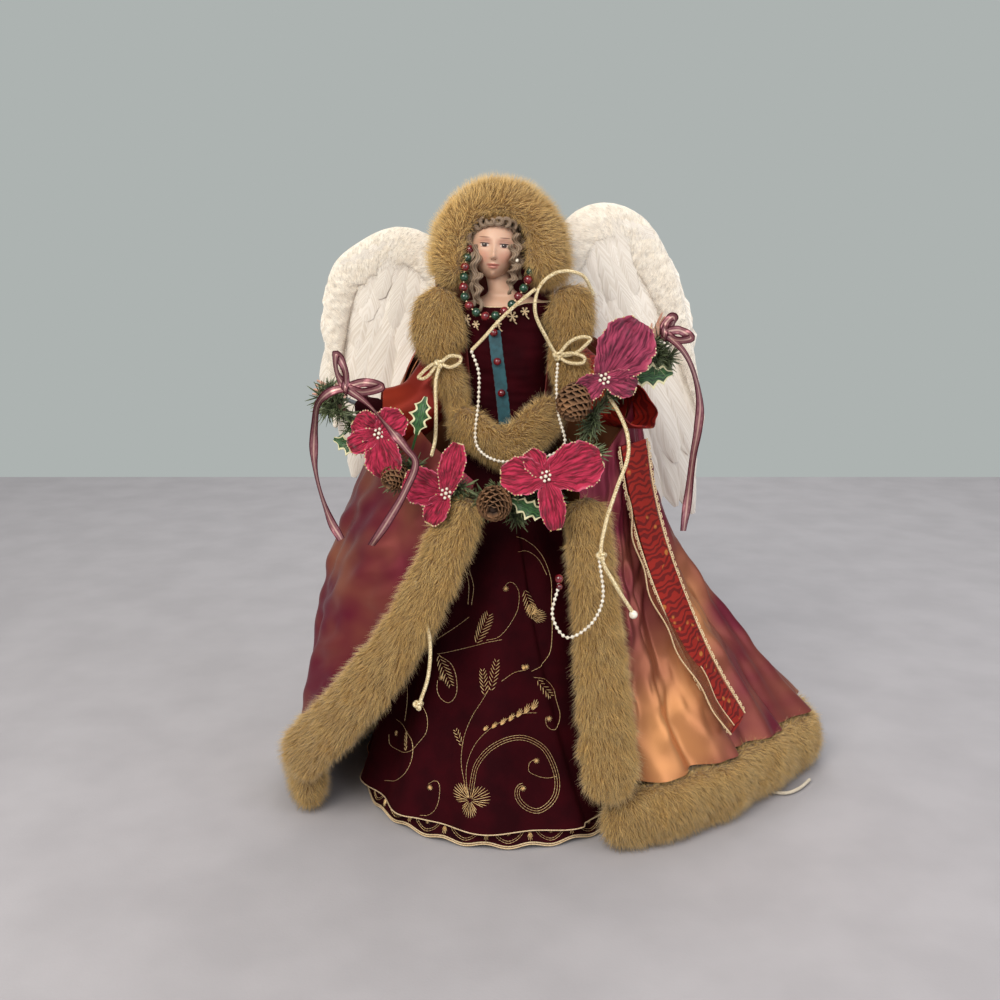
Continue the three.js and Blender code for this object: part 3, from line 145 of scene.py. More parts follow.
def smooth(value: Array | float, low: float, high: float) -> Array:
    """0 below the low value, 1 above the high one and a smooth step between."""
    share = np.clip((np.asarray(value, float) - low) / (high - low), 0, 1)
    return share * share * (3 - 2 * share)


def ripple(spots: Array, size: float, seed: int, terms: int = 14) -> Array:
    """Smooth random waves through space.

    Args:
        spots: Points, one in each row.
        size: The usual width of a wave.
        seed: Fixes the waves.
        terms: How many waves are added up.

    Returns:
        One height for each point, mostly from -1 to 1.
    """
    random = np.random.default_rng(seed)
    ways = unit(random.normal(size=(terms, spots.shape[-1])))
    ways *= TAU / size * random.uniform(0.6, 1.5, (terms, 1))
    phases = random.uniform(0, TAU, terms)
    return np.sin(spots @ ways.T + phases).sum(-1) / math.sqrt(terms)


def round_angles(count: int) -> Array:
    """Evenly spaced angles, once round."""
    return np.linspace(0, TAU, count, endpoint=False)


def away(weights: Point, origin: Point = (0, 0, 0)) -> Facing:
    """Gives directions away from a place, with each coordinate weighted."""
    return lambda spots: unit((spots - np.asarray(origin, float)) * weights)


# Level directions away from the figure's upright axis.
from_axis = away((1, 1, 0))


def aslant(spots: Array) -> Array:
    """One slanted direction that no route here runs along, once for each point."""
    return np.tile([0.31, 0.83, 0.46], (len(spots), 1))


def to_front(spots: Array) -> Array:
    """The direction towards the front, once for each point."""
    return np.tile([0.0, -1.0, 0.0], (len(spots), 1))


def frames(path: Array, facing: Facing) -> tuple[Array, Array, Array]:
    """The directions along, out of and across a path.

    Args:
        path: Points of the path.
        facing: Gives the outward direction wanted at each point.

    Returns:
        Unit directions ahead, outward and across, one row for each point.
    """
    ahead = unit(np.gradient(path, axis=0))
    out = facing(path)
    out = unit(out - (out * ahead).sum(1, keepdims=True) * ahead)
    return ahead, out, unit(np.cross(ahead, out))


@dataclass
class Shape:
    """A surface: corners in millimetres, faces, and values that are kept at the corners."""

    corners: Array
    faces: list[tuple[int, ...]]
    values: dict[str, Array] = field(default_factory=dict)

    def keeping(self, **values: Array) -> Shape:
        """The same surface with only these values kept at its corners."""
        return Shape(self.corners, self.faces, values)

    def outward(self) -> Shape:
        """The same surface with its faces turned outward."""
        volume = 0.0
        for face in self.faces:
            a, b, c = (self.corners[face[k]] for k in (0, 1, 2))
            volume += float(a @ np.cross(b, c))
            if len(face) == 4:
                volume += float(a @ np.cross(c, self.corners[face[3]]))
        if volume < 0:
            self.faces = [face[::-1] for face in self.faces]
        return self


def gather(shapes: Iterable[Shape]) -> Shape:
    """Several surfaces as one."""
    shapes = list(shapes)
    faces: list[tuple[int, ...]] = []
    start = 0
    for shape in shapes:
        faces += [tuple(k + start for k in face) for face in shape.faces]
        start += len(shape.corners)
    values = {key: np.concatenate([s.values[key] for s in shapes]) for key in shapes[0].values}
    return Shape(np.vstack([s.corners for s in shapes]), faces, values)


def loft(rings: Array) -> Shape:
    """A closed skin over rings of points, with a hub at each end.

    Args:
        rings: Points by ring, by place in the ring and by coordinate.

    Returns:
        The skin, with its share of length and of turn at each corner.
    """
    count, around, _ = rings.shape
    corners = np.vstack([rings.reshape(-1, 3), rings[0].mean(0), rings[-1].mean(0)])
    faces = []
    for i in range(count - 1):
        for j in range(around):
            k = (j + 1) % around
            faces.append((i * around + j, i * around + k, (i + 1) * around + k, (i + 1) * around + j))
    hub, last = count * around, (count - 1) * around
    faces += [(hub, (j + 1) % around, j) for j in range(around)]
    faces += [(hub + 1, last + j, last + (j + 1) % around) for j in range(around)]
    run = np.r_[np.repeat(np.linspace(0, 1, count), around), 0, 1]
    turn = np.r_[np.tile(np.arange(around) / around, count), 0, 0]
    return Shape(corners, faces, {"run": run, "turn": turn}).outward()


def tube(path: Array, radius: Array | float, sides: int = 8) -> Shape:
    """A round tube along a path."""
    _, out, across = frames(path, aslant)
    angle = round_angles(sides)[None, :, None]
    size = np.broadcast_to(radius, len(path))[:, None, None]
    rings = path[:, None] + size * (np.cos(angle) * out[:, None] + np.sin(angle) * across[:, None])
    return loft(rings)


def twisted(path: Array, diameter: float, pitch: float, plies: int = 2, sides: int = 6) -> Shape:
    """A cord of plies twisted round each other.

    Args:
        path: The middle of the cord.
        diameter: The whole cord's diameter.
        pitch: The length of one full twist.
        plies: How many plies there are.
        sides: Sides of each ply.

    Returns:
        The plies, each closed.
    """
    length = length_of(path)
    fine = even(path, max(int(length / pitch * 8), 12))
    _, out, across = frames(fine, aslant)
    turned = np.linspace(0, TAU * length / pitch, len(fine))[:, None]
    made = []
    for ply in range(plies):
        angle = turned + TAU * ply / plies
        centre = fine + diameter * 0.23 * (np.cos(angle) * out + np.sin(angle) * across)
        made.append(tube(centre, diameter * 0.27, sides))
    return gather(made)


def sheet(grid: Array, thickness: float, wrapped: bool = False) -> Shape:
    """A closed cloth of even thickness over a grid of points.

    Args:
        grid: Points by row, by column and by coordinate.
        thickness: The cloth's thickness.
        wrapped: Whether each row runs round and meets itself.

    Returns:
        The cloth, with its weave's place in millimetres at each corner.
    """
    high, wide, _ = grid.shape
    if wrapped:
        across = np.roll(grid, -1, 1) - np.roll(grid, 1, 1)
    else:
        across = np.gradient(grid, axis=1)
    normal = unit(np.cross(across, np.gradient(grid, axis=0)))
    corners = np.vstack([(grid + normal * side * thickness / 2).reshape(-1, 3) for side in (1, -1)])
    spans = wide if wrapped else wide - 1
    back = high * wide
    faces = []
    for i in range(high - 1):
        for j in range(spans):
            k = (j + 1) % wide
            a, b, c, d = i * wide + j, i * wide + k, (i + 1) * wide + k, (i + 1) * wide + j
            faces += [(a, b, c, d), (back + d, back + c, back + b, back + a)]
        if not wrapped:
            a, d = i * wide, (i + 1) * wide
            b, c = a + wide - 1, d + wide - 1
            faces += [(a, d, back + d, back + a), (c, b, back + b, back + c)]
    for j in range(spans):
        k = (j + 1) % wide
        a, b = (high - 1) * wide + j, (high - 1) * wide + k
        faces += [(k, j, back + j, back + k), (a, b, back + b, back + a)]
    u = np.linalg.norm(np.diff(grid, axis=1), axis=2).mean(0)
    v = np.linalg.norm(np.diff(grid, axis=0), axis=2).mean(1)
    place_u = np.tile(np.r_[0, np.cumsum(u)], high)
    place_v = np.repeat(np.r_[0, np.cumsum(v)], wide)
    weave = np.column_stack([place_u, place_v, np.zeros_like(place_u)]) * MM
    return Shape(corners, faces, {"weave": np.vstack([weave, weave])}).outward()


def roll(
    path: Array, half_width: Array, half_depth: Array, facing: Facing, sides: int = 28,
    ends: tuple[bool, bool] = (True, True),
) -> Shape:
    """A padded roll along a path.

    Args:
        path: Evenly spaced points of the roll's middle.
        half_width: Half its width across, one for each point.
        half_depth: Half its depth outward, one for each point.
        facing: Gives the outward direction.
        sides: Corners round the roll.
        ends: Whether the first and the last end are rounded.

    Returns:
        The roll, with the direction that its pile is combed in.
    """
    ahead, out, across = frames(path, facing)
    run = np.r_[0, np.cumsum(np.linalg.norm(np.diff(path, axis=0), axis=1))]
    swell = np.ones(len(path))
    for is_round, way in zip(ends, (run, run[-1] - run)):
        if is_round:
            share = np.clip(way / (half_width * 0.9), 0.02, 1)
            swell *= np.sqrt(1 - (1 - share) ** 2)
    angle = round_angles(sides)[None, :, None]
    rings = path[:, None] + np.cos(angle) * across[:, None] * (half_width * swell)[:, None, None]
    rings = rings + np.sin(angle) * out[:, None] * (half_depth * swell)[:, None, None]
    shape = loft(rings)
    shape.values["comb"] = np.vstack([np.repeat(ahead, sides, 0), -ahead[:1], ahead[-1:]])
    return shape


def ball(centre: Point, radius: float, rows: int = 7, sides: int = 12) -> Shape:
    """A round bead."""
    rise = np.linspace(-0.98, 0.98, rows) * math.pi / 2
    angle = round_angles(sides)
    ring = np.stack(
        [
            np.cos(rise)[:, None] * np.cos(angle), np.cos(rise)[:, None] * np.sin(angle),
            np.repeat(np.sin(rise)[:, None], sides, 1),
        ],
        axis=2,
    )
    return loft(np.asarray(centre, float) + radius * ring)


# Objects, Geometry Nodes and materials.


def output_of(value: Node | Socket) -> Socket:
    """A socket as it is, or a node's first output in use."""
    return next(output for output in value.outputs if output.enabled) if isinstance(value, Node) else value


def node(tree: Tree, kind: str, inputs: dict | None = None, **settings: object) -> Node:
    """Adds one node, sets its properties, and fills or links its inputs.

    Args:
        tree: The node tree.
        kind: The node's type, without its first word for a shader node.
        inputs: By name or index, a value, a hex colour, a socket, or a node whose first output in use is taken.
        **settings: Properties of the node.

    Returns:
        The new node.
    """
    made = tree.nodes.new(kind if "Node" in kind else f"ShaderNode{kind}")
    for name, value in settings.items():
        setattr(made, name, value)
    for key, value in (inputs or {}).items():
        if isinstance(value, (Node, Socket)):
            tree.links.new(output_of(value), made.inputs[key])
        elif isinstance(value, str) and value.startswith("#"):
            made.inputs[key].default_value = linear(value)
        else:
            made.inputs[key].default_value = value
    return made


def reckon(tree: Tree, operation: str, *values: object, **settings: object) -> Node:
    """Adds a node that reckons with numbers, sockets or nodes."""
    return node(tree, "Math", dict(enumerate(values)), operation=operation, **settings)


def noise(tree: Tree, place: object, scale: object, detail: float) -> Node:
    """Adds soft noise of a scale and detail."""
    return node(tree, "TexNoise", {"Vector": place, "Scale": scale, "Detail": detail})


def mixed(tree: Tree, share: object, first: object, second: object) -> Node:
    """Adds a mix of two colours."""
    return node(tree, "Mix", {0: share, 6: first, 7: second}, data_type="RGBA")


def kept(tree: Tree, name: str, output: str = "Fac") -> Socket:
    """The number, or the Vector, that a mesh keeps at its corners under a name."""
    return node(tree, "Attribute", attribute_name=name).outputs[output]


def make_object(name: str, shape: Shape, sharp_degrees: float = 50) -> Object:
    """A Blender object from a surface, placed in metres.

    Args:
        name: The piece's name.
        shape: The surface in millimetres.
        sharp_degrees: Edges that bend more than this stay sharp.

    Returns:
        The object, linked to the scene.
    """
    mesh = bpy.data.meshes.new(name)
    mesh.from_pydata((shape.corners * MM).tolist(), [], shape.faces)
    for key, values in shape.values.items():
        kind = "FLOAT_VECTOR" if values.ndim == 2 else "FLOAT"
        attribute = mesh.attributes.new(key, kind, "POINT")
        store = "vector" if values.ndim == 2 else "value"
        attribute.data.foreach_set(store, np.ascontiguousarray(values, np.float32).ravel())
    mesh.shade_smooth()
    mesh.set_sharp_from_angle(angle=math.radians(sharp_degrees))
    made = bpy.data.objects.new(name, mesh)
    bpy.context.scene.collection.objects.link(made)
    return made


def inputs_of(tree: Tree, sockets: dict[str, str]) -> Node:
    """Declares a tree's inputs and its one output, and returns the input node."""
    for name, kind in sockets.items():
        tree.interface.new_socket(name=name, in_out="INPUT", socket_type=f"NodeSocket{kind}")
    tree.interface.new_socket(name="Geometry", in_out="OUTPUT", socket_type="NodeSocketGeometry")
    return tree.nodes.new("NodeGroupInput")


def grow(carrier: Object, tree: Tree, name: str, **values: object) -> Object:
    """Runs a Geometry Nodes tree on a carrier and keeps the result as a plain mesh.

    Args:
        carrier: The object that the tree starts from, removed afterwards.
        tree: The Geometry Nodes tree.
        name: The new piece's name.
        **values: Values of the tree's named inputs.

    Returns:
        The new object.
    """
    modifier = carrier.modifiers.new("growth", "NODES")
    modifier.node_group = tree
    for item in tree.interface.items_tree:
        if item.in_out == "INPUT" and item.name in values:
            modifier[item.identifier] = values[item.name]
    depsgraph = bpy.context.evaluated_depsgraph_get()
    mesh = bpy.data.meshes.new_from_object(carrier.evaluated_get(depsgraph), depsgraph=depsgraph)
    carrier.modifiers.remove(modifier)
    bpy.data.objects.remove(carrier)
    mesh.name = name
    made = bpy.data.objects.new(name, mesh)
    bpy.context.scene.collection.objects.link(made)
    return made


def template(name: str, shape: Shape) -> Object:
    """A small shape that Geometry Nodes repeat, one millimetre of it for each unit."""
    shape.corners = shape.corners / MM
    return make_object(name, shape, 180)


class PileTree:
    """Geometry Nodes that grow combed hairs from a skin."""

    def build(self) -> Tree:
        """Builds the tree.

        Returns:
            The tree, with named inputs for its sizes.
        """
        tree = bpy.data.node_groups.new("pile", "GeometryNodeTree")
        get = inputs_of(
            tree,
            {
                "Geometry": "Geometry", "Strand": "Object", "Pile": "Material", "Skin": "Material",
                **dict.fromkeys(("Density", "Length", "Thickness", "Lay", "Clump", "Clump Size", "Stray"), "Float"),
                "Seed": "Int",
            },
        ).outputs
        points = node(
            tree, "GeometryNodeDistributePointsOnFaces",
            {"Mesh": get["Geometry"], "Density": get["Density"], "Seed": get["Seed"]},
        )
        comb = node(tree, "GeometryNodeInputNamedAttribute", {"Name": "comb"}, data_type="FLOAT_VECTOR")
        place = node(tree, "GeometryNodeInputPosition")
        frequency = reckon(tree, "DIVIDE", 1.0, get["Clump Size"])
        cloud = noise(tree, place, frequency, 2.0)
        centred = node(tree, "VectorMath", {0: cloud.outputs["Color"], 1: (0.5, 0.5, 0.5)}, operation="SUBTRACT")
        clump = node(tree, "VectorMath", {0: centred, "Scale": get["Clump"]}, operation="SCALE")
        loose = node(
            tree, "FunctionNodeRandomValue", {0: (-1.0, -1.0, -1.0), 1: (1.0, 1.0, 1.0), "Seed": get["Seed"]},
            data_type="FLOAT_VECTOR",
        )
        stray = node(tree, "VectorMath", {0: loose, "Scale": get["Stray"]}, operation="SCALE")
        lay = node(tree, "VectorMath", {0: comb, "Scale": get["Lay"]}, operation="SCALE")
        way = points.outputs["Normal"]
        for extra in (lay, clump, stray):
            way = node(tree, "VectorMath", {0: way, 1: extra}, operation="ADD")
        turned = node(tree, "FunctionNodeAlignRotationToVector", {"Vector": way}, axis="Z")
        vary = node(tree, "FunctionNodeRandomValue", {2: 0.6, 3: 1.15, "Seed": 5}, data_type="FLOAT")
        long = reckon(tree, "MULTIPLY", get["Length"], vary)
        size = node(tree, "CombineXYZ", {"X": get["Thickness"], "Y": get["Thickness"], "Z": long})
        strand = node(tree, "GeometryNodeObjectInfo", {"Object": get["Strand"]})
        hairs = node(
            tree, "GeometryNodeInstanceOnPoints",
            {
                "Points": points.outputs["Points"], "Instance": strand.outputs["Geometry"], "Rotation": turned,
                "Scale": size,
            },
        )
        tint = node(tree, "FunctionNodeRandomValue", {2: 0.0, 3: 1.0, "Seed": 9}, data_type="FLOAT")
        marked = node(
            tree, "GeometryNodeStoreNamedAttribute", {"Geometry": hairs, "Name": "tint", "Value": tint},
            data_type="FLOAT", domain="INSTANCE",
        )
        real = node(tree, "GeometryNodeRealizeInstances", {"Geometry": marked})
        pile = node(tree, "GeometryNodeSetMaterial", {"Geometry": real, "Material": get["Pile"]})
        skin = node(tree, "GeometryNodeSetMaterial", {"Geometry": get["Geometry"], "Material": get["Skin"]})
        both = node(tree, "GeometryNodeJoinGeometry", {0: skin})
        tree.links.new(pile.outputs[0], both.inputs[0])
        node(tree, "NodeGroupOutput", {0: both})
        return tree


class ScatterTree:
    """Geometry Nodes that put one small shape at every point of a carrier."""

    def build(self) -> Tree:
        """Builds the tree.

        Returns:
            The tree, which reads each point's way, facing and size.
        """
        tree = bpy.data.node_groups.new("scatter", "GeometryNodeTree")
        get = inputs_of(tree, {"Geometry": "Geometry", "Parts": "Collection", "Finish": "Material"}).outputs
        way, facing, size = (
            node(tree, "GeometryNodeInputNamedAttribute", {"Name": name}, data_type="FLOAT_VECTOR")
            for name in ("way", "facing", "size")
        )
        turned = node(
            tree, "FunctionNodeAxesToRotation", {"Primary Axis": way, "Secondary Axis": facing}, primary_axis="Z",
            secondary_axis="X",
        )
        kind = node(tree, "GeometryNodeInputNamedAttribute", {"Name": "kind"}, data_type="INT")
        parts = node(
            tree, "GeometryNodeCollectionInfo",
            {"Collection": get["Parts"], "Separate Children": True, "Reset Children": True},
        )
        copies = node(
            tree, "GeometryNodeInstanceOnPoints",
            {
                "Points": get["Geometry"], "Instance": parts, "Pick Instance": True, "Instance Index": kind,
                "Rotation": turned, "Scale": size,
            },
        )
        real = node(tree, "GeometryNodeRealizeInstances", {"Geometry": copies})
        done = node(tree, "GeometryNodeSetMaterial", {"Geometry": real, "Material": get["Finish"]})
        node(tree, "NodeGroupOutput", {0: done})
        return tree


def linear(code: str) -> tuple[float, float, float, float]:
    """Turns an sRGB hex colour into linear red, green, blue and alpha."""
    parts = [int(code[i : i + 2], 16) / 255 for i in (1, 3, 5)]
    red, green, blue = (c / 12.92 if c <= 0.04045 else ((c + 0.055) / 1.055) ** 2.4 for c in parts)
    return red, green, blue, 1.0


@dataclass(frozen=True)
class Finish:
    """What every finish has: a name for its material, its roughness and other constants of the shader."""

    name: str
    roughness: float = 0.6
    constants: dict[str, object] = field(default_factory=dict)

    def build(self) -> Material:
        """Builds the material."""
        material = bpy.data.materials.new(self.name)
        material.use_nodes = True
        tree = material.node_tree
        tree.nodes.clear()
        shader = node(tree, "BsdfPrincipled", {"Roughness": self.roughness, **self.constants})
        node(tree, "OutputMaterial", {"Surface": shader})
        tone, height, depth_mm = self.paint(tree, shader)
        tree.links.new(output_of(tone), shader.inputs["Base Color"])
        if depth_mm:
            bump = node(tree, "Bump", {"Height": height, "Strength": 0.8, "Distance": depth_mm * MM})
            tree.links.new(bump.outputs[0], shader.inputs["Normal"])
        return material

    def paint(self, tree: Tree, shader: Node) -> Painted:
        """Adds the nodes of the finish.

        Args:
            tree: The material's nodes.
            shader: The material's one shader.

        Returns:
            The colour's node, the relief's node or socket and the relief's depth in millimetres.
        """
        raise NotImplementedError


@dataclass(frozen=True)
class Mottled(Finish):
    """Two close tones in soft patches under a fine grain: paint, card, thread, velvet pile or lacquer."""

    base: str = "#808080"
    other: str = "#707070"
    patch_mm: float = 6.0
    grain_mm: float = 0.8
    depth_mm: float = 0.05

    def paint(self, tree: Tree, shader: Node) -> Painted:
        """Adds the nodes of the finish."""
        spot = node(tree, "TexCoord").outputs["Object"]
        patch = noise(tree, spot, 1 / (self.patch_mm * MM), 3.0)
        share = node(tree, "MapRange", {0: patch, 1: 0.35, 2: 0.65})
        tone = mixed(tree, share, self.base, self.other)
        grain = noise(tree, spot, 1 / (self.grain_mm * MM), 2.0)
        return tone, grain, self.depth_mm


@dataclass(frozen=True)
class Tipped(Finish):
    """Hairs, needles, scales or strands: dark at their roots, pale at their tips, each its own tone."""

    root: str = "#916c32"
    tip: str = "#ffdc94"
    patch: str = "#c99b4e"
    contrast: float = 0.25

    def paint(self, tree: Tree, shader: Node) -> Painted:
        """Adds the nodes of the finish."""
        run = kept(tree, "along")
        tint = kept(tree, "tint")
        spot = node(tree, "TexCoord").outputs["Object"]
        cloud = noise(tree, spot, 90.0, 3.0)
        # Darker towards each strand's root: on the fur and the cone scales this is painted shade deep in the pile and
        # under each scale.
        lift = reckon(tree, "POWER", run, 0.75)
        tone = mixed(tree, lift, self.root, self.tip)
        share = node(tree, "MapRange", {0: cloud, 1: 0.35, 2: 0.7, 4: 0.5})
        patched = mixed(tree, share, tone, self.patch)
        bright = node(tree, "MapRange", {0: tint, 3: 1 - self.contrast, 4: 1 + self.contrast})
        varied = node(tree, "HueSaturation", {"Color": patched, "Value": bright})
        return varied, None, 0.0


@dataclass(frozen=True)
class Satin(Finish):
    """Woven polyester satin, shot with two colours, with soft bright folds, or sheer organza."""

    base: str = "#5a1228"
    shot: str = "#9a6038"
    opacity: float = 1.0
    weave_mm: float = 0.35

    def paint(self, tree: Tree, shader: Node) -> Painted:
        """Adds the nodes of the finish."""
        weave = kept(tree, "weave", "Vector")
        # The kept shade is painted light and shade on the cloth: towards the copper where light catches a fold, towards
        # the wine where it turns away.
        shade = kept(tree, "shade")
        cloud = noise(tree, weave, 28.0, 2.0)
        shift = reckon(tree, "SUBTRACT", cloud, 0.5)
        share = reckon(tree, "MULTIPLY_ADD", shift, 0.5, shade, use_clamp=True)
        tone = mixed(tree, share, self.base, self.shot)
        if self.opacity < 1:
            mesh = noise(tree, weave, 160.0, 2.0)
            dense = node(tree, "MapRange", {0: mesh, 1: 0.3, 2: 0.7, 3: self.opacity - 0.15, 4: self.opacity + 0.15})
            tree.links.new(dense.outputs[0], shader.inputs["Alpha"])
        wave = node(tree, "TexWave", {"Vector": weave, "Scale": 1 / (self.weave_mm * MM) / TAU, "Distortion": 0.4})
        return tone, wave.outputs["Fac"], 0.02


@dataclass(frozen=True)
class Brocade(Finish):
    """Jacquard brocade: red-orange satin ground with raised leafy curls in darker silk and gold."""

    ground: str = "#982014"
    raised: str = "#6c120d"
    glint: str = "#bd7434"
    repeat_mm: float = 7.5

    def paint(self, tree: Tree, shader: Node) -> Painted:
        """Adds the nodes of the finish."""
        weave = kept(tree, "weave", "Vector")
        scale = 1 / (self.repeat_mm * MM)
        curls = node(
            tree, "TexWave",
            {"Vector": weave, "Scale": scale * 0.55, "Distortion": 9.0, "Detail": 1.0, "Detail Scale": 1.6},
            wave_type="RINGS",
        )
        leaf = node(tree, "MapRange", {0: curls.outputs["Fac"], 1: 0.55, 2: 0.62})
        cells = node(tree, "TexVoronoi", {"Vector": weave, "Scale": scale})
        bud = node(tree, "MapRange", {0: cells.outputs["Distance"], 1: 0.3, 2: 0.22})
        bend = noise(tree, weave, scale * 0.8, 1.0)
        gold = node(tree, "MapRange", {0: bend, 1: 0.5, 2: 0.58})
        touch = reckon(tree, "MULTIPLY", bud, gold)
        first = mixed(tree, leaf, self.ground, self.raised)
        second = mixed(tree, touch, first, self.glint)
        return second, leaf, 0.3


@dataclass(frozen=True)
class Veined(Finish):
    """A blade with fine veins or barbs and stripes along it: petal, leaf, feather or ribbon.

    The attribute blade holds a place's share across, from -1 to 1, and along, from 0 to 1.
    """

    deep: str = "#8f1430"
    lit: str = "#cc3257"
    stripes: tuple[tuple[float, float, str], ...] = ()
    fan: float = 0.35
    slant: float = 0.0
    scale: tuple[float, float] = (9.0, 3.0)
    depth_mm: float = 0.4

    def paint(self, tree: Tree, shader: Node) -> Painted:
        """Adds the nodes of the finish."""
        parts = node(tree, "SeparateXYZ", {0: kept(tree, "blade", "Vector")}).outputs
        tint = kept(tree, "tint")
        side = reckon(tree, "ABSOLUTE", parts[0])
        open_out = reckon(tree, "ADD", parts[1], self.fan)
        ray = reckon(tree, "DIVIDE", parts[0], open_out)
        barb = reckon(tree, "MULTIPLY_ADD", side, self.slant, parts[1])
        across = reckon(tree, "MULTIPLY", ray, self.scale[0])
        down = reckon(tree, "MULTIPLY", barb, self.scale[1])
        lane = reckon(tree, "MULTIPLY_ADD", tint, 50.0, parts[2])
        place = node(tree, "CombineXYZ", {0: across, 1: down, 2: lane})
        veins = noise(tree, place, 1.0, 4.0)
        share = node(tree, "MapRange", {0: veins, 1: 0.4, 2: 0.6})
        tone = mixed(tree, share, self.deep, self.lit)
        edge = reckon(tree, "MULTIPLY_ADD", veins, 0.2, side)
        for start, end, code in self.stripes:
            line = node(tree, "MapRange", {0: edge, 1: start, 2: end})
            tone = mixed(tree, line, tone, code)
        bright = node(tree, "MapRange", {0: tint, 3: 0.93, 4: 1.07})
        varied = node(tree, "HueSaturation", {"Color": tone, "Value": bright})
        return varied, veins, self.depth_mm


@dataclass(frozen=True)
class PaintedFace(Finish):
    """Cast resin painted as a doll's face: blushed cheeks, lips, brows and eyes in thin matt paint."""

    skin: str = "#cfab92"
    shade: str = "#c59d84"
    middle: tuple[float, float, float] = (-8.5, -22.0, 359.1)
    lean_degrees: float = 4.0

    def paint(self, tree: Tree, shader: Node) -> Painted:
        """Adds the nodes of the finish."""
        spot = node(tree, "TexCoord").outputs["Object"]
        centre = tuple(value * MM for value in self.middle)
        moved = node(tree, "VectorMath", {0: spot, 1: centre}, operation="SUBTRACT")
        level = node(
            tree, "VectorRotate", {"Vector": moved, "Angle": -math.radians(self.lean_degrees)},
            rotation_type="Y_AXIS",
        )
        place = node(tree, "VectorMath", {0: level, "Scale": 1 / MM}, operation="SCALE")
        cloud = noise(tree, spot, 160.0, 3.0)
        tone = mixed(tree, cloud, self.skin, self.shade)
        for where, reach, code, much, sharpness in self._patches():
            off = node(tree, "VectorMath", {0: place, 1: where}, operation="SUBTRACT")
            scaled = node(tree, "VectorMath", {0: off, 1: reach}, operation="DIVIDE")
            far = node(tree, "VectorMath", {0: scaled}, operation="LENGTH")
            rim = 0.5 / sharpness
            oval = node(
                tree, "MapRange", {0: far, 1: 1.0 + rim, 2: 1.0 - rim, 3: 0.0, 4: much},
                interpolation_type="SMOOTHSTEP",
            )
            tone = mixed(tree, oval, tone, code)
        grain = noise(tree, spot, 1800.0, 1.0)
        return tone, grain, 0.01

    def _patches(self) -> list[tuple[tuple, tuple, str, float, float]]:
        """Every painted patch: where, half sizes, colour, strength and how sharp its edge is."""
        made = []
        for sign in (-1, 1):
            x = 5.9 * sign
            made += [
                ((7.4 * sign, 0, -5.8), (4.6, 19, 3.8), "#c4705c", 0.32, 1.0),
                ((x, 0, 3.0), (4.2, 19, 2.6), "#a8735f", 0.55, 1.2),
                ((x, 0, 1.2), (2.6, 19, 0.95), "#cbbcb0", 0.9, 3.5),
                ((x + 0.1 * sign, 0, 1.3), (1.6, 19, 1.4), "#2a1712", 1.0, 4.0),
                # A small white spot high in each eye, towards the viewer's left: a painted reflection.
                ((x - 0.4, 0, 1.75), (0.3, 19, 0.3), "#efe9e0", 0.8, 4.0),
                ((x, 0, 2.3), (3.1, 19, 0.42), "#2f1b14", 1.0, 3.0),
                ((x + 0.1 * sign, 0, 0.15), (2.4, 19, 0.22), "#7d4a3d", 0.7, 2.5),
                ((x + 0.1 * sign, 0, 3.5), (3.0, 19, 0.22), "#8f5f4e", 0.6, 2.0),
                ((x + 0.4 * sign, 0, 5.9), (3.3, 19, 0.34), "#6a4636", 0.8, 1.8),
                # Two small dark dots under the nose: painted shade of the nostrils.
                ((1.15 * sign, 0, -6.9), (0.5, 19, 0.32), "#8c4f3e", 0.8, 2.0),
            ]
        return made + [
            ((0, 0, -10.2), (4.2, 19, 0.85), "#b5675c", 0.85, 2.2),
            ((0, 0, -11.65), (3.3, 19, 1.0), "#c07a6c", 0.8, 2.0),
            ((0, 0, -10.85), (4.1, 19, 0.2), "#743a30", 0.75, 2.2),
            ((0, 0, -18.8), (6.0, 19, 1.6), "#b07a64", 0.4, 1.0),
        ]


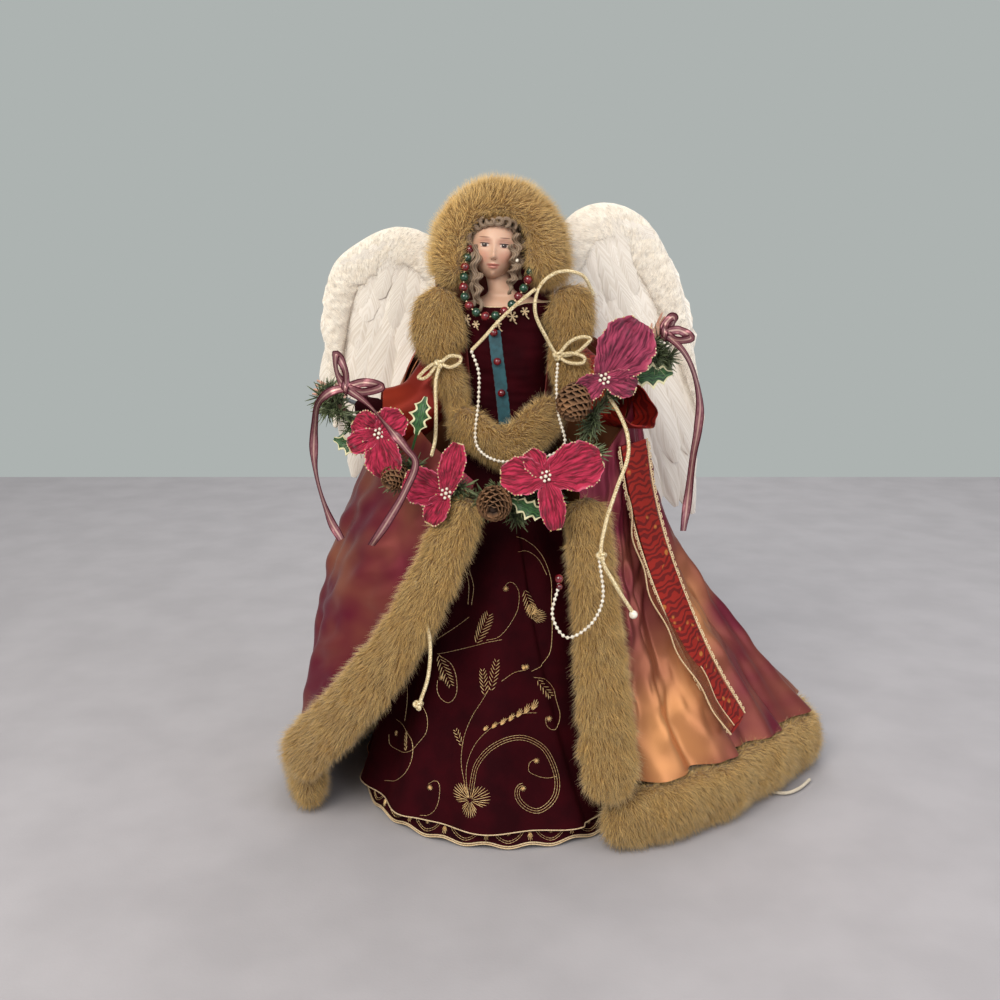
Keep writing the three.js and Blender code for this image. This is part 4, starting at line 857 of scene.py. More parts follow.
@dataclass
class Kit:
    """The finishes and the shared trees that every sub-assembly draws on."""

    materials: dict[str, Material]
    pile: Tree
    scatter: Tree
    clump: float = 1.5
    clump_size: float = 4.2
    sharp_degrees: float = 60

    def grow_pile(
        self, name: str, shape: Shape, finishes: tuple[str, str], length: float, thickness: float, density: float,
        seed: int,
    ) -> Object:
        """Grows a pile of hairs or down on a skin.

        Args:
            name: The finished piece's name.
            shape: The skin, with the combed direction as its value comb.
            finishes: The pile's finish and the skin's.
            length: The hairs' length in millimetres.
            thickness: Their thickness in millimetres.
            density: Hairs for each square millimetre.
            seed: Fixes where they stand.

        Returns:
            The grown piece.
        """
        angle = np.arange(3) * TAU / 3
        base = np.column_stack([np.cos(angle) / 2, np.sin(angle) / 2, np.full(3, -0.06)])
        hair = Shape(np.vstack([base, [0, 0, 1]]), [(0, 2, 1), (0, 1, 3), (1, 2, 3), (2, 0, 3)])
        hair.values = {"along": np.array([0, 0, 0, 1.0])}
        strand = template("strand", hair.outward())
        skin = make_object(f"{name}_skin", Shape(shape.corners, shape.faces, {"comb": shape.values["comb"]}))
        grown = grow(
            skin, self.pile, name, Strand=strand, Pile=self.materials[finishes[0]], Skin=self.materials[finishes[1]],
            Density=density / MM**2, Length=length * MM, Thickness=thickness * MM, Lay=1.0, Clump=self.clump,
            Stray=0.45, Seed=seed, **{"Clump Size": self.clump_size * MM},
        )
        bpy.data.objects.remove(strand)
        return grown

    def place(
        self, name: str, part: Shape | Sequence[Shape], spots: Array, way: Array, facing: Array, size: Array,
        finish: str,
    ) -> Object:
        """Puts a copy of a small shape at each spot.

        Args:
            name: The new piece's name.
            part: The small shape, or several that take turns, upright along Z, in millimetres.
            spots: Where the copies go, in millimetres.
            way: Where each copy's Z axis points.
            facing: Where each copy's X axis points.
            size: Each copy's size along its three axes, as multiples of the shape.
            finish: The name of the finish of all copies.

        Returns:
            The copies as one plain mesh.
        """
        tint = np.random.default_rng(len(spots)).uniform(0, 1, len(spots))
        parts = [part] if isinstance(part, Shape) else list(part)
        kind = np.arange(len(spots)) % len(parts)
        values = {"way": unit(way), "facing": unit(facing), "size": size, "tint": tint, "kind": kind}
        carrier = make_object(f"{name}.points", Shape(spots, [], values))
        models = bpy.data.collections.new(f"{name}.parts")
        for index, shape in enumerate(parts):
            models.objects.link(make_object(f"{name}.part_{index}", shape, self.sharp_degrees))
        made = grow(carrier, self.scatter, name, Parts=models, Finish=self.materials[finish])
        for model in list(models.objects):
            bpy.data.objects.remove(model)
        bpy.data.collections.remove(models)
        made.data.shade_smooth()
        made.data.set_sharp_from_angle(angle=math.radians(self.sharp_degrees))
        return made

    def dress(self, name: str, finish: str) -> None:
        """Gives a CAD node that stays in the scene its finish."""
        data = frame["nodes"][name].data
        data.materials.clear()
        data.materials.append(self.materials[finish])

    def add(self, name: str, shape: Shape, finish: str, slot: str, *replaces: str, sharp: float = 50) -> Object:
        """Makes a piece from a surface and dresses it.

        Args:
            name: The piece's name.
            shape: The surface in millimetres.
            finish: The finish's name.
            slot: The record's material slot.
            *replaces: The CAD nodes that the piece stands for.
            sharp: Edges that bend more than these degrees stay sharp.

        Returns:
            The piece, which rides on the figure.
        """
        return self.finish(make_object(name, shape, sharp), finish, slot, replaces)

    def finish(
        self, piece: Object, finish: str | None, slot: str, replaces: Sequence[str] = (), body: str = BODY,
    ) -> Object:
        """Dresses a piece, ties it to its body and hides the CAD nodes that it stands for.

        Args:
            piece: The object.
            finish: The finish's name, or None where the mesh has its materials.
            slot: The record's material slot; not used.
            replaces: The CAD nodes that the piece stands for.
            body: The body that it rides on.

        Returns:
            The same object.
        """
        if finish is not None:
            piece.data.materials.clear()
            piece.data.materials.append(self.materials[finish])
        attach(piece, body)
        if replaces:
            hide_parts(*replaces)
        LOG.info("%s: %d faces", piece.name, len(piece.data.polygons))
        return piece


# The studio: camera, soft lamps and a plain floor.


@dataclass
class Studio:
    """A plain pale studio seen from the photograph's place."""

    camera_place: tuple[float, float, float] = (-0.005, -0.703, 0.360)
    camera_tilt_degrees: float = 77.0
    lens: float = 39.6
    sensor: float = 36.0
    floor_code: str = "#b0adaf"
    wall_code: str = "#adb3b1"
    floor_far_edge: float = 1.02
    floor_reach: float = 4.0
    sky_strength: float = 0.55
    lamps: tuple[tuple[str, tuple[float, float, float], float, float, str], ...] = (
        ("key", (-0.5, -1.2, 1.15), 0.9, 23.0, "#fff8f0"), ("fill", (1.1, -0.9, 0.7), 1.1, 7.0, "#f4f4ff"),
        ("back", (0.3, 1.0, 1.3), 0.9, 7.0, "#ffffff"),
    )

    def build(self) -> None:
        """Builds the camera, the lamps, the sky and the floor."""
        self._camera()
        self._sky()
        for name, place, size, power, code in self.lamps:
            self._lamp(name, place, size, power, code)
        self._floor()
        bpy.context.scene.view_settings.view_transform = "Standard"

    def _camera(self) -> None:
        """Puts the camera where the photographer's stood."""
        data = bpy.data.cameras.new("camera")
        data.lens = self.lens
        data.sensor_width = self.sensor
        camera = bpy.data.objects.new("camera", data)
        camera.location = self.camera_place
        camera.rotation_euler = (math.radians(self.camera_tilt_degrees), 0.0, 0.0)
        bpy.context.scene.collection.objects.link(camera)
        bpy.context.scene.camera = camera

    def _sky(self) -> None:
        """Lights from all round, and shows the plain wall behind the object."""
        world = bpy.data.worlds.new("studio")
        world.use_nodes = True
        tree = world.node_tree
        tree.nodes.clear()
        path = node(tree, "LightPath").outputs
        seen = reckon(tree, "MAXIMUM", path["Is Camera Ray"], path["Is Glossy Ray"])
        shown = reckon(tree, "MAXIMUM", seen, path["Is Transmission Ray"])
        light = node(tree, "Background", {"Color": linear("#f2f4f6"), "Strength": self.sky_strength})
        wall = node(tree, "Background", {"Color": linear(self.wall_code), "Strength": 1.0})
        both = node(tree, "MixShader", {0: shown, 1: light, 2: wall})
        node(tree, "OutputWorld", {"Surface": both})
        bpy.context.scene.world = world

    def _lamp(self, name: str, place: tuple[float, float, float], size: float, power: float, code: str) -> None:
        """Adds a soft square lamp that faces the object's middle."""
        data = bpy.data.lights.new(name, "AREA")
        data.shape = "SQUARE"
        data.size = size
        data.energy = power
        data.color = linear(code)[:3]
        lamp = bpy.data.objects.new(name, data)
        lamp.location = place
        target = Vector((0.0, 0.0, HEIGHT * MM / 2))
        lamp.rotation_euler = (target - Vector(place)).to_track_quat("-Z", "Y").to_euler()
        bpy.context.scene.collection.objects.link(lamp)

    def _floor(self) -> None:
        """Lays the floor, which stops where the photograph's does."""
        near, far, wide = -self.floor_reach / MM, self.floor_far_edge / MM, self.floor_reach / MM
        corners = np.array([[-wide, near, 0], [wide, near, 0], [wide, far, 0], [-wide, far, 0]])
        floor = make_object("floor", Shape(corners, [(0, 1, 2, 3)]))
        cloth = Mottled("pale studio cloth", 0.95, {}, self.floor_code, "#a9a6a8", 60.0, 2.0, 0.1).build()
        floor.data.materials.append(cloth)


# Cords, pearls and the string behind the hem.


def trefoil(centre: Array, size: float, diameter: float) -> Shape:
    """A small tied knot: a cord that goes round itself three times."""
    turned = np.linspace(0, TAU, 49)[:-1]
    rings = np.column_stack(
        [
            np.sin(turned) + 1.6 * np.sin(2 * turned), 1.1 * np.sin(3 * turned),
            np.cos(turned) - 1.6 * np.cos(2 * turned),
        ]
    )
    path = centre + size * np.vstack([rings, rings[:1]])
    return tube(path, diameter / 2, 7)


def loop_knots(knot: Point, tip: Point, spread: Point) -> list[Array]:
    """The points of one loop of a bow, from the knot out and nearly back."""
    start, end, wide = (np.asarray(p, float) for p in (knot, tip, spread))
    half = (start + end) / 2
    return [start, half + wide, end, half - wide]


@dataclass
class Cord:
    """One free cord: its route in millimetres and what its maker would write of it."""

    name: str
    route: list[Point]
    far_end: str
    lay: str
    diameter: float = 2.4
    stiffness: str = "limp"
    pearls: bool = False
    finish: str = "gold cord"
    slot: str = "gold_thread"
    knots: tuple[Point, ...] = ()
    beads: tuple[tuple[Point, float, str], ...] = ()


@dataclass
class Cords:
    """The metallic gold cords, the strings of pearls and the cotton string behind the hem."""

    kit: Kit
    path_points: int = 36
    pitch: float = 3.6
    pearl_step: float = 2.75
    pearl_thread_radius: float = 0.35
    knot_size: float = 0.95
    knot_cord: float = 2.2

    def _cords(self) -> list[Cord]:
        """Every cord with its route. Two ends leave the solids' routes to reach the built garland and fur."""
        left, right = (-42, -31, 290), (30, -31, 295)
        return [
            Cord(
                "gold_cord_chest", [(16, -36, 335), (6, -37, 327), (-6, -37, 316), (-15, -37, 306), (-22, -38, 299)],
                "object", "taut",
            ),
            Cord(
                "gold_cord_left",
                [
                    *loop_knots(left, (-28, -32, 293), (0, 0, 3.5)), *loop_knots(left, (-55, -31, 281), (2, 0, 4)),
                    left, (-44, -36, 280), (-43.5, -46, 262), (-43.5, -58, 248), (-45, -70, 240.5),
                ],
                "object", "hanging", knots=(left,),
            ),
            Cord(
                "gold_cord_right",
                [
                    *loop_knots(right, (50, -31, 306), (-1, 0, 4)), *loop_knots(right, (48, -33, 292), (1, 0, 3)),
                    right, (23, -33, 306), (16, -34, 322), (19, -34, 337), (30, -34, 345), (44, -33, 343),
                    (51.5, -26.5, 331.5),
                ],
                "object", "loose", knots=(right,),
            ),
            Cord(
                "gold_cord_tail_right",
                [
                    (58, -67, 275), (63, -80, 267), (67, -90, 256), (67, -95, 245), (60, -104, 228), (54, -106, 208),
                    (52, -108, 190), (60, -110, 174), (70, -110, 158),
                ],
                "knot", "hanging", knots=((52, -108, 190),), beads=(((70.6, -110, 156.4), 5.0, "pearl"),),
            ),
            Cord(
                "gold_cord_tail_left",
                [(-54, -89, 170), (-51, -93, 155), (-46, -97, 138), (-47, -99, 115), (-53, -100, 96)], "knot",
                "hanging", knots=((-53, -100, 97),),
            ),
            Cord(
                "pearl_strand",
                [
                    (-22, -39, 298), (-18, -37, 286), (-18, -38, 270), (-19, -50, 243), (-7, -62, 236),
                    (10, -66, 237), (27, -66, 241), (33, -64, 246), (30, -52, 262), (29, -42, 278), (30, -34, 290),
                ],
                "object", "hanging", diameter=2.2, pearls=True, finish="pearl", slot="pearl",
            ),
            Cord(
                "pearl_loop",
                [
                    (51, -107.8, 187), (53, -110, 165), (46, -110, 150), (33, -108, 142), (25, -106, 154),
                    (28.5, -104, 172),
                ],
                "knot", "hanging", diameter=2.2, pearls=True, finish="pearl", slot="pearl",
                beads=(((28.5, -104, 175.8), 5.0, "ruby bead"), ((28.8, -104.6, 171.2), 3.6, "ruby bead")),
            ),
            Cord(
                "floor_cord", [(171, -20, 2.4), (178, -26, 2.4), (187, -28, 2.4), (197, -22, 2.4), (208, -9, 2.4)],
                "bare", "loose", finish="cotton string", slot="cotton",
            ),
        ]

    def build(self) -> None:
        for cord in self._cords():
            path = even(cord.route, self.path_points)
            shape = self._pearls(cord) if cord.pearls else twisted(path, cord.diameter, self.pitch, 3)
            piece = self.kit.add(f"{cord.name}.cord", shape, cord.finish, cord.slot, cord.name)
            going = self._ends(cord)
            length_of(path) * MM

    def _pearls(self, cord: Cord) -> Shape:
        """Pearls threaded close together on a thin thread."""
        path = even(cord.route, self.path_points * 4)
        count = int(length_of(path) / self.pearl_step)
        spots = even(cord.route, count)
        pearls = [ball(spot, cord.diameter / 2, 7, 10) for spot in spots]
        return gather([tube(path, self.pearl_thread_radius, 6), *pearls])

    def _ends(self, cord: Cord) -> list[Object]:
        """The knots and beads that go with a cord."""
        made = []
        for index, knot in enumerate(cord.knots):
            shape = trefoil(np.asarray(knot, float), self.knot_size, self.knot_cord)
            tied = make_object(f"{cord.name}.knot_{index + 1}", shape)
            made.append(self.kit.finish(tied, cord.finish, cord.slot))
        for index, (centre, size, finish) in enumerate(cord.beads):
            bead = make_object(f"{cord.name}.bead_{index + 1}", ball(centre, size / 2, 13, 20))
            slot = "pearl" if finish == "pearl" else "bead"
            made.append(self.kit.finish(bead, finish, slot))
        return made


# The forms of the coat and the skirt, which several pieces share.


def high_share(rows: Rows) -> Array:
    """Points given as shares of the figure's height, in millimetres."""
    return np.asarray(rows, float) * HEIGHT


@dataclass
class CoatForm:
    """Where the coat hangs: a bell from the shoulders to the hem, open in front."""

    hem_height: float = 41.7
    swell: float = 16.0
    fold_depth: float = 5.0
    fold_count: int = 12
    fine_fold_depth: float = 1.5
    fine_fold_count: int = 29
    edge_share: float = 0.86
    edge_pull: tuple[float, float] = (1.1, -1.3)
    seams: tuple[float, float] = (0.44, 0.76)
    top: Array = field(
        default_factory=lambda: high_share(
            [
                [0.105, -0.145, 0.555], [0.15, -0.12, 0.6], [0.18, -0.09, 0.64], [0.195, -0.05, 0.67],
                [0.2, -0.01, 0.685], [0.185, 0.03, 0.71], [0.155, 0.055, 0.745], [0.105, 0.07, 0.77],
                [0.05, 0.0775, 0.7875], [-0.02, 0.08, 0.7925], [-0.085, 0.0725, 0.78], [-0.14, 0.05, 0.745],
                [-0.17, 0, 0.665], [-0.125, -0.085, 0.61], [-0.05, -0.145, 0.555],
            ]
        )
    )
    hem: Array = field(
        default_factory=lambda: high_share(
            [
                [0.14, -0.235, 0], [0.23, -0.215, 0], [0.32, -0.16, 0], [0.395, -0.09, 0], [0.475, -0.01, 0],
                [0.53, 0.07, 0], [0.51, 0.145, 0], [0.43, 0.215, 0], [0.275, 0.265, 0], [0.05, 0.275, 0],
                [-0.175, 0.235, 0], [-0.295, 0.14, 0], [-0.345, 0.02, 0], [-0.335, -0.065, 0], [-0.31, -0.135, 0],
            ]
        )
    )
    swells: tuple[float, ...] = (0, -0.9, -1.3, -1.8, -1.9, -1.3, 0.2, 1, 0.3)

    def point(
        self, around: Array | float, down: Array | float, lift: Array | float = 0.0, fine: bool = False
    ) -> Array:
        """Points on the coat.

        Args:
            around: Share of the way from the right front edge round the back to the left one.
            down: Share of the way from the top to the hem.
            lift: Millimetres outward from the cloth.
            fine: Whether the small folds are added, which the plain solid leaves out.

        Returns:
            The points, in the shares' shape with coordinates last.
        """
        around, down, lift = np.broadcast_arrays(*(np.asarray(v, float) for v in (around, down, lift)))
        flat = around.ravel()
        top = along(self.top, flat).reshape(*around.shape, 3)
        hem = along(self.hem, flat).reshape(*around.shape, 3)
        hem[..., 2] = self.hem_height
        out = unit(hem * [1, 1, 0])
        belly = np.sin(math.pi * down)
        rows = [[share, i, 0] for i, share in enumerate(self.swells)]
        bulge = self.swell * along(rows, flat)[:, 0].reshape(around.shape) * belly
        pull = self.swell * belly * smooth(around, self.edge_share, 1)
        reach = bulge + self.fold_depth * down * np.cos(TAU * self.fold_count * around) + lift
        if fine:
            reach = reach + self._fine(around, down)
        spot = top + (hem - top) * down[..., None]
        spot = spot + pull[..., None] * [self.edge_pull[0], self.edge_pull[1], 0]
        return spot + out * reach[..., None]

    def _fine(self, around: Array, down: Array) -> Array:
        """The height of the small folds and wrinkles."""
        inside = smooth(np.minimum(around, 1 - around), 0.01, 0.06)
        wander = 0.012 * np.sin(TAU * (down * 1.3 + around * 3))
        folds = np.cos(TAU * self.fine_fold_count * (around + wander) + 0.7)
        places = np.stack([around.ravel() * 60, down.ravel() * 9], axis=1)
        loose = ripple(places, 3.2, 31).reshape(around.shape)
        slanted = np.stack([around.ravel() * 55 + down.ravel() * 11, down.ravel() * 12 - around.ravel() * 16], axis=1)
        crease = ripple(slanted, 1.7, 32).reshape(around.shape)
        wrinkles = np.maximum(1.4 * loose + 1.0 * crease, -1.4) * np.sin(math.pi * down) ** 0.5
        return inside * (self.fine_fold_depth * down**0.7 * folds + wrinkles)


@dataclass
class SkirtForm:
    """Where the velvet skirt hangs: a cone with soft folds and two pleats in front."""

    waist_radius: float = 25.0
    hem_radius: float = 98.0
    top_height: float = 235.7
    hem_height: float = 12.0
    fold_depth: float = 4.0
    fold_count: int = 11
    pleat_step: float = 2.6

    def point(self, degrees: Array | float, down: Array | float, lift: float = 0.0) -> Array:
        """Points on the skirt.

        Args:
            degrees: Degrees round from the front, towards the viewer's right.
            down: Share of the way from the waist to the hem.
            lift: Millimetres outward from the velvet.

        Returns:
            The points, in the shares' shape with coordinates last.
        """
        degrees, down = np.broadcast_arrays(np.asarray(degrees, float), np.asarray(down, float))
        angle = np.radians(degrees)
        radius = self.waist_radius + (self.hem_radius - self.waist_radius) * down**1.04
        front = np.maximum(0, np.cos(angle)) ** 4
        fold = self.fold_depth * down * np.cos(self.fold_count * (angle - TAU / 4)) * (1 - front / 2)
        past = degrees - (5 + 23 * down)
        step = np.clip((past + 0.6) / 1.4, 0, 1) * (1 - np.clip((past - 4) / 12, 0, 1))
        second = np.exp(-(((degrees + 28 + 8 * down) / 4.5) ** 2))
        soft = 0.7 * np.sin(np.radians(degrees * 9 + 200 * down)) * down * (1 - step)
        reach = radius + fold + lift + soft - second * 1.6 * down
        reach = reach - self.pleat_step * np.minimum(1, down * 2 + 0.3) * step
        height = self.top_height + (self.hem_height - self.top_height) * down
        return np.stack([np.sin(angle) * reach, -np.cos(angle) * reach, height], axis=-1)


@dataclass(frozen=True)
class UnderskirtForm:
    """Where the second layer of velvet hangs, with a scalloped hem."""

    top_radius: float = 78.0
    hem_radius: float = 96.0
    top_height: float = 48.0
    hem_height: float = 1.0
    scallops: int = 22
    scallop_depth: float = 2.5

    def point(self, degrees: Array | float, down: Array | float, lift: float = 0.0) -> Array:
        """Points on the underskirt, given as on the skirt."""
        degrees, down = np.broadcast_arrays(np.asarray(degrees, float), np.asarray(down, float))
        angle = np.radians(degrees)
        reach = self.top_radius + (self.hem_radius - self.top_radius) * down + lift
        height = self.top_height + (self.hem_height - self.top_height) * down
        height = height + self.scallop_depth * down * (1 - np.cos(self.scallops * angle)) / 2
        return np.stack([np.sin(angle) * reach, -np.cos(angle) * reach, height], axis=-1)


def torso(height: Array, ease: float) -> tuple[Array, Array]:
    """Half the padded torso's width and depth at some heights, with some ease."""
    share = np.clip((height - WAIST) / 90, 0, 1)
    low, high = np.minimum(share / 0.62, 1), np.maximum((share - 0.62) / 0.38, 0)
    return 21 + 5 * low + 4 * high + ease, 17 + 3 * low - 2 * high + ease


def declare_sheet(piece: Object, grid: Array) -> None:
    """Works out the flat size of a cloth's grid, its width, length and area, and does nothing more with them.

    Args:
        piece: The cloth; not used.
        grid: Its middle surface in millimetres, by row, by column and by coordinate.
    """
    width = float(np.linalg.norm(np.diff(grid, axis=1), axis=2).sum(1).max()) * MM
    length = float(np.linalg.norm(np.diff(grid, axis=0), axis=2).sum(0).max()) * MM
    a, b, c, d = grid[:-1, :-1], grid[:-1, 1:], grid[1:, 1:], grid[1:, :-1]
    crossed = np.linalg.norm(np.cross(c - a, d - b), axis=2).sum() / 2
    area = float(crossed) * MM * MM
    area = min(max(area, 0.31 * width * length), width * length)


# Fur.


@dataclass
class FurBand:
    """One band of fur: its route, its section and how its pile is combed."""

    name: str
    path: Array
    half_width: Array
    half_depth: Array
    facing: Facing
    comb: tuple[float, float, float]
    ends: tuple[bool, bool] = (True, True)
    length: float = 8.0
    density: float = 1.6
    seed: int = 1


@dataclass
class FurTrims:
    """The long-pile fur: hem, front edges, peplum, hood and stole ends."""

    kit: Kit
    coat: CoatForm
    inset: float = 2.6
    band_height: float = 40.0
    band_depth: float = 23.0
    floor_gap: float = 1.0
    strip_width: float = 33.0
    strip_depth: float = 18.0
    thickness: float = 0.3
    hem_lift: float = 4.0
    hem_lift_share: float = 0.08
    hem_fold_share: float = 0.75
    sides: int = 32

    def build(self) -> None:
        """Builds every band."""
        for band in self._bands():
            self._grow(band)

    def _bands(self) -> list[FurBand]:
        """Every band of fur on the object."""
        bands = [self._front("front_fur_right", 0.0), self._front("front_fur_left", 1.0)]
        bands += [self._hem("hem_fur_right", 0.0, 0.5), self._hem("hem_fur_left", 0.505, 1.0)]
        bands += [self._peplum(), self._hood()]
        bands += [self._lapel(side) for side in Side]
        return bands

    def _front(self, name: str, around: float) -> FurBand:
        """The strip down one front edge of the coat."""
        facing = away((1, 2, 0))
        spots = self.coat.point(around, 0.04 + 0.96 * np.arange(7) / 6)
        spots = spots + facing(spots) * (self.strip_depth / 2 + 1.2)
        path = even(spots, 76)
        share = np.linspace(0, 1, 76)
        half = self.strip_width / 2 * (0.85 + 0.3 * share)
        depth = np.full(76, self.strip_depth / 2)
        return FurBand(name, path, half, depth, facing, (0.9, 0.0, -0.25), seed=3 if around else 4)

    def _hem(self, name: str, start: float, end: float) -> FurBand:
        """Half of the band round the coat's hem.

        Args:
            name: The CAD node that it stands for.
            start: Where it starts, as a share of the way round the coat.
            end: Where it ends.

        Returns:
            The band.
        """
        around = start + (end - start) * np.arange(13) / 12
        lift = self.hem_lift * np.maximum(0, 1 - np.minimum(around, 1 - around) / self.hem_lift_share)
        fold = self.coat.fold_depth * np.cos(TAU * self.coat.fold_count * around)
        spots = self.coat.point(around, 1.0, lift - self.hem_fold_share * fold)
        spots[:, 2] = self.floor_gap + self.band_height / 2
        path = even(spots, 170)
        size = np.full(170, 1.0)
        return FurBand(
            name, path, size * self.band_height / 2, size * self.band_depth / 2, from_axis, (0.12, 0.0, -0.85),
            ends=(start == 0, end == 1), density=1.4 if start else 1.6, seed=7 if start else 8,
        )

    def _peplum(self) -> FurBand:
        """The band below the bodice, which dips to a point in front."""
        rows = [
            [-0.085, -0.055, 0.632], [-0.055, -0.088, 0.624], [-0.005, -0.1, 0.597], [0.04, -0.092, 0.628],
            [0.072, -0.06, 0.655],
        ]
        path = even(high_share(rows), 54)
        size = np.full(54, 1.0)
        return FurBand("peplum_fur", path, size * 13.5, size * 8.5, from_axis, (0.5, 0.0, -0.6), length=7.0, seed=9)

    def _hood(self) -> FurBand:
        """The thick roll round the face."""
        rows = [
            [-0.086, -0.035, 0.842], [-0.09, -0.03, 0.88], [-0.08, -0.02, 0.925], [-0.047, -0.012, 0.957],
            [-0.012, -0.01, 0.966], [0.022, -0.012, 0.955], [0.05, -0.02, 0.918], [0.058, -0.03, 0.875],
            [0.056, -0.035, 0.842],
        ]
        path = even(high_share(rows), 96)
        share = np.linspace(0, 1, 96)
        facing = away((1, 0, 1), (-8.5, 0, HEAD_MIDDLE))
        return FurBand(
            "hood_fur", path, np.full(96, 17.0), (23 + 8 * share) / 2, facing, (0.45, 0.0, 0.0), length=7.5,
            density=1.5, seed=11,
        )

    def _lapel(self, side: Side) -> FurBand:
        """One end of the stole, pinched where the gold cord ties it."""
        rows = {
            Side.LEFT: [
                [-0.098, -0.035, 0.836, 10], [-0.108, -0.042, 0.8, 17], [-0.106, -0.046, 0.758, 18],
                [-0.1, -0.05, 0.722, 9], [-0.086, -0.056, 0.686, 11.5], [-0.08, -0.06, 0.644, 6],
            ],
            Side.RIGHT: [
                [0.084, -0.035, 0.838, 10], [0.096, -0.042, 0.812, 16], [0.094, -0.046, 0.778, 16],
                [0.082, -0.05, 0.742, 8.5], [0.096, -0.056, 0.708, 13.5], [0.088, -0.058, 0.668, 8],
            ],
        }[side]
        share = np.linspace(0, 1, 56)
        path = along(high_share([row[:3] for row in rows]), share)
        half = along([[row[3], i, 0] for i, row in enumerate(rows)], share)[:, 0]
        seed = 13 if side is Side.LEFT else 14
        name = f"lapel_fur_{side.value}"
        return FurBand(name, path, half, np.full(56, 8.5), to_front, (0.9, 0.0, -0.2), length=7.0, seed=seed)

    def _grow(self, band: FurBand) -> None:
        """Makes a band's lumpy skin, combs it and grows its pile."""
        shape = roll(
            band.path, np.maximum(band.half_width - self.inset, 2.5), np.maximum(band.half_depth - self.inset, 2.5),
            band.facing, self.sides, band.ends,
        )
        middle = np.repeat(band.path, self.sides, 0)
        middle = np.vstack([middle, band.path[:1], band.path[-1:]])
        out = unit(shape.corners - middle + 1e-6)
        lumps = ripple(shape.corners, 17, band.seed) + 0.5 * ripple(shape.corners, 7, band.seed + 50)
        shape.corners = shape.corners + out * lumps[:, None] * 0.8
        if band.name == "hood_fur":
            shape.corners = self._off_face(shape.corners)
        ahead, level, down = band.comb
        across = np.tile([level, 0.0, down], (len(shape.corners), 1))
        shape.values["comb"] = shape.values["comb"] * ahead + across
        if band.name == "hood_fur":
            shape.values["comb"] = shape.values["comb"] + self._from_face(shape.corners)
        finishes = ("long fur", "fur backing")
        grown = self.kit.grow_pile(
            f"{band.name}.pile", shape, finishes, band.length, self.thickness, band.density, band.seed
        )
        self._settle(grown)
        self.kit.finish(grown, None, "fur", (band.name,))

    def _off_face(self, corners: Array) -> Array:
        """Pushes the hood's skin out of the room for the head."""
        middle = np.array([-7.0, -1.5])
        reach = (corners[:, :2] - middle) / [24.5, 22.5]
        close = np.linalg.norm(reach, axis=1)
        share = (corners[:, 2] - HEAD_MIDDLE) / (39 / 2)
        size = np.interp(share, [-2.05, -1.5, 0, 0.75, 1.1, 1.3], [0.75, 1, 1, 0.86, 0.5, 0])
        wanted = np.where((close < size) & (share < 1.3), size / np.maximum(close, 0.05), 1.0)
        pushed = corners.copy()
        pushed[:, :2] = middle + (corners[:, :2] - middle) * wanted[:, None]
        return pushed

    def _from_face(self, corners: Array) -> Array:
        """The direction away from the face, which the hood's pile is combed in."""
        return unit((corners - [-8.5, -30, HEAD_MIDDLE]) * [1, 0.6, 1]) * 0.7

    def _settle(self, piece: Object) -> None:
        """Lets the pile lie on the floor where it would go through."""
        data = np.empty(len(piece.data.vertices) * 3, np.float32)
        piece.data.vertices.foreach_get("co", data)
        data[2::3] = np.maximum(data[2::3], 0.0004)
        piece.data.vertices.foreach_set("co", data)


# The velvet skirt with its gold embroidery.


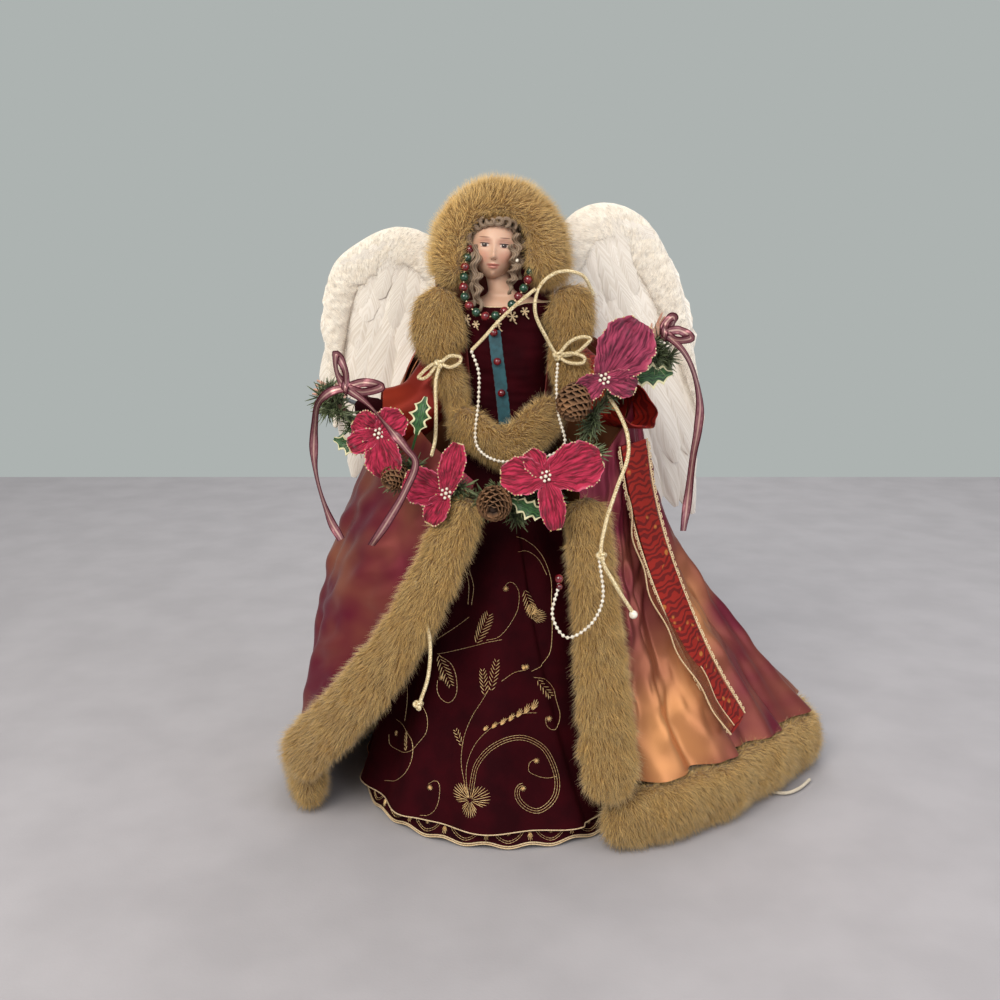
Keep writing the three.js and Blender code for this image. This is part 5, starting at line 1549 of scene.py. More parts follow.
@dataclass
class Embroidery:
    """Gold stitches on the skirt: scrolls, leaves and lobed flowers of a traditional kind.

    Places are degrees round from the front and hundredths of the way down the skirt.
    """

    kit: Kit
    skirt: SkirtForm | UnderskirtForm
    piece: str = "skirt_embroidery"
    stitch_length: float = 2.2
    stitch_width: float = 0.3
    stitch_lift: float = 0.95
    filling: float = 1.5
    spray_reach: float = 8.0
    leaf_step: float = 2.3
    dot_radius: float = 1.8

    def build(self) -> None:
        """Sews every motif as one piece of thread."""
        sewn = [stitch for rows, shifts in self._scrolls() for shift in shifts for stitch in self._line(rows, shift)]
        for sew, motifs in ((self._leaf, self._leaves()), (self._fan, self._fans()), (self._knot, self._knots())):
            sewn += [stitch for motif in motifs for stitch in sew(*motif)]
        places, ways, sizes = (np.array(column, float) for column in zip(*sewn))
        start, end = places, places + ways
        surface = self.skirt.point(start[:, 0], start[:, 1] / 100, self.stitch_lift)
        ahead = self.skirt.point(end[:, 0], end[:, 1] / 100, self.stitch_lift)
        middle = (surface + ahead) / 2
        out = unit(middle * [1, 1, 0] + [0, 0, 12.0])
        size = np.column_stack([sizes, sizes, np.linalg.norm(ahead - surface, axis=1)])
        piece = self.kit.place(self.piece, self._stitch(), middle, ahead - surface, out, size, "embroidery thread")
        self.kit.finish(piece, None, "gold_thread")

    def _stitch(self) -> Shape:
        """One stitch: a slim raised bar, a millimetre long, that dives at both ends."""
        heights = np.array([-0.52, -0.3, 0.0, 0.3, 0.52])
        swell = np.array([0.3, 0.85, 1.0, 0.85, 0.3])
        angle = np.arange(5) * TAU / 5
        rings = np.stack(
            [
                np.cos(angle) * 0.22 * swell[:, None] + (swell[:, None] - 1) * 0.3,
                np.sin(angle) * self.stitch_width / 2 * swell[:, None], np.repeat(heights[:, None], 5, 1),
            ],
            axis=2,
        )
        shape = loft(rings)
        return shape.keeping(along=shape.values["run"])

    def _even(self, rows: Rows, step: float, shift: float) -> Array:
        """Places along a scroll, a stitch apart, moved sideways by some millimetres."""
        flat = [[d, s, 0] for d, s in rows]
        fine = along(flat, np.linspace(0, 1, 300))
        on_cloth = self.skirt.point(fine[:, 0], fine[:, 1] / 100)
        run = np.r_[0, np.cumsum(np.linalg.norm(np.diff(on_cloth, axis=0), axis=1))]
        count = max(int(run[-1] / step) + 1, 3)
        wanted = np.linspace(0, run[-1], count)
        places = np.column_stack([np.interp(wanted, run, fine[:, k]) for k in (0, 1)])
        if shift:
            scale = self._scale(places)
            way = unit(np.gradient(places, axis=0) * scale)
            places = places + np.column_stack([way[:, 1], -way[:, 0]]) * shift / scale
        return places

    def _scale(self, places: Array) -> Array:
        """Millimetres on the cloth for each degree round and each hundredth down."""
        here = self.skirt.point(places[:, 0], places[:, 1] / 100)
        below = self.skirt.point(places[:, 0], places[:, 1] / 100 - 0.01)
        radius = np.linalg.norm(here[:, :2], axis=1)
        return np.column_stack([np.radians(1) * radius, np.linalg.norm(here - below, axis=1)])

    def _line(self, rows: Rows, shift: float) -> Iterator[Stitch]:
        """One line of running stitches."""
        places = self._even(rows, self.stitch_length, shift)
        for here, there in zip(places[:-1], places[1:]):
            yield here, there - here, 1.0

    def _leaf(self, base: Point, tip: Point, wide: float) -> Iterator[Stitch]:
        """A leaf: slanted stitches from its midrib to both edges.

        Args:
            base: The place of its stalk.
            tip: The place of its tip.
            wide: Its width in millimetres.

        Yields:
            The stitches, in pairs from the base up.
        """
        start, end = np.array(base, float), np.array(tip, float)
        scale = self._scale(np.array([(start + end) / 2]))[0]
        way = unit((end - start) * scale)
        side = np.array([way[1], -way[0]])
        length = float(np.linalg.norm((end - start) * scale))
        count = max(int(length / self.leaf_step), 3)
        for step in range(count):
            share = (step + 0.5) / count
            half = wide / 2 * math.sin(math.pi * (0.12 + 0.84 * share)) ** 0.6
            root = start + (end - start) * share
            for sign in (-1, 1):
                yield root + side * sign * 0.35 / scale, (side * sign * half + way * half * 1.3) / scale, self.filling

    def _fan(self, root: Point, degrees: float, reach: float) -> Iterator[Stitch]:
        """A petal, or a spray if it is small: a fan of stitches, in a petal of two lengths.

        Args:
            root: The place that the stitches fan out from.
            degrees: The way of the middle one, clockwise from the viewer's right.
            reach: The length of the middle one in millimetres.

        Yields:
            The stitches, clockwise.
        """
        scale = self._scale(np.array([root], float))[0]
        half, spread = (5, 44) if reach > self.spray_reach else (2, 22)
        for step in range(2 * half + 1):
            off = (step - half) / half
            angle = math.radians(degrees + off * spread)
            way = np.array([math.cos(angle), math.sin(angle)]) * reach * (1 - 0.35 * off * off)
            start = 0.52 if half > 2 and step % 2 else 0.18
            yield np.array(root) + way * start / scale, way * (1 - start) / scale, self.filling

    def _knot(self, *centre: float) -> Iterator[Stitch]:
        """A small raised dot: five stitches that cross."""
        scale = self._scale(np.array([centre], float))[0]
        for step in range(5):
            angle = math.pi * step / 5
            reach = np.array([math.cos(angle), math.sin(angle)]) * self.dot_radius
            yield np.array(centre) - reach / scale, reach * 2 / scale, 1.3

    def _scrolls(self) -> list[tuple[Rows, tuple[float, ...]]]:
        """Each scroll with the sideways places of its lines of stitches."""
        triple, one = (-1.4, 0.0, 1.4), (0.0,)
        return [
            (
                [(-14.5, 91.2), (-14, 87.2), (-13, 82.8), (-9, 78.8), (-3.5, 76.4), (4, 75.6), (11, 76.8),
                (16, 79.2), (18.5, 82.8), (19.5, 86.8), (18.5, 90.4), (15.5, 93.2), (11, 94.8),
                (6, 93.2), (3.5, 90.4), (4, 88.4), (6, 88)],
                triple,
            ),
            ([(19.5, 86), (15.5, 86.4), (11, 85.6), (8.5, 84.4), (9, 82.4), (11.5, 81.6)], one),
            ([(-15.5, 91.2), (-17.5, 87.6), (-20, 82.8), (-20, 76.4), (-17, 70.8), (-12, 65.6), (-9, 62.4)], one),
            (
                [(-15, 91.2), (-17, 86), (-17, 82.4), (-14, 77.2), (-8.5, 73.2), (-2, 70.8), (6.5, 69.6),
                (13.5, 69.6)],
                one,
            ),
            ([(-3.5, 60.8), (3, 58.8), (9.5, 58.4)], one),
            (
                [(12.5, 58.8), (19, 57.2), (24, 54.4), (26, 51.2), (28, 46), (29.5, 40.8), (32, 35.6),
                (30, 31.0), (24, 26.8), (15.5, 24.4), (7.5, 23.2)],
                one,
            ),
            ([(8, 27.2), (18, 27.6), (25, 30), (29, 34)], one),
            (
                [(13.5, 60.4), (19, 61.0), (23.5, 64), (24, 66.8), (25, 70.8), (23, 73.6), (19.5, 74),
                (17.5, 72.8), (17.5, 70.8)],
                one,
            ),
            ([(-41, 56), (-33, 54.8), (-21.5, 52.8), (-11, 50.8), (-3.5, 50)], one),
            ([(-12.5, 50.4), (-5, 49.2), (2, 45.6), (6.5, 42), (7.5, 38), (4.5, 35.6), (0, 35.2), (-2.5, 36.4)], one),
            ([(-43.5, 52.4), (-35.5, 49.2), (-25.5, 45.2)], one), ([(-35, 31.6), (-29, 36.8), (-27.5, 42)], one),
            ([(-30.5, 32.8), (-25, 37.2), (-25, 42)], one),
            (
                [(-40, 56), (-32, 58.4), (-28, 62), (-27, 66), (-30, 68.4), (-34.5, 67.6), (-37, 65.2),
                (-37.5, 62.8)],
                one,
            ),
            (
                [(-48, 70.8), (-43, 70.4), (-39, 72.8), (-38, 76.8), (-40.5, 80), (-43, 82.4), (-53.5, 85.6),
                (-63, 86), (-65, 83.6)],
                one,
            ),
            ([(-63.5, 78.8), (-54, 79.6), (-44, 80.4), (-42, 84), (-43.5, 88.4), (-50, 92.8), (-60, 96)], one),
            ([(-34.5, 98.8), (-31, 98.2), (-28.5, 96), (-28, 92.4), (-29, 89.6), (-31, 89.2), (-33.5, 90.4)], one),
            ([(-75, 60), (-66, 66), (-60, 72), (-57, 78)], one),
        ]

    def _leaves(self) -> list[tuple[Point, Point, float]]:
        """Each leaf's base, tip and width."""
        return [
            ((-11.0, 64.8), (-13.5, 58.0), 5.0), ((-8.5, 63.6), (-6.0, 55.2), 5.0),
            ((-19.0, 52.0), (-12.0, 43.6), 8.0), ((-40.0, 56.0), (-30.5, 64.0), 6.0),
            ((11.5, 37.2), (16.5, 44.4), 7.0), ((15.0, 60.8), (22.0, 66.0), 5.0), ((-20, 79), (-25, 75), 4.0),
            ((-47, 84), (-52, 80), 4.5),
        ]

    def _fans(self) -> list[tuple[Point, float, float]]:
        """Each petal's root, its turn in degrees from the viewer's right, clockwise, and its reach."""
        flower, bud = (-14.5, 91.6), (14.5, 44.5)
        plume = [((-11 + 3.7 * k, 73.6 - 0.75 * k), -48.0 - 2 * k, 4.6 + 0.55 * k) for k in range(7)]
        petals = [(flower, -158, 13.0), (flower, -26, 13.5), (flower, 90, 10.5)]
        return [*petals, *plume, (bud, -75, 8.5), (bud, 5, 10.0), ((8.5, 58.5), -100, 4.0)]

    def _knots(self) -> list[tuple[float, float]]:
        """The middle of each dot."""
        return [
            (6.0, 88.8), (12.0, 82.0), (10.0, 57.6), (19.0, 71.2), (-1.5, 36.8), (-61.0, 82.4), (-32.5, 91.2),
            (-47.5, 70.4), (-36, 62),
        ]


@dataclass
class HemEmbroidery(Embroidery):
    """The gold scallops on the underskirt, where it shows below the velvet."""

    scallops_sewn: int = 5

    def _middles(self) -> list[float]:
        """The middle of each sewn scallop, in degrees round from the front."""
        return [360 / self.skirt.scallops * k for k in range(-self.scallops_sewn, self.scallops_sewn + 1)]

    def _scrolls(self) -> list[tuple[Rows, tuple[float, ...]]]:
        """An arc in each scallop."""
        arc = [(-6.4, 76), (-5.6, 84), (-3.4, 90), (0, 93), (3.4, 90), (5.6, 84), (6.4, 76)]
        return [([(middle + off, down) for off, down in arc], (0.0, 1.3)) for middle in self._middles()]

    def _leaves(self) -> list[tuple[Point, Point, float]]:
        """No leaves: the scallops' corners have fans."""
        return []

    def _fans(self) -> list[tuple[Point, float, float]]:
        """A fan in each corner between two scallops, pointing down."""
        return [((middle + 180 / self.skirt.scallops, 82), 90, 6.5) for middle in self._middles()]

    def _knots(self) -> list[tuple[float, float]]:
        """A dot in each scallop."""
        return [(middle, 81) for middle in self._middles()]


@dataclass
class Skirt:
    """The velvet skirt, its underskirt with gold scallops, and the embroidery."""

    kit: Kit
    form: SkirtForm
    under: UnderskirtForm
    columns: int = 300
    rows: int = 60
    cloth: float = 1.0
    edge_radius: float = 0.42
    hem_thread_radius: float = 0.38

    def build(self) -> None:
        """Builds the skirt and what is sewn on it."""
        degrees, down = np.meshgrid(
            np.linspace(-180, 180, self.columns, endpoint=False), np.linspace(0, 1, self.rows)
        )
        grid = self.form.point(degrees, down)
        piece = self.kit.add("skirt.velvet", sheet(grid, self.cloth, True), "wine velvet", "velvet", "velvet_skirt")
        declare_sheet(piece, grid)
        self._underskirt()
        Embroidery(self.kit, self.form).build()
        HemEmbroidery(self.kit, self.under, "underskirt_embroidery", stitch_lift=0.7).build()
        self._hem_braid()

    def _underskirt(self) -> None:
        """The second layer, whose scallops show below the velvet."""
        degrees, share = np.meshgrid(np.linspace(-270, 90, 300, endpoint=False), np.linspace(0, 1, 16))
        grid = self.under.point(degrees, share)
        cloth = sheet(grid, self.cloth, True)
        piece = self.kit.add("underskirt.velvet", cloth, "dark velvet", "velvet", "underskirt_hem")
        declare_sheet(piece, grid)
        rim = grid[-1] + unit(grid[-1] * [1, 1, 0]) * 0.9 + [0, 0, 0.7]
        path = np.vstack([rim, rim[:2]])
        edge = gather([tube(path + [0, 0, rise], self.edge_radius, 6) for rise in (0.0, 1.3)])
        self.kit.add("underskirt.edge", edge, "gold thread", "gold_thread")

    def _hem_braid(self) -> None:
        """A thin line of gold thread along the velvet's hem."""
        path = self.form.point(np.linspace(-180, 180, 721), 1.0, 0.9) + [0, 0, 0.9]
        self.kit.add("skirt.hem_thread", tube(path, self.hem_thread_radius, 6), "gold thread", "gold_thread")


# The satin coat.


@dataclass
class Coat:
    """The coat's panels, yoke, sleeves and lining, and the brocade that hangs from one sleeve."""

    kit: Kit
    form: CoatForm
    cloth: float = 0.9
    rows: int = 84
    columns_per_turn: int = 520
    seam_gap: float = 0.0006
    picot_step: float = 2.4
    lining_inset: float = 3.4
    lining_cloth: float = 0.5
    arm_radius: float = 7.4
    drape_half_width: float = 9.5
    drape_cloth: float = 1.1
    braid_place: float = 10.9
    arm: Array = field(
        default_factory=lambda: high_share(
            [
                [-0.262, -0.055, 0.672], [-0.2, -0.05, 0.648], [-0.14, -0.035, 0.66], [-0.1, -0.012, 0.715],
                [-0.055, 0, 0.775], [0, 0.005, 0.789], [0.055, 0, 0.778], [0.105, -0.015, 0.715],
                [0.145, -0.055, 0.69], [0.185, -0.105, 0.715], [0.21, -0.145, 0.768],
            ]
        )
    )

    def build(self) -> None:
        """Builds every part of the coat."""
        right_seam, left_seam = self.form.seams
        for name, start, end in (
            ("coat_panel_right", 0.0, right_seam), ("coat_panel_back", right_seam + self.seam_gap, left_seam),
            ("coat_panel_left", left_seam + self.seam_gap, 1.0),
        ):
            self._panel(name, start, end)
        self._lining()
        self._yoke()
        self._hood_cloth()
        for side in Side:
            self._bell(side)
            self._undersleeve(side)
        self._drape()
        self._organza()

    def _painted_light(self, spots: Array) -> Array:
        """How much copper the shot satin shows at each point, from 0 to 1: painted light and shade, copper where light
        catches the folds and wine where they turn away.
        """
        x, y, z = np.moveaxis(spots, -1, 0)
        # Copper patches are painted highlights where light catches the shot satin's folds; wine patches are painted
        # shade where the folds turn away.
        # Each patch: its middle across and up, its half width and half height, and its strength.
        copper = [
            (100, 62, 34, 44, 0.95), (120, 122, 16, 34, 0.6), (-80, 262, 24, 22, 0.6), (-112, 156, 10, 16, 0.25),
        ]
        wine = [(158, 150, 34, 48, 0.3), (78, 236, 18, 22, 0.2), (-112, 100, 32, 30, 0.2)]
        front = smooth(-y, -90, 10)
        share = 0.1 + 0 * x
        for sign, patches in ((1, copper), (-1, wine)):
            for cx, cz, wide, tall, much in patches:
                share = share + sign * front * much * np.exp(-(((x - cx) / wide) ** 2) - ((z - cz) / tall) ** 2)
        places = spots.reshape(-1, 3)
        # Round the back, copper and wine take turns as painted light and shade on the folds, with some random change.
        behind = 0.3 * np.sin(3 * np.arctan2(y, x) + 0.8) + 0.1 * ripple(places, 60, 5).reshape(x.shape)
        share = share + (1 - front) * behind + 0.06 * ripple(places, 38, 6).reshape(x.shape)
        return np.clip(share, 0, 1)

    def _cloth(self, grid: Array, wrapped: bool = False, thickness: float | None = None) -> Shape:
        """A cloth over a grid, with its painted light and shade at each corner."""
        shape = sheet(grid, thickness or self.cloth, wrapped)
        shade = self._painted_light(grid).ravel()
        shape.values["shade"] = np.r_[shade, shade]
        return shape

    def _panel(self, name: str, start: float, end: float) -> None:
        """One panel of the coat, from the shoulder or sleeve to the hem."""
        columns = int(self.columns_per_turn * (end - start))
        around, down = np.meshgrid(np.linspace(start, end, columns), np.linspace(0, 1, self.rows))
        grid = self.form.point(around, down, 0.0, True)
        piece = self.kit.add(f"{name}.satin", self._cloth(grid), "shot satin", "satin", name)
        declare_sheet(piece, grid)

    def _lining(self) -> None:
        """The plain copper lining, just inside the panels."""
        around, down = np.meshgrid(np.linspace(0.01, 0.99, 260), np.linspace(0.02, 0.99, 40))
        grid = self.form.point(around, down, -self.lining_inset)
        piece = self.kit.add("coat.lining", sheet(grid, self.lining_cloth), "copper lining", "satin")
        declare_sheet(piece, grid)

    def _yoke(self) -> None:
        """The coat's upper part round the shoulders."""
        turned, rise = np.meshgrid(np.linspace(0.15, 0.85, 70) * TAU, np.linspace(0, 1, 22))
        height = 322.3 - (62 + (1.2 - 62) * rise)
        wide, deep = torso(height, 4.5)
        grid = np.stack([np.sin(turned) * wide, -np.cos(turned) * deep, height], axis=-1)
        piece = self.kit.add("coat_yoke.satin", self._cloth(grid), "shot satin", "satin", "coat_yoke")
        declare_sheet(piece, grid)

    def _hood_cloth(self) -> None:
        """The hood's back, which the fur roll edges."""
        share, lift = np.meshgrid(np.linspace(0, 1, 70), np.linspace(0, 1, 44))
        sweep = math.pi * share
        droop = 46 * np.maximum(0, lift - 0.5) * 2
        wide = 37 * np.cos(sweep)
        arch = np.cos(TAU / 4 * np.minimum(lift * 2, 1))
        fold = 0.9 * np.cos(TAU * 5 * share) * lift
        grid = np.stack(
            [
                -8.5 + wide * np.sqrt(1 - 0.55 * arch**2),
                6 + 8 * np.sin(sweep) ** 0.6 + (22 + fold) * np.sin(sweep) * (0.35 + 0.65 * smooth(lift, 0, 0.5)),
                HEAD_MIDDLE + 37 * 0.86 * arch - droop,
            ],
            axis=-1,
        )
        piece = self.kit.add("hood_cloth.satin", self._cloth(grid), "shot satin", "satin", "hood_cloth")
        declare_sheet(piece, grid)

    def _bell(self, side: Side) -> None:
        """One wide sleeve, open at its mouth."""
        left = side is Side.LEFT
        start, end = (0.34, 0.1) if left else (0.66, 0.9)
        droop = 20 * (0.3 if left else 0.9)
        share = np.linspace(0, 1, 40)
        centre = along(self.arm, start + (end - start) * share)
        near = along(self.arm, start + (end - start) * share + 0.002 * np.sign(end - start))
        ahead = unit(near - centre)
        centre[:, 2] -= droop * share**2
        across = unit(np.array([0, 1, 0]) - ahead * ahead[:, 1:2])
        up = unit(np.cross(ahead, across))
        radius = 12 + 8 * share
        angle = round_angles(60)
        folds = 1 + 0.05 * np.cos(7 * angle + 0.6)[None, :] * share[:, None]
        grid = (
            centre[:, None]
            + across[:, None] * (np.cos(angle)[None, :] * radius[:, None] * 0.75 * folds)[..., None]
            + up[:, None] * (np.sin(angle)[None, :] * radius[:, None] * folds)[..., None]
        )
        name = f"bell_sleeve_{side.value}"
        finish = "red satin" if left else "brocade"
        shape = self._cloth(grid, True)
        piece = self.kit.add(f"{name}.satin", shape, finish, "satin" if left else "brocade", name)
        declare_sheet(piece, grid)

    def _undersleeve(self, side: Side) -> None:
        """The close velvet sleeve on the arm."""
        left = side is Side.LEFT
        start, end = (0.36, 0.04) if left else (0.64, 0.96)
        path = along(self.arm, np.linspace(start, end, 40))
        size = np.full(40, self.arm_radius)
        shape = roll(path, size, size, to_front, 24)
        shape.corners = shape.corners + 0.35 * ripple(shape.corners, 7, 3)[:, None]
        shape.values = {}
        name = f"undersleeve_{side.value}"
        piece = self.kit.add(f"{name}.velvet", shape, "wine velvet", "velvet", name)

    def _drape_line(self) -> Array:
        """The middle of the brocade drape."""
        down = 0.06 + 0.87 * (np.arange(8) / 7)
        return self.form.point(0.135 + 0.075 * down, down, 4.5 + 5 * down)

    def _drape(self) -> None:
        """The brocade drape with a scalloped gold braid down each edge."""
        path = even(self._drape_line(), 120)
        _, out, across = frames(path, away((1, 3, 0)))
        wide = np.linspace(-1, 1, 22)
        wave = 0.9 * np.sin(np.linspace(0, 9, 120))[:, None] * wide[None, :]
        grid = path[:, None] + across[:, None] * wide[None, :, None] * self.drape_half_width
        grid = grid + out[:, None] * (1.1 * (1 - wide**2)[None, :] + wave)[..., None]
        shape = sheet(grid, self.drape_cloth)
        shape.values["shade"] = np.zeros(len(shape.corners))
        piece = self.kit.add("sleeve_drape_right.brocade", shape, "brocade", "brocade", "sleeve_drape_right")
        declare_sheet(piece, grid)
        for name, sign in (("lace_braid_outer", 1), ("lace_braid_inner", -1)):
            self._braid(name, path + across * sign * self.braid_place, out, across * sign)

    def _braid(self, name: str, path: Array, out: Array, across: Array) -> None:
        """A gold braid: a twisted core with small picots along its outer edge.

        Args:
            name: The CAD node that it stands for.
            path: The middle of the core.
            out: The way outward at each point.
            across: The way of the picots at each point.
        """
        core = twisted(path, 1.3, 3.0, 2, 6)
        turned = np.linspace(0, math.pi, 9)
        picots = []
        for k in np.linspace(2, len(path) - 3, int(length_of(path) / self.picot_step)).astype(int):
            ahead = unit(path[k + 1] - path[k - 1])
            ring = path[k] + np.outer(np.cos(turned) * 1.1, ahead) + np.outer(np.sin(turned) * 1.7, across[k])
            picots.append(tube(ring + out[k] * 0.2, 0.32, 5))
        self.kit.add(f"{name}.thread", gather([core, *picots]), "gold thread", "gold_thread", name)

    def _organza(self) -> None:
        """The sheer copper strip beside the drape, edged with gold."""
        share = np.linspace(0, 1, 90)
        down = 0.2 + 0.72 * share
        centre = self.form.point(0.118 + 0.062 * down, down, 3.4 + 3.5 * down)
        side = unit(np.cross(unit(np.gradient(centre, axis=0)), from_axis(centre)))
        half = 5.5 + 3.5 * np.sin(math.pi * share)
        wide = np.linspace(-1, 1, 14)
        wave = 1.3 * np.sin(share * 26)[:, None] * wide[None, :] ** 2
        grid = centre[:, None] + side[:, None] * (wide[None, :] * half[:, None])[..., None]
        grid = grid + from_axis(centre)[:, None] * wave[..., None]
        piece = self.kit.add("drape.organza", self._cloth(grid, False, 0.35), "copper organza", "brocade")
        declare_sheet(piece, grid)
        for label, column in (("inner", 0), ("outer", -1)):
            edge = twisted(grid[:, column], 1.1, 2.4, 2, 5)
            self.kit.add(f"drape.organza_edge_{label}", edge, "gold thread", "gold_thread")


# The bust: face, hair, bodice and necklace.


@dataclass
class Bust:
    """The resin bust: shoulder plate, neck, modelled face and moulded curls."""

    kit: Kit
    lean: float = 8.5
    tilt_degrees: float = 4.0
    forward: float = 5.0
    half_width: float = 15.0
    half_depth: float = 17.5
    half_height: float = 19.5
    rows: int = 150
    columns: int = 200
    strands: int = 7

    def build(self) -> None:
        """Builds the skin, the hair and the earring."""
        skin = gather([self._head().keeping(), self._neck().keeping()])
        self.kit.add("bust.skin", skin, "painted resin", "resin", "bust_head")
        hair = gather([self._cap(), *self._curls(), *self._fringe()])
        self.kit.add("bust.hair", hair, "moulded hair", "resin", sharp=80)
        self._earring()

    def _head(self) -> Shape:
        """The head, with its features pushed out of an egg."""
        rise = np.sin(math.pi * (np.linspace(0.004, 0.996, self.rows) - 0.5))
        angle = round_angles(self.columns)
        wrapped = np.where(angle > math.pi, angle - TAU, angle)
        up, side = np.meshgrid(rise, wrapped, indexing="ij")
        swell = np.sqrt(np.maximum(1 - up**2, 0))
        jaw = np.where(up < 0, 1 - 0.3 * up**2, 1.0)
        push = np.zeros_like(up)
        for height, place, tall, wide, deep in self._features():
            push += deep * np.exp(-(((up - height) / tall) ** 2) - ((side - place) / wide) ** 2)
        width = self.half_width * swell * jaw
        depth = self.half_depth * swell + push
        ring = np.stack([np.sin(side) * width, -np.cos(side) * depth, up * self.half_height], axis=-1)
        return loft(self._tilt(ring) + [-self.lean, -self.forward, HEAD_MIDDLE])

    def _tilt(self, spots: Array) -> Array:
        """Leans the face a little towards the viewer's right."""
        turned = math.radians(self.tilt_degrees)
        x, z = spots[..., 0].copy(), spots[..., 2].copy()
        lean = spots.copy()
        lean[..., 0] = x * math.cos(turned) + z * math.sin(turned)
        lean[..., 2] = z * math.cos(turned) - x * math.sin(turned)
        return lean

    def _features(self) -> list[tuple[float, float, float, float, float]]:
        """Each feature: height and angle of its middle, half sizes, and push in millimetres."""
        rows = [
            (-0.12, 0.0, 0.17, 0.085, 1.3), (-0.27, 0.0, 0.08, 0.1, 2.3), (-0.31, 0.0, 0.05, 0.06, 0.5),
            (0.12, 0.0, 0.12, 0.08, 0.35), (-0.4, 0.0, 0.045, 0.06, -0.35), (-0.5, 0.0, 0.035, 0.17, 0.75),
            (-0.55, 0.0, 0.014, 0.2, -0.5), (-0.605, 0.0, 0.035, 0.15, 0.8), (-0.7, 0.0, 0.05, 0.16, -0.3),
            (-0.86, 0.0, 0.11, 0.22, 1.3), (0.42, 0.0, 0.3, 0.6, 0.4),
        ]
        for sign in (-1, 1):
            rows += [
                (0.09, 0.36 * sign, 0.12, 0.2, -1.25), (0.085, 0.37 * sign, 0.055, 0.13, 0.85),
                (0.15, 0.37 * sign, 0.02, 0.16, 0.32), (0.3, 0.36 * sign, 0.07, 0.22, 0.45),
                (-0.3, 0.11 * sign, 0.045, 0.05, 0.55), (-0.25, 0.66 * sign, 0.22, 0.28, 0.75),
                (-0.55, 0.27 * sign, 0.06, 0.06, -0.25), (-0.6, 0.75 * sign, 0.22, 0.24, -0.2),
            ]
        return rows

    def _neck(self) -> Shape:
        """The shoulder plate and the neck."""
        rows = [
            (0.0, 27.6, 16.6, 0.0, 0.0), (3.3, 24.0, 14.4, -0.8, 0.0), (7.3, 13.8, 10.1, -1.7, -0.6),
            (10.5, 8.6, 8.6, -4.0, -1.6), (20.0, 7.4, 7.6, -6.6, -2.2), (30.0, 7.6, 8.0, -8.0, -2.5),
            (38.0, 7.6, 8.0, -8.5, -2.5),
        ]
        table = np.array(rows)
        fine = along([[r[1], r[2], r[0]] for r in rows], np.linspace(0, 1, 60))
        middle = along([[r[3], r[4], r[0]] for r in rows], np.linspace(0, 1, 60))
        angle = round_angles(72)
        collar = 0.5 * np.exp(-(((fine[:, 2] - table[2, 0]) / 3.0) ** 2))[:, None] * np.cos(2 * angle)[None, :]
        rings = np.stack(
            [
                middle[:, :1] + np.sin(angle) * (fine[:, :1] + collar),
                middle[:, 1:2] - np.cos(angle) * (fine[:, 1:2] - collar), np.repeat(322.6 + fine[:, 2:], 72, 1),
            ],
            axis=-1,
        )
        return loft(rings)

    def _crest(self, rings: Array, groove: Array) -> Shape:
        """A piece of hair with the height of its strands at each corner."""
        return loft(rings).keeping(along=np.r_[(0.5 + 0.5 * groove).ravel(), 0.5, 0.5])

    def _cap(self) -> Shape:
        """The hair over the skull, parted and grooved."""
        rise = np.linspace(-0.62, 0.995, 60)
        angle = round_angles(220)
        up, side = np.meshgrid(rise, angle, indexing="ij")
        swell = np.sqrt(np.maximum(1 - up**2, 0))
        wrapped = np.where(side > math.pi, side - TAU, side)
        open_front = np.exp(-((wrapped / 0.95) ** 4)) * smooth(0.62 - up, 0, 0.25)
        groove = np.cos(38 * side + 5 * up + 2.0 * np.sin(3 * side))
        thick = 2.6 + 0.55 * groove * (1 - 0.6 * np.abs(up)) - 5.5 * open_front
        width = (self.half_width + thick) * swell
        depth = (self.half_depth + thick) * swell
        ring = np.stack([np.sin(side) * width, -np.cos(side) * depth + 2.6, up * (self.half_height + 2.4)], axis=-1)
        return self._crest(self._tilt(ring) + [-self.lean, -self.forward, HEAD_MIDDLE + 1.1], groove)

    def _ringlet(self, path: Array, radius: Array, turns: float, phase: float) -> Shape:
        """One curl: a corkscrew of grooved hair.

        Args:
            path: The middle of the corkscrew.
            radius: Its radius at each point.
            turns: How often it turns.
            phase: Where its first turn starts, in radians.

        Returns:
            The curl.
        """
        share = np.linspace(0, 1, len(path))
        _, out, across = frames(path, lambda spots: np.tile([0.0, -1.0, 0.02], (len(spots), 1)))
        sweep = TAU * turns * share + phase
        sway = np.cos(sweep)[:, None] * out + np.sin(sweep)[:, None] * across
        centre = path + sway * (radius * 0.5)[:, None]
        angle = round_angles(30)
        groove = np.cos(self.strands * angle[None, :] + sweep[:, None] * 1.5)
        size = radius[:, None] * (0.72 + 0.1 * groove)
        ring = centre[:, None] + size[..., None] * (
            np.cos(angle)[None, :, None] * out[:, None] + np.sin(angle)[None, :, None] * across[:, None]
        )
        return self._crest(ring, groove)

    def _curls(self) -> list[Shape]:
        """The long curls beside the neck."""
        rows = [
            (-1.0, 0.55, 0.45, -1.55), (-0.78, 0.78, 0.1, -1.8), (-1.12, 0.2, 0.35, -1.3), (-0.62, 0.9, -0.75, -1.95),
            (0.98, 0.6, 0.45, -0.95), (0.8, 0.8, 0.1, -1.15), (1.1, 0.25, 0.35, -1.0), (0.72, 0.9, -0.5, -1.42),
        ]
        made = []
        for index, (side, forward, top, bottom) in enumerate(rows):
            share = np.linspace(0, 1, 64)
            x = side * self.half_width - self.lean + 1.2 * np.sin(share * 5 + index)
            y = np.full(64, -forward * self.half_depth - self.forward)
            z = HEAD_MIDDLE + (top + (bottom - top) * share) * self.half_height
            radius = 3.1 * (0.5 + 0.5 * np.sin(math.pi * np.minimum(share * 1.1 + 0.12, 1.0)))
            made.append(self._ringlet(np.column_stack([x, y, z]), radius, 2.6 + 0.3 * (index % 3), index * 1.3))
        return made

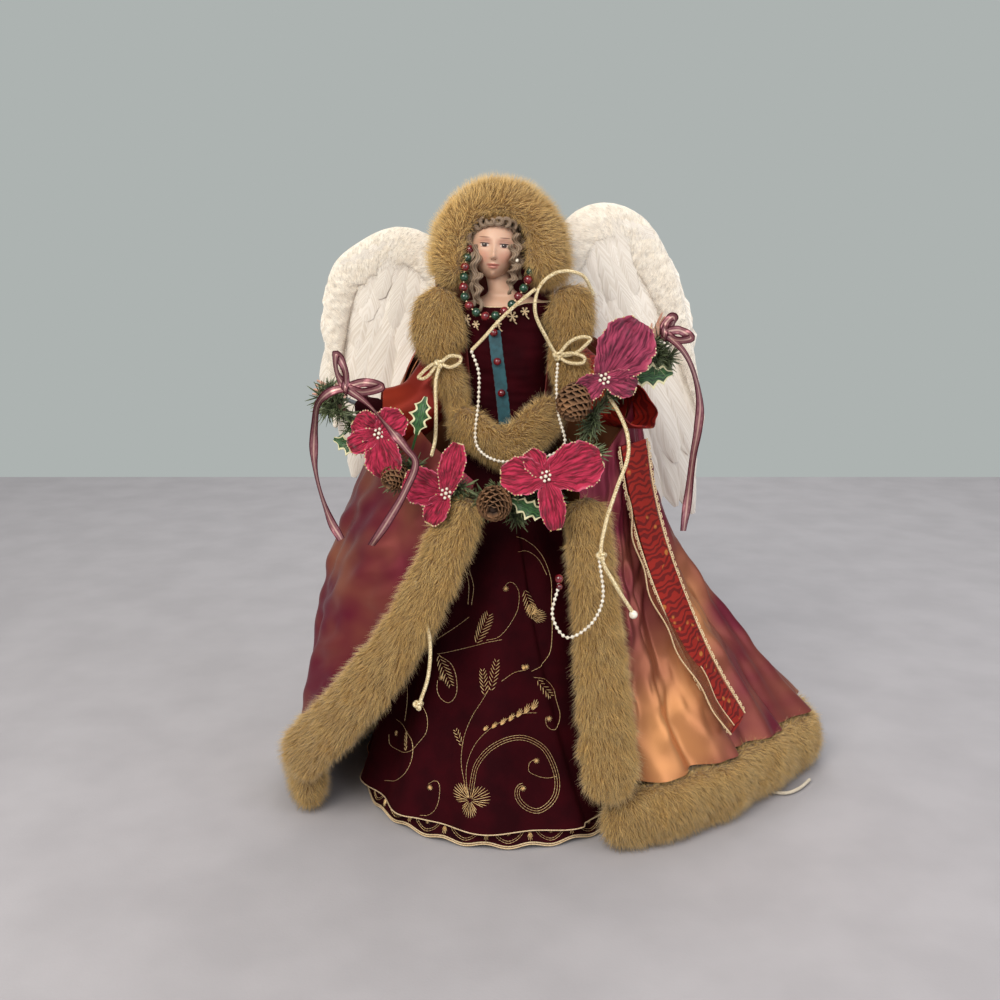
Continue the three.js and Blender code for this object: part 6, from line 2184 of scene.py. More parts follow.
    def _fringe(self) -> list[Shape]:
        """The short curls over the forehead."""
        made = []
        for index, side in enumerate((-0.95, -0.68, -0.42, -0.16, 0.12, 0.4, 0.68, 0.95)):
            angle = side * 1.05
            base = np.array(
                [
                    math.sin(angle) * self.half_width, -math.cos(angle) * self.half_depth * 0.93,
                    self.half_height * (0.8 - 0.3 * side * side),
                ]
            )
            share = np.linspace(0, 1, 34)[:, None]
            turned = share * TAU * 0.85 + index * 0.9
            way = np.array([math.cos(angle), math.sin(angle) * 0.8, 0.0])
            spiral = (3.4 - 1.9 * share) * (np.cos(turned) * way + np.sin(turned) * np.array([0, 0, 0.85]))
            path = base + spiral + [-self.lean + 1.0, -self.forward, HEAD_MIDDLE]
            radius = 1.55 * (0.55 + 0.45 * np.sin(math.pi * np.linspace(0.1, 0.95, 34)))
            made.append(self._ringlet(path, radius, 0.5, index))
        return made

    def _earring(self) -> None:
        """The pearl drop at the ear on the viewer's right."""
        self.kit.add("bust.earring", ball((5.4, -20.5, 351.5), 1.15, 13, 20), "pearl", "pearl")


@dataclass
class Bodice:
    """The velvet bodice with its teal placket, neckline sprigs and bead necklace."""

    kit: Kit
    ease: float = 1.5
    placket_width: float = 7.5
    placket_top: float = 309.3
    placket_length: float = 58.0
    chest_half_width: float = 27.0
    neck_scoop: float = 2.6
    bead_step: float = 5.75
    bead_size: float = 5.5
    button_radius: float = 2.5
    cloth: float = 1.1
    ribbon_thickness: float = 0.7

    def build(self) -> None:
        """Builds the bodice and its trims."""
        self._velvet()
        self._placket()
        self._sprigs()
        self._necklace()

    def _surface(self, turned: Array, height: Array, lift: float) -> Array:
        """Points on the bodice.

        Args:
            turned: Radians round from the front, towards the viewer's right.
            height: Height over the floor.
            lift: Millimetres outward from the torso.

        Returns:
            The points, with coordinates last.
        """
        wide, deep = torso(height, lift)
        bust = 2.2 * np.exp(-(((np.abs(turned) - 0.5) / 0.4) ** 2) - ((height - 292) / 11) ** 2)
        return np.stack([np.sin(turned) * (wide + bust), -np.cos(turned) * (deep + bust), height + 0 * turned], -1)

    def _velvet(self) -> None:
        """The velvet round the torso, drawn in at the neck and lightly creased."""
        turned, share = np.meshgrid(round_angles(160), np.linspace(0, 1, 64))
        turned = np.where(turned > math.pi, turned - TAU, turned)
        top = 325.6 - self.neck_scoop * np.exp(-(((turned + 0.2) / 0.5) ** 4))
        height = 236.3 + (top - 236.3) * share
        grid = self._surface(turned, height, self.ease)
        grid[..., :2] *= 1 - 0.035 * np.maximum(height - 321.4, 0)[..., None]
        crease = 0.35 * ripple(grid.reshape(-1, 3) * [1, 1, 2.2], 16, 4).reshape(height.shape)
        grid = grid + unit(grid * [1, 1, 0]) * crease[..., None]
        piece = self.kit.add("bodice.velvet", sheet(grid, self.cloth, True), "wine velvet", "velvet", "velvet_bodice")
        declare_sheet(piece, grid)
        rim = grid[-1] + [0, 0, 0.2]
        self.kit.add("bodice.neck_thread", tube(np.vstack([rim, rim[:2]]), 0.55, 6), "gold thread", "gold_thread")

    def _placket_line(self, share: Array, lift: float) -> Array:
        """The middle of the ribbon, which leans a little."""
        x = -7.4 + 5.4 * share
        height = self.placket_top - self.placket_length * share
        return self._surface(np.arcsin(x / self.chest_half_width), height, self.ease + lift)

    def _placket(self) -> None:
        """The teal ribbon with three red beads."""
        share = np.linspace(0, 1, 90)
        line = self._placket_line(share, 1.2)
        wide = np.linspace(-1, 1, 12)
        half = (1 + 0.03 * np.sin(share * 90)) * self.placket_width / 2
        grid = line[:, None] + np.array([1.0, 0.12, 0.09]) * (wide[None, :] * half[:, None])[..., None]
        ribbon = sheet(grid, self.ribbon_thickness)
        self.kit.add("placket.ribbon", ribbon, "teal ribbon", "teal_ribbon", "placket_ribbon")
        beads = self._placket_line(np.array([0.02, 0.32, 0.66]), 2.6)
        shape = gather([ball(spot, self.button_radius, 13, 20) for spot in beads])
        self.kit.add("placket.beads", shape, "ruby bead", "bead")

    def _sprigs(self) -> None:
        """The small gold flowers sewn along the neckline."""
        made = []
        for x, z, size in ((-24.5, 316, 1.0), (-6, 313.5, 0.8), (2.5, 318, 1.1), (9.5, 321, 0.9), (-19, 313, 0.8)):
            centre = self._surface(np.arcsin(np.array([x / 31.0])), np.array([z]), 3.4)[0]
            for petal in range(6):
                angle = TAU * petal / 6
                way = np.array([math.cos(angle), -0.1, math.sin(angle)]) * 2.3 * size
                made.append(tube(np.array([centre, centre + way * 0.5, centre + way]), 0.42, 6))
                made.append(ball(centre + way, 0.75 * size, 5, 8))
            stem = np.array([centre, centre + [0.8, 0.2, -2.6], centre + [2.6, 0.6, -4.6]])
            made.append(tube(even(stem, 10), 0.36, 6))
        self.kit.add("bodice.sprigs", gather(made), "gold thread", "gold_thread")

    def _necklace(self) -> None:
        """Red and green beads in turn on a thread."""
        route = [
            (-23.5, -15, 358), (-26, -20, 350), (-27, -22, 340), (-26.5, -25, 330), (-21, -28, 322),
            (-13, -30, 318.5), (-5, -30, 320), (2, -29, 325.5), (8, -27, 333), (12.5, -23, 341), (14.5, -17, 350),
        ]
        count = int(length_of(even(route, 300)) / self.bead_step)
        spots = even(route, count)
        self.kit.add("necklace.thread", tube(even(route, 80), 0.4, 6), "gold thread", "gold_thread", "bead_necklace")
        for label, first, finish in (("red", 0, "ruby bead"), ("green", 1, "green bead")):
            shape = gather([ball(spot, self.bead_size / 2, 13, 20) for spot in spots[first::2]])
            self.kit.add(f"necklace.{label}_beads", shape, finish, "bead")


# The feather wings.


@dataclass
class Wings:
    """The two wings: rows of real feathers glued on a card leaf, from long primaries to down."""

    kit: Kit
    arch_points: int = 4
    rounding: int = 60
    down_width: float = 25.0
    down_reach: float = 3.0
    down_depth: float = 3.4
    # Each row: how many feathers, the shares of the way at which they start and end, their lift and their width.
    long_rows: tuple = ((11, 0.2, 1.0, 0.0, 25), (10, 0.16, 0.86, 1.2, 24), (10, 0.12, 0.6, 2.2, 22))
    # The same without the lift, which grows from row to row.
    short_rows: tuple = ((13, 0.1, 0.46, 17), (15, 0.07, 0.36, 15), (17, 0.05, 0.27, 13))
    arms: dict[Side, Array] = field(
        default_factory=lambda: {
            Side.LEFT: high_share(
                [[-0.056, 0.112, 0.788], [-0.1, 0.114, 0.888], [-0.18, 0.116, 0.926], [-0.268, 0.128, 0.883]]
            ),
            Side.RIGHT: high_share(
                [[0.056, 0.112, 0.832], [0.1, 0.114, 0.94], [0.16, 0.116, 0.964], [0.222, 0.124, 0.94]]
            ),
        }
    )
    tips: dict[Side, Array] = field(
        default_factory=lambda: {
            Side.LEFT: high_share(
                [
                    [-0.075, 0.14, 0.518], [-0.14, 0.168, 0.443], [-0.215, 0.176, 0.428], [-0.272, 0.168, 0.508],
                    [-0.297, 0.158, 0.588], [-0.303, 0.146, 0.678], [-0.303, 0.136, 0.788], [-0.285, 0.126, 0.873],
                ]
            ),
            Side.RIGHT: high_share(
                [
                    [0.09, 0.14, 0.5], [0.17, 0.17, 0.44], [0.255, 0.18, 0.425], [0.325, 0.182, 0.42],
                    [0.346, 0.176, 0.48], [0.34, 0.166, 0.6], [0.32, 0.15, 0.69], [0.296, 0.138, 0.79],
                    [0.262, 0.128, 0.88],
                ]
            ),
        }
    )

    def build(self) -> None:
        """Builds both wings and dresses their card leaves."""
        for side in Side:
            self._long(side)
            self._coverts(side)
            self._down(side)
            self.kit.dress(f"wing_frame_{side.value}", "white card")

    def _feather(self, bend: float, ragged: float, seed: int) -> Shape:
        """One feather, a millimetre long and wide: two vanes on a shaft, split near the tip.

        Args:
            bend: How far its tip curls back, as a share of its length.
            ragged: How deep the splits in its edge are.
            seed: Fixes the splits.

        Returns:
            The feather, from its root at the origin up along Z, facing along X.
        """
        random = np.random.default_rng(seed)
        rows, columns = 15, 9
        share = np.linspace(0, 1, rows)
        wide = np.linspace(-1, 1, columns)
        outline = np.interp(share, [0, 0.08, 0.3, 0.62, 0.85, 0.95, 1], [0.1, 0.45, 0.9, 1.0, 0.85, 0.55, 0.16])
        rough = 1 - ragged * random.uniform(0, 1, (rows, columns)) * np.abs(wide)[None, :] ** 3
        y = wide[None, :] * outline[:, None] / 2 * rough
        drop = 0.016 * (1 - np.abs(wide[None, :])) * outline[:, None]
        z = share[:, None] - 0.05 * np.abs(wide)[None, :] * (1 - share[:, None])
        x = drop - bend * share[:, None] ** 2 + 0.0015 * random.normal(size=(rows, columns))
        grid = np.stack([x + 0 * y, y, z + 0 * y], axis=-1)
        return bladed(sheet(grid, 0.006), wide, z)

    def _row(
        self, side: Side, shares: tuple[Array, Array], root: Array, tip: Array, lift: Array, width: Array, seed: int,
    ) -> tuple[Array, Array, Array, Array]:
        """Where a row of feathers goes: spots, ways, facings and sizes.

        Args:
            side: The wing.
            shares: Each feather's places along the wing's arm and along its edge.
            root: Where each root lies, as a share of the way from arm to edge.
            tip: Where each tip lies, measured the same.
            lift: Millimetres towards the front at root and tip, two columns.
            width: Each feather's width.
            seed: Fixes the small differences.

        Returns:
            The rows' arrays.
        """
        random = np.random.default_rng(seed)
        arm = along(self.arms[side], shares[0])
        edge = along(self.tips[side], shares[1])
        start = arm + (edge - arm) * root[:, None]
        end = arm + (edge - arm) * tip[:, None]
        end = end + random.normal(0, 1.1, end.shape) * [1, 0.25, 1]
        start[:, 1] -= lift[:, 0]
        end[:, 1] -= lift[:, 1]
        way = end - start
        long = np.linalg.norm(way, axis=1)
        facing = np.tile([0.0, -1.0, 0.0], (len(arm), 1)) + random.normal(0, 0.05, (len(arm), 3))
        size = np.column_stack([long * 0.9, width, long])
        return start, way, facing, size

    def _grow(self, name: str, side: Side, rows: list, variants: int, ragged: float, replaces: tuple[str, ...]) -> None:
        """Scatters feathers over a wing and gathers them into one piece."""
        spots, ways, facings, sizes = (np.vstack([row[k] for row in rows]) for k in range(4))
        feathers = [self._feather(0.02 + 0.015 * k, ragged, 40 + k) for k in range(variants)]
        piece = self.kit.place(name, feathers, spots, ways, facings, sizes, "white feather")
        self.kit.finish(piece, None, "feather", replaces, f"wing_{side.value}")

    def _long(self, side: Side) -> None:
        """The primaries and secondaries, which fan out steeply from the arch."""
        rows = []
        for index, (count, root, tip, low, wide) in enumerate(self.long_rows):
            arm = np.linspace(0.02, 0.97, count) + 0.02 * (index % 2)
            spread = arm * (0.6 + 0.2 * arm)
            drop = 0.04 * np.sin(np.arange(count) * 2.3)
            lift = np.column_stack([np.full(count, low), np.full(count, low - 0.3)])
            rows.append(
                self._row(side, (arm, spread), np.full(count, root), tip + drop, lift, np.full(count, wide), 61 + index)
            )
        name = f"wing_feathers_{side.value}"
        self._grow(f"{name}.vanes", side, rows, 4, 0.22, (name,))

    def _outline(self, side: Side) -> Array:
        """The arch's outer line, from its inner end over the top and down the outer side."""
        return even(np.vstack([self.arms[side], self.tips[side][: -self.arch_points - 1 : -1]]), 200)

    def _coverts(self, side: Side) -> None:
        """The shorter feathers over the roots of the long ones."""
        rows = []
        for index, (count, root, tip, wide) in enumerate(self.short_rows):
            arm = np.linspace(0.01, 0.98, count)
            reach = tip + 0.03 * np.sin(np.arange(count) * 1.9)
            lift = np.tile([3.6 + 1.3 * index, 2.9 + 0.7 * index], (count, 1))
            places = (arm, arm * (0.6 + 0.2 * arm))
            rows.append(self._row(side, places, np.full(count, root), reach, lift, np.full(count, wide), 71 + index))
        name = f"wing_coverts_{side.value}"
        self._grow(f"{name}.vanes", side, rows, 3, 0.3, (name,))

    def _down(self, side: Side) -> None:
        """The smooth band of soft down that rounds the arch and runs down its outer side."""
        outline = self._outline(side)
        for _ in range(self.rounding):
            outline[1:-1] = (outline[:-2] + outline[2:]) / 2
        ahead = unit(np.gradient(outline, axis=0))
        inward = unit(np.cross(ahead, [0.0, 1.0, 0.0])) * -side.sign
        width = self.down_width / 2 * np.interp(np.linspace(0, 1, 200), [0, 0.1, 0.5, 1], [0.75, 1, 1, 0.12])
        path = outline + inward * (width - self.down_reach)[:, None] - [0, 2.4, 0]
        shape = roll(path, width, np.minimum(width * 0.5, self.down_depth), to_front, 28, (True, True))
        shape.corners = shape.corners + 0.35 * ripple(shape.corners, 5, 33)[:, None] * [0.3, 1, 0.3]
        fall = np.r_[np.repeat(ahead * 0.6 + inward * 0.9, 28, 0), ahead[:1], ahead[-1:]]
        shape.values["comb"] = fall * 1.6
        piece = self.kit.grow_pile(
            f"wing_coverts_{side.value}.down", shape, ("white down", "down felt"), 3.4, 0.13, 1.3, 31
        )
        self.kit.finish(piece, None, "feather", (), f"wing_{side.value}")


# The garland: pine twigs on a wire, poinsettias, holly, pinecones and ribbon bows.


def bladed(cloth: Shape, across: Array, run: Array, lane: float = 0.0) -> Shape:
    """A cloth that keeps, on both its sides, each place's share across, its share along and its lane."""
    place = np.stack(np.broadcast_arrays(across[None, :], run, lane), -1).reshape(-1, 3)
    return cloth.keeping(blade=np.vstack([place, place]))


@dataclass(frozen=True)
class Blade:
    """A petal's or leaf's place: its base, the way it faces, its turn and its size in millimetres."""

    base: Array
    facing: Array
    turns: float
    length: float
    width: float

    def grid(self, share: Array, wide: Array, half: Array, arch: float, cup: float) -> Array:
        """Points on the blade.

        Args:
            share: Shares of the way from base to tip.
            wide: Shares of the way across, from -1 to 1.
            half: The outline's half width at each share.
            arch: How far the middle bulges, as a share of the length.
            cup: How far the edges lift, as a share of the half width.

        Returns:
            The points by row, by column and by coordinate.
        """
        out = unit(self.facing)
        side = unit(np.array([1.0, 0, 0]) - out * out[0])
        up = -np.cross(side, out)
        way = up * math.cos(self.turns * TAU) + side * math.sin(self.turns * TAU)
        across = np.cross(way, out)
        middle = self.base + np.outer(share * self.length, way)
        middle = middle + np.outer(self.length * arch * np.sin(math.pi * share * 0.9), out)
        spread = wide[None, :] * half[:, None]
        lift = np.abs(spread) * cup
        return middle[:, None] + spread[..., None] * across + lift[..., None] * out


@dataclass
class Garland:
    """The garland that is tied between the hands."""

    kit: Kit
    stem_diameter: float = 4.0
    stalk_diameter: float = 1.6
    needle_length: float = 10.5
    twigs: int = 44
    twig_length: float = 17.0
    petal_length: float = 27.0
    petal_width: float = 21.0
    holly_length: float = 24.0
    holly_width: float = 13.0
    cone_length: float = 23.0
    cone_diameter: float = 21.0
    cloth: float = 0.5
    edge_bead_radius: float = 0.55
    edge_bead_step: float = 1.9
    needles_on_twig: int = 62
    needles_on_stem: int = 700
    scales: int = 92
    # Radians from one scale to the next: the golden angle, as in a real cone.
    scale_turn: float = 2.39996
    route: Array = field(
        default_factory=lambda: high_share(
            [
                [-0.285, -0.085, 0.675], [-0.244, -0.13, 0.66], [-0.195, -0.12, 0.598], [-0.12, -0.158, 0.555],
                [-0.04, -0.178, 0.536], [0.03, -0.185, 0.548], [0.09, -0.18, 0.6], [0.14, -0.165, 0.68],
                [0.19, -0.16, 0.75], [0.24, -0.13, 0.735],
            ]
        )
    )
    # Each flower's middle, facing and petals; each leaf's middle, facing, turn and size; each cone's the same.
    flowers: tuple = (
        (
            (-0.188, -0.165, 0.632), (-0.15, -1, 0.1),
            ((-0.17, 0.62, 0.8), (0.15, 0.68, 0.85), (0.46, 0.98, 0.95), (-0.32, 0.75, 0.6)),
        ),
        ((-0.09, -0.2, 0.55), (-0.1, -1, 0.15), ((0.04, 1.1, 0.65), (-0.2, 0.95, 0.95), (-0.42, 0.75, 0.6))),
        (
            (0.052, -0.217, 0.578), (0.05, -1, 0.25),
            ((0.2, 1.25, 1.2), (-0.25, 0.95, 0.95), (0.47, 1.15, 0.65), (-0.1, 0.65, 0.6)),
        ),
        ((0.135, -0.195, 0.715), (0.05, -1, 0.1), ((0.09, 1.4, 1.4), (-0.33, 0.7, 0.65), (0.29, 0.7, 0.7))),
    )
    leaves: tuple = (
        ((-0.128, -0.165, 0.658), (-0.1, -1, 0.2), 0.04, 0.95), ((-0.236, -0.142, 0.61), (-0.2, -1, 0), 0.3, 0.9),
        ((0.03, -0.222, 0.532), (0, -1, -0.1), 0.32, 0.95), ((0.205, -0.178, 0.718), (0.2, -1, 0), 0.24, 1.1),
    )
    pinecones: tuple = (
        ("left", (-0.165, -0.172, 0.572), (-0.5, -0.7, -0.5), 0.8),
        ("middle", (-0.02, -0.232, 0.545), (-0.1, -1, -0.3), 1.0),
        ("right", (0.093, -0.205, 0.687), (-0.3, -0.6, -1), 1.0),
    )

    def build(self) -> None:
        """Builds the stem and everything that is wired to it."""
        self.stem = even(self.route, 160)
        self._stem()
        for index, (centre, facing, petals) in enumerate(self.flowers):
            self._flower(f"poinsettia_{index + 1}", centre, facing, petals)
        for index, (centre, facing, turns, size) in enumerate(self.leaves):
            self._holly(f"holly_leaf_{index + 1}", centre, facing, turns, size)
        for name, centre, facing, size in self.pinecones:
            self._cone(f"pinecone_{name}", np.array(centre) * HEIGHT, unit(np.array(facing, float)), size)

    def _stalk(self, spot: Array) -> Shape:
        """The wire stalk from a piece to the stem's nearest point."""
        far = np.linalg.norm(self.stem - spot, axis=1)
        return tube(np.linspace(spot, self.stem[far.argmin()], 6), self.stalk_diameter / 2, 6).keeping()

    def _stem(self) -> None:
        """The wrapped wire and its pine twigs."""
        random = np.random.default_rng(21)
        wires = [tube(self.stem, self.stem_diameter / 2 * (1 + 0.1 * np.sin(np.arange(160) * 2.1)), 8)]
        spots, ways = [], []
        ahead = unit(np.gradient(self.stem, axis=0))
        for index in range(self.twigs + 1):
            if index < self.twigs:
                share = (index + 0.5) / self.twigs
                place = int(159 * (share - 0.07 * math.sin(2 * TAU * share)))
                angle = index * 2.4
                out = np.array([0.35 * math.cos(angle), -0.5 - 0.4 * math.sin(angle * 1.7), math.sin(angle)])
                inner = 1 if index < 4 else -1 if index > self.twigs - 5 else 1 if index % 3 else -1
                way = unit(out + ahead[place] * 0.9 * inner)
                length = self.twig_length * random.uniform(0.7, 1.15) * (1 - 0.5 * abs(2 * share - 1) ** 6)
                path = self.stem[place] + np.outer(np.linspace(0, length, 12), way)
                path[:, 2] -= 1.6 * np.linspace(0, 1, 12) ** 2
                wires.append(tube(path, 0.5, 5))
                count = self.needles_on_twig
            else:
                path, count = self.stem, self.needles_on_stem
            along_path = unit(np.gradient(path, axis=0))
            picked = random.uniform(0, len(path) - 1.01, count).astype(int)
            loose = unit(random.normal(size=(count, 3)))
            spots.append(path[picked] + loose * 0.3)
            ways.append(unit(loose + along_path[picked] * 0.75))
        spot, way = np.vstack(spots), np.vstack(ways)
        self.kit.add("garland_stem.wire", gather(wires).keeping(), "wrapped wire", "pine", "garland_stem")
        long = self.needle_length * random.uniform(0.6, 1.05, len(spot))
        size = np.column_stack([np.full(len(spot), 1.0), np.full(len(spot), 1.0), long])
        needles = self.kit.place(
            "garland_stem.needles", self._needle(), spot, way, np.roll(way, 1, 1), size, "pine needle"
        )
        self.kit.finish(needles, None, "pine")

    def _needle(self) -> Shape:
        """One flat plastic needle, a millimetre long, that curves a little."""
        share = np.array([0, 0.35, 0.7, 1.0])
        angle = np.arange(4) * TAU / 4
        size = np.array([0.4, 0.5, 0.42, 0.1])[:, None]
        rings = np.stack(
            [
                np.cos(angle) * size * 0.5 + 0.6 * share[:, None] ** 2, np.sin(angle) * size,
                np.repeat(share[:, None], 4, 1),
            ],
            axis=-1,
        )
        shape = loft(rings)
        return shape.keeping(along=shape.values["run"])

    def _flower(self, name: str, centre: tuple, facing: tuple, petals: tuple) -> None:
        """One poinsettia: veined petals with beaded gold edges and a heart of beads.

        Args:
            name: The CAD node that it stands for.
            centre: Its middle, as shares of the height.
            facing: The way that it faces.
            petals: For each petal its turn, its length and its width, as shares of the usual ones.
        """
        spot, out = np.array(centre) * HEIGHT, unit(np.array(facing, float))
        share, wide = np.linspace(0, 1, 28), np.linspace(-1, 1, 25)
        cloths, beads = [], []
        for index, (turns, long, broad) in enumerate(petals):
            length, width = self.petal_length * long, self.petal_width * broad
            half = width / 2 * np.maximum(np.sin(math.pi * (0.07 + 0.87 * share**1.2)) ** 0.55, 0.12)
            half = half * (1.1 + 0.04 * np.sin(share * 19 + index) + 0.03 * np.sin(share * 47))
            blade = Blade(spot + out * (0.25 * index), out, turns, length, width)
            grid = blade.grid(share, wide, half, 0.16, 0.28)
            fan = wide[None, :] / (share[:, None] + 0.35)
            places = grid.reshape(-1, 3)
            waves = 1.2 * ripple(places, 9, index + 5) + 0.55 * ripple(places, 3.4, index + 15)
            crinkle = 0.4 * np.sin(fan * 17 + index) * (0.3 + share[:, None]) + waves.reshape(fan.shape)
            grid = grid + crinkle[..., None] * out
            cloths.append(bladed(sheet(grid, self.cloth), wide, share[:, None], index * 3.1))
            edge = np.vstack([grid[2:, 0], grid[-1, 1:-1], grid[:1:-1, -1]])
            count = int(length_of(edge) / self.edge_bead_step)
            rim = np.linspace(0, len(edge) - 1, count)
            edge = np.column_stack([np.interp(rim, np.arange(len(edge)), edge[:, k]) for k in range(3)])
            sewn = ripple(edge, 7, index + 25) > 0.1
            beads += [ball(point + out * 0.2, self.edge_bead_radius, 4, 6) for point in edge[sewn]]
        stalk = self._stalk(spot)
        stalk = stalk.keeping(blade=np.zeros_like(stalk.corners))
        finish = "wine petal" if name == "poinsettia_4" else "crimson petal"
        self.kit.add(f"{name}.petals", gather([*cloths, stalk]), finish, "crimson_cloth", name)
        self.kit.add(f"{name}.beaded_edge", gather(beads), "gold glitter", "gold_thread")
        side = unit(np.array([1.0, 0, 0]) - out * out[0])
        up = np.cross(out, side)
        hearts = [ball(spot + out * 2.6, 1.15, 9, 14)]
        for k in range(6):
            angle = TAU * k / 6 + 0.3
            hearts.append(ball(spot + out * 2.7 + (side * math.cos(angle) + up * math.sin(angle)) * 2.7, 0.95, 9, 14))
        self.kit.add(f"{name}.heart", gather(hearts), "pearl", "pearl")

    def _holly(self, name: str, centre: tuple, facing: tuple, turns: float, size: float) -> None:
        """One variegated holly leaf with spines and a cream margin.

        Args:
            name: The CAD node that it stands for.
            centre: Its middle, as shares of the height.
            facing: The way that it faces.
            turns: Its turn about that way.
            size: Its size, as a share of the usual one.
        """
        out = unit(np.array(facing, float))
        length, width = self.holly_length * size, self.holly_width * size
        share, wide = np.linspace(0, 1, 41), np.linspace(-1, 1, 11)
        spine = np.abs((share * 4.0) % 1.0 - 0.5) * 2
        half = width / 2 * np.maximum(np.sin(math.pi * (0.06 + 0.9 * share)) * (0.62 + 0.5 * spine**1.6), 0.09)
        blade = Blade(np.array(centre) * HEIGHT, out, turns, length, width)
        grid = blade.grid(share, wide, half, 0.08, 0.35)
        grid = grid - (grid[20, 5] - blade.base)
        grid = grid + (0.4 * np.sin(share * 25)[:, None] * np.abs(wide)[None, :])[..., None] * out
        cloth = bladed(sheet(grid, self.cloth), wide, share[:, None])
        stalk = self._stalk(grid[3, 5])
        stalk = stalk.keeping(blade=np.zeros_like(stalk.corners))
        self.kit.add(f"{name}.blade", gather([cloth, stalk]), "holly leaf", "holly", name)

    def _cone(self, name: str, centre: Array, way: Array, size: float) -> None:
        """One pinecone: woody scales that overlap in a spiral round a core.

        Args:
            name: The CAD node that it stands for.
            centre: Its middle.
            way: The way that its tip points.
            size: Its size, as a share of the usual one.
        """
        out = unit(np.cross(way, [0.3, 0.2, 1.0]))
        side = np.cross(way, out)
        share = (np.arange(self.scales) + 0.5) / self.scales
        angle = np.arange(self.scales) * self.scale_turn
        swell = np.sin(math.pi * (0.1 + 0.8 * share)) ** 0.75
        radial = np.cos(angle)[:, None] * out + np.sin(angle)[:, None] * side
        radius = self.cone_diameter / 2 * size * swell
        spots = centre + np.outer((share - 0.5) * self.cone_length * size * 0.86, way)
        spots = spots + radial * (radius * 0.45)[:, None]
        ways = unit(radial + way * (0.25 + 1.0 * share[:, None] ** 2))
        long = radius * 0.62
        scales = self.kit.place(
            f"{name}.scales", self._scale(), spots, ways, np.tile(way, (self.scales, 1)),
            np.column_stack([long * 0.9, long * 1.05 + 0.8, long]), "pinecone scale",
        )
        self.kit.finish(scales, None, "pinecone", (name,))
        rings = np.linspace(0, 1, 14)
        turned = round_angles(20)
        swell = np.sin(math.pi * (0.05 + 0.9 * rings)) * self.cone_diameter * size * 0.31
        core = centre + ((rings - 0.5) * self.cone_length * size * 0.9)[:, None, None] * way
        core = core + swell[:, None, None] * (
            np.cos(turned)[None, :, None] * out + np.sin(turned)[None, :, None] * side
        )
        self.kit.add(f"{name}.core", gather([loft(core).keeping(), self._stalk(centre)]), "cone core", "pinecone")

    def _scale(self) -> Shape:
        """One cone scale, a millimetre long: a rounded woody tongue with a thick lip."""
        share, wide = np.linspace(0, 1, 6), np.linspace(-1, 1, 5)
        outline = np.interp(share, [0, 0.5, 0.85, 1], [0.3, 0.48, 0.42, 0.16])
        y = wide[None, :] * outline[:, None]
        x = 0.34 * share[:, None] ** 3 - 0.25 * wide[None, :] ** 2 * share[:, None] * 0.6
        grid = np.stack(np.broadcast_arrays(x, y, share[:, None]), -1)
        shape = sheet(grid, 0.13)
        run = np.repeat(share**1.6, 5)
        shape.values = {"along": np.r_[run, run]}
        return shape


@dataclass
class Bows:
    """The two narrow ribbons, tied in bows at the garland's ends."""

    kit: Kit
    width: float = 5.2
    thickness: float = 0.5
    knot_narrowing: float = 0.85

    def build(self) -> None:
        """Builds both bows."""
        self._bow(
            Side.LEFT, (-95.5, -60, 279), (((-100, -62, 299), (2.2, 0, 1)), ((-74, -62, 280), (0, 1, 2.6))),
            (
                [(-95.5, -60, 279), (-104, -62, 277), (-112, -60, 270), (-114.5, -58, 259), (-116, -56, 233),
                (-108, -58, 200), (-101, -60, 187)],
                [(-95.5, -60, 279), (-84, -68, 272), (-70, -86, 262), (-57, -100, 250), (-52, -101, 243),
                (-58, -96, 226), (-70, -88, 205), (-80, -84, 190)],
            ),
        )
        self._bow(
            Side.RIGHT, (88.5, -70, 312), (((104, -70, 309), (1, 1, 2.6)), ((94, -68, 321), (2.2, 1, 0))),
            (
                [(88.5, -70, 312), (99, -72, 302), (106, -70, 290), (111, -68, 272), (111, -66, 256),
                (109, -66, 240), (106, -68, 211), (104, -70, 195)],
            ),
        )

    def _bow(self, side: Side, knot: tuple, loops: tuple, tails: tuple) -> None:
        """One bow: loops, tails and a wrapped knot.

        Args:
            side: The hand that it hangs beside.
            knot: The knot's middle.
            loops: Each loop's tip and how far its two halves spread.
            tails: Each tail's route.
        """
        strips = [self._strip([*loop_knots(knot, tip, spread), knot]) for tip, spread in loops]
        strips += [self._strip(tail) for tail in tails]
        name = f"ribbon_bow_{side.value}"
        self.kit.add(f"{name}.ribbon", gather(strips), "sheer ribbon", "ribbon", name)
        turned = np.linspace(0, TAU, 25)[:-1]
        ring = knot + np.column_stack([0 * turned, np.cos(turned) * 2.6, np.sin(turned) * 3.1])
        wrap = self._strip(np.vstack([ring, ring[:1]]), self.knot_narrowing)
        self.kit.add(f"{name}.knot", wrap, "sheer ribbon", "ribbon")

    def _strip(self, route: Rows, narrow: float = 1.0) -> Shape:
        """A ribbon along a route, turning a little as it goes."""
        path = even(route, 90)
        share = np.linspace(0, 1, 90)
        facing = np.column_stack([1.5 * np.sin(share * 7), -1 + 0 * share, 0.7 * np.cos(share * 5)])
        ahead = unit(np.gradient(path, axis=0))
        across = unit(np.cross(ahead, facing))
        wide = np.linspace(-1, 1, 13)
        half = self.width / 2 * narrow
        out = np.cross(across, ahead)
        curl = 0.35 * np.abs(wide)[None, :] ** 3 * np.sin(share * 12)[:, None]
        grid = path[:, None] + (across * half)[:, None] * wide[None, :, None] + out[:, None] * curl[..., None]
        return bladed(sheet(grid, self.thickness), wide, share[:, None] * length_of(path) / 10)


# The finishes, the kept CAD nodes and the order of work.


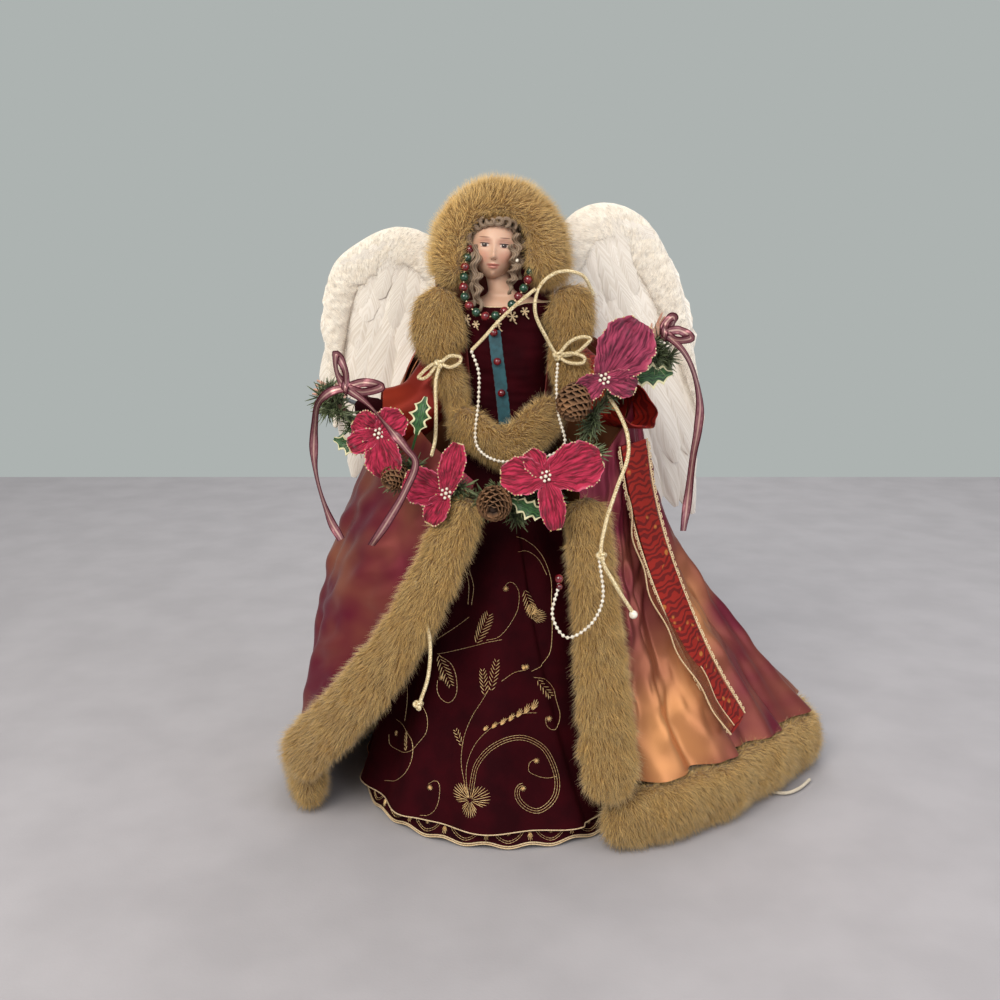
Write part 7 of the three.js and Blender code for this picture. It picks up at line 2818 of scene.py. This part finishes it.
def finishes() -> dict[str, Material]:
    """Builds every finish, by name."""
    metal, sheen, coat, shine = "Metallic", "Sheen Weight", "Coat Weight", "Specular IOR Level"
    plush = {sheen: 0.2, "Sheen Roughness": 0.5, shine: 0.25}
    nap = {sheen: 0.16, "Sheen Roughness": 0.3, "Sheen Tint": linear("#b8142a"), shine: 0.08}
    thread = {metal: 0.25}
    lacquer = {coat: 0.8, "Coat Roughness": 0.06}
    skin = {"Subsurface Weight": 0.1, "Subsurface Radius": (0.6, 0.25, 0.15), "Subsurface Scale": 0.002}
    woven = {metal: 0.5, "Anisotropic": 0.5, shine: 0.3}
    kinds: list[Finish] = [
        # Dark roots under pale tips: painted shade deep in the pile, which makes it look deep.
        Tipped("long fur", 0.8, plush),
        # What shows between the hairs: darker, as painted shadow of the thick pile, so that they stand out.
        Mottled("fur backing", 0.95, {sheen: 0.4}, "#6e4f20", "#81602a", 7.0, 0.7, 0.3),
        # Warm white with little contrast, so that mostly the hairs' own shadows show.
        Tipped("white down", 0.85, plush, "#efe6d6", "#fffaf0", "#f4ecdd", 0.6),
        Mottled("down felt", 0.9, plush, "#f4eee0", "#ebe2d1", 5.0, 0.5, 0.25),
        # Matt green plastic, paler at its tips, so that single needles can be told apart.
        Tipped("pine needle", 0.6, {}, "#263020", "#6d7852", "#44502f"),
        # Worn pale tips, with dark roots and a dark core as painted shadow under each scale.
        Tipped("pinecone scale", 0.75, {}, "#241409", "#85603f", "#553823"),
        Mottled("cone core", 0.9, {}, "#2b1b11", "#3a2517", 4.0, 0.8, 0.2),
        # Cast resin strands: pale on their raised ridges, brown in the grooves between them.
        Tipped("moulded hair", 0.6, {}, "#46372b", "#a08a72", "#725e4c", 0.0),
        # Matt flesh paint with a trace of light under it, so that the casting isn't chalky.
        PaintedFace("painted resin", 0.5, skin),
        Mottled("cast resin", 0.5, skin, "#c9a08c", "#c0937e", 12.0, 0.9, 0.01),
        # Dark face on, with a red glow where a fold turns away: that is what tells velvet from satin.
        Mottled("wine velvet", 0.85, nap, "#250207", "#32030a", 18.0, 0.4, 0.2),
        Mottled("dark velvet", 0.85, nap, "#1f0208", "#37060e", 18.0, 0.4, 0.2),
        # Two colours of thread, mixed by the coat's painted light and shade: copper where light catches a fold, wine
        # elsewhere, with long soft lights across the folds.
        Satin("shot satin", 0.36, woven, "#6e1d2f", "#cf8f5a"),
        # Plainer satins in one close pair of tones.
        Satin("red satin", 0.38, woven, "#6a1410", "#a23418"),
        Satin("copper lining", 0.4, woven, "#8a5634", "#b27a4c"),
        # Half open, so that the satin behind shows through.
        Satin("copper organza", 0.35, woven, "#8d3f2a", "#a5623a", opacity=0.5),
        # Curls raised from an orange-red ground break up its shine.
        Brocade("brocade", 0.5, {metal: 0.3, shine: 0.3}),
        # Metallised threads: pale where the twist meets the light, brown between the plies.
        Mottled("gold cord", 0.5, {metal: 0.2}, "#a78a50", "#f7ebc6", 0.6, 0.5, 0.1),
        Mottled("gold thread", 0.38, thread, "#c9a878", "#fbe6c0", 0.5, 0.5, 0.1),
        Mottled("embroidery thread", 0.5, {metal: 0.2}, "#d3a566", "#ffe7b0", 0.6, 0.5, 0.1),
        # Bright specks along the petals' edges.
        Mottled("gold glitter", 0.4, {metal: 0.3}, "#f0e2bb", "#c2a262", 2.4),
        # Undyed, dull and uneven.
        Mottled("cotton string", 0.85, {}, "#b5aa92", "#ddd4c0", 0.6, 0.6, 0.1),
        # Cream plastic under a clear coat, with one small light.
        Mottled("pearl", 0.22, {coat: 0.6}, "#ece6d6", "#d2c7b1", 2.4),
        # Deep colours under a clear lacquer, with a sharp light on top.
        Mottled("ruby bead", 0.16, lacquer, "#85101d", "#4a0710", 2.4),
        Mottled("green bead", 0.16, lacquer, "#174a33", "#0c2a1c", 2.4),
        # Crushed cloth: light veins fan out from the root to a paler cut edge.
        Veined("crimson petal", 0.75, plush, "#6a0a20", "#b8274a", ((1.02, 1.1, "#d8607c"),)),
        Veined("wine petal", 0.75, plush, "#56102a", "#a23a58", ((1.02, 1.1, "#b5566a"),)),
        # Printed cloth: green veins inside a cream margin.
        Veined("holly leaf", 0.45, {}, "#123018", "#3f7038", ((0.8, 0.86, "#ded8ac"),), scale=(5.0, 5.0)),
        # Slanted barbs on both sides of a pale shaft.
        Veined(
            "white feather", 0.75, plush, "#e2dacb", "#f6f1e6", ((0.16, 0.06, "#f8f4ea"),), fan=1000.0, slant=-0.25,
            scale=(0.0, 34.0), depth_mm=0.12,
        ),
        # A pale middle stripe between dark woven edges.
        Veined(
            "sheer ribbon", 0.4, woven, "#87545c", "#9d6c70", ((0.34, 0.2, "#d0aba0"), (0.8, 0.9, "#5a2430")),
            scale=(2.0, 3.0), depth_mm=0.05,
        ),
        # Dull woven ribbon with a faint sheen.
        Mottled("teal ribbon", 0.6, {sheen: 0.2}, "#1c444c", "#285a64", 4.0, 0.35, 0.12),
        # Florist's paper tape, matt, in brown and green.
        Mottled("wrapped wire", 0.85, {}, "#4a3526", "#32402c", 6.0, 0.7, 0.2),
        # Plain card, almost even in tone.
        Mottled("grey card", 0.9, {}, "#b9a88a", "#a9977a", 18.0, 0.5, 0.06),
        Mottled("white card", 0.9, {}, "#e6e0d2", "#d9d1c0", 12.0, 0.5, 0.05),
        # Polystyrene foam with a fine grain.
        Mottled("foam", 0.95, {}, "#d9d2c4", "#cbc3b2", 10.0, 0.6, 0.15),
        # Dull zinc grey metal.
        Mottled("galvanised wire", 0.4, {metal: 0.85}, "#8f9295", "#74777a", 5.0, 0.6, 0.01),
    ]
    return {kind.name: kind.build() for kind in kinds}


@dataclass
class InnerForm:
    """The CAD pieces that stay: card, foam, wire and hands, with better finishes."""

    kit: Kit
    finishes: tuple[tuple[str, str], ...] = (
        ("base_cone", "grey card"), ("torso_form", "foam"), ("arm_wire", "galvanised wire"),
        ("wing_block", "grey card"), ("hand_left", "cast resin"), ("hand_right", "cast resin"),
    )

    def build(self) -> None:
        """Gives each kept CAD node its finish."""
        for name, finish in self.finishes:
            self.kit.dress(name, finish)


def main() -> None:
    """Builds the studio and every sub-assembly in order."""
    logging.basicConfig(level=logging.INFO, format="%(message)s")
    Studio().build()
    kit = Kit(finishes(), PileTree().build(), ScatterTree().build())
    coat = CoatForm()
    for part in (
        Cords(kit), InnerForm(kit), Skirt(kit, SkirtForm(), UnderskirtForm()), Coat(kit, coat), FurTrims(kit, coat),
        Bust(kit), Bodice(kit), Wings(kit), Garland(kit), Bows(kit),
    ):
        LOG.info("building %s", type(part).__name__)
        part.build()


if __name__ == "__main__":
    main()
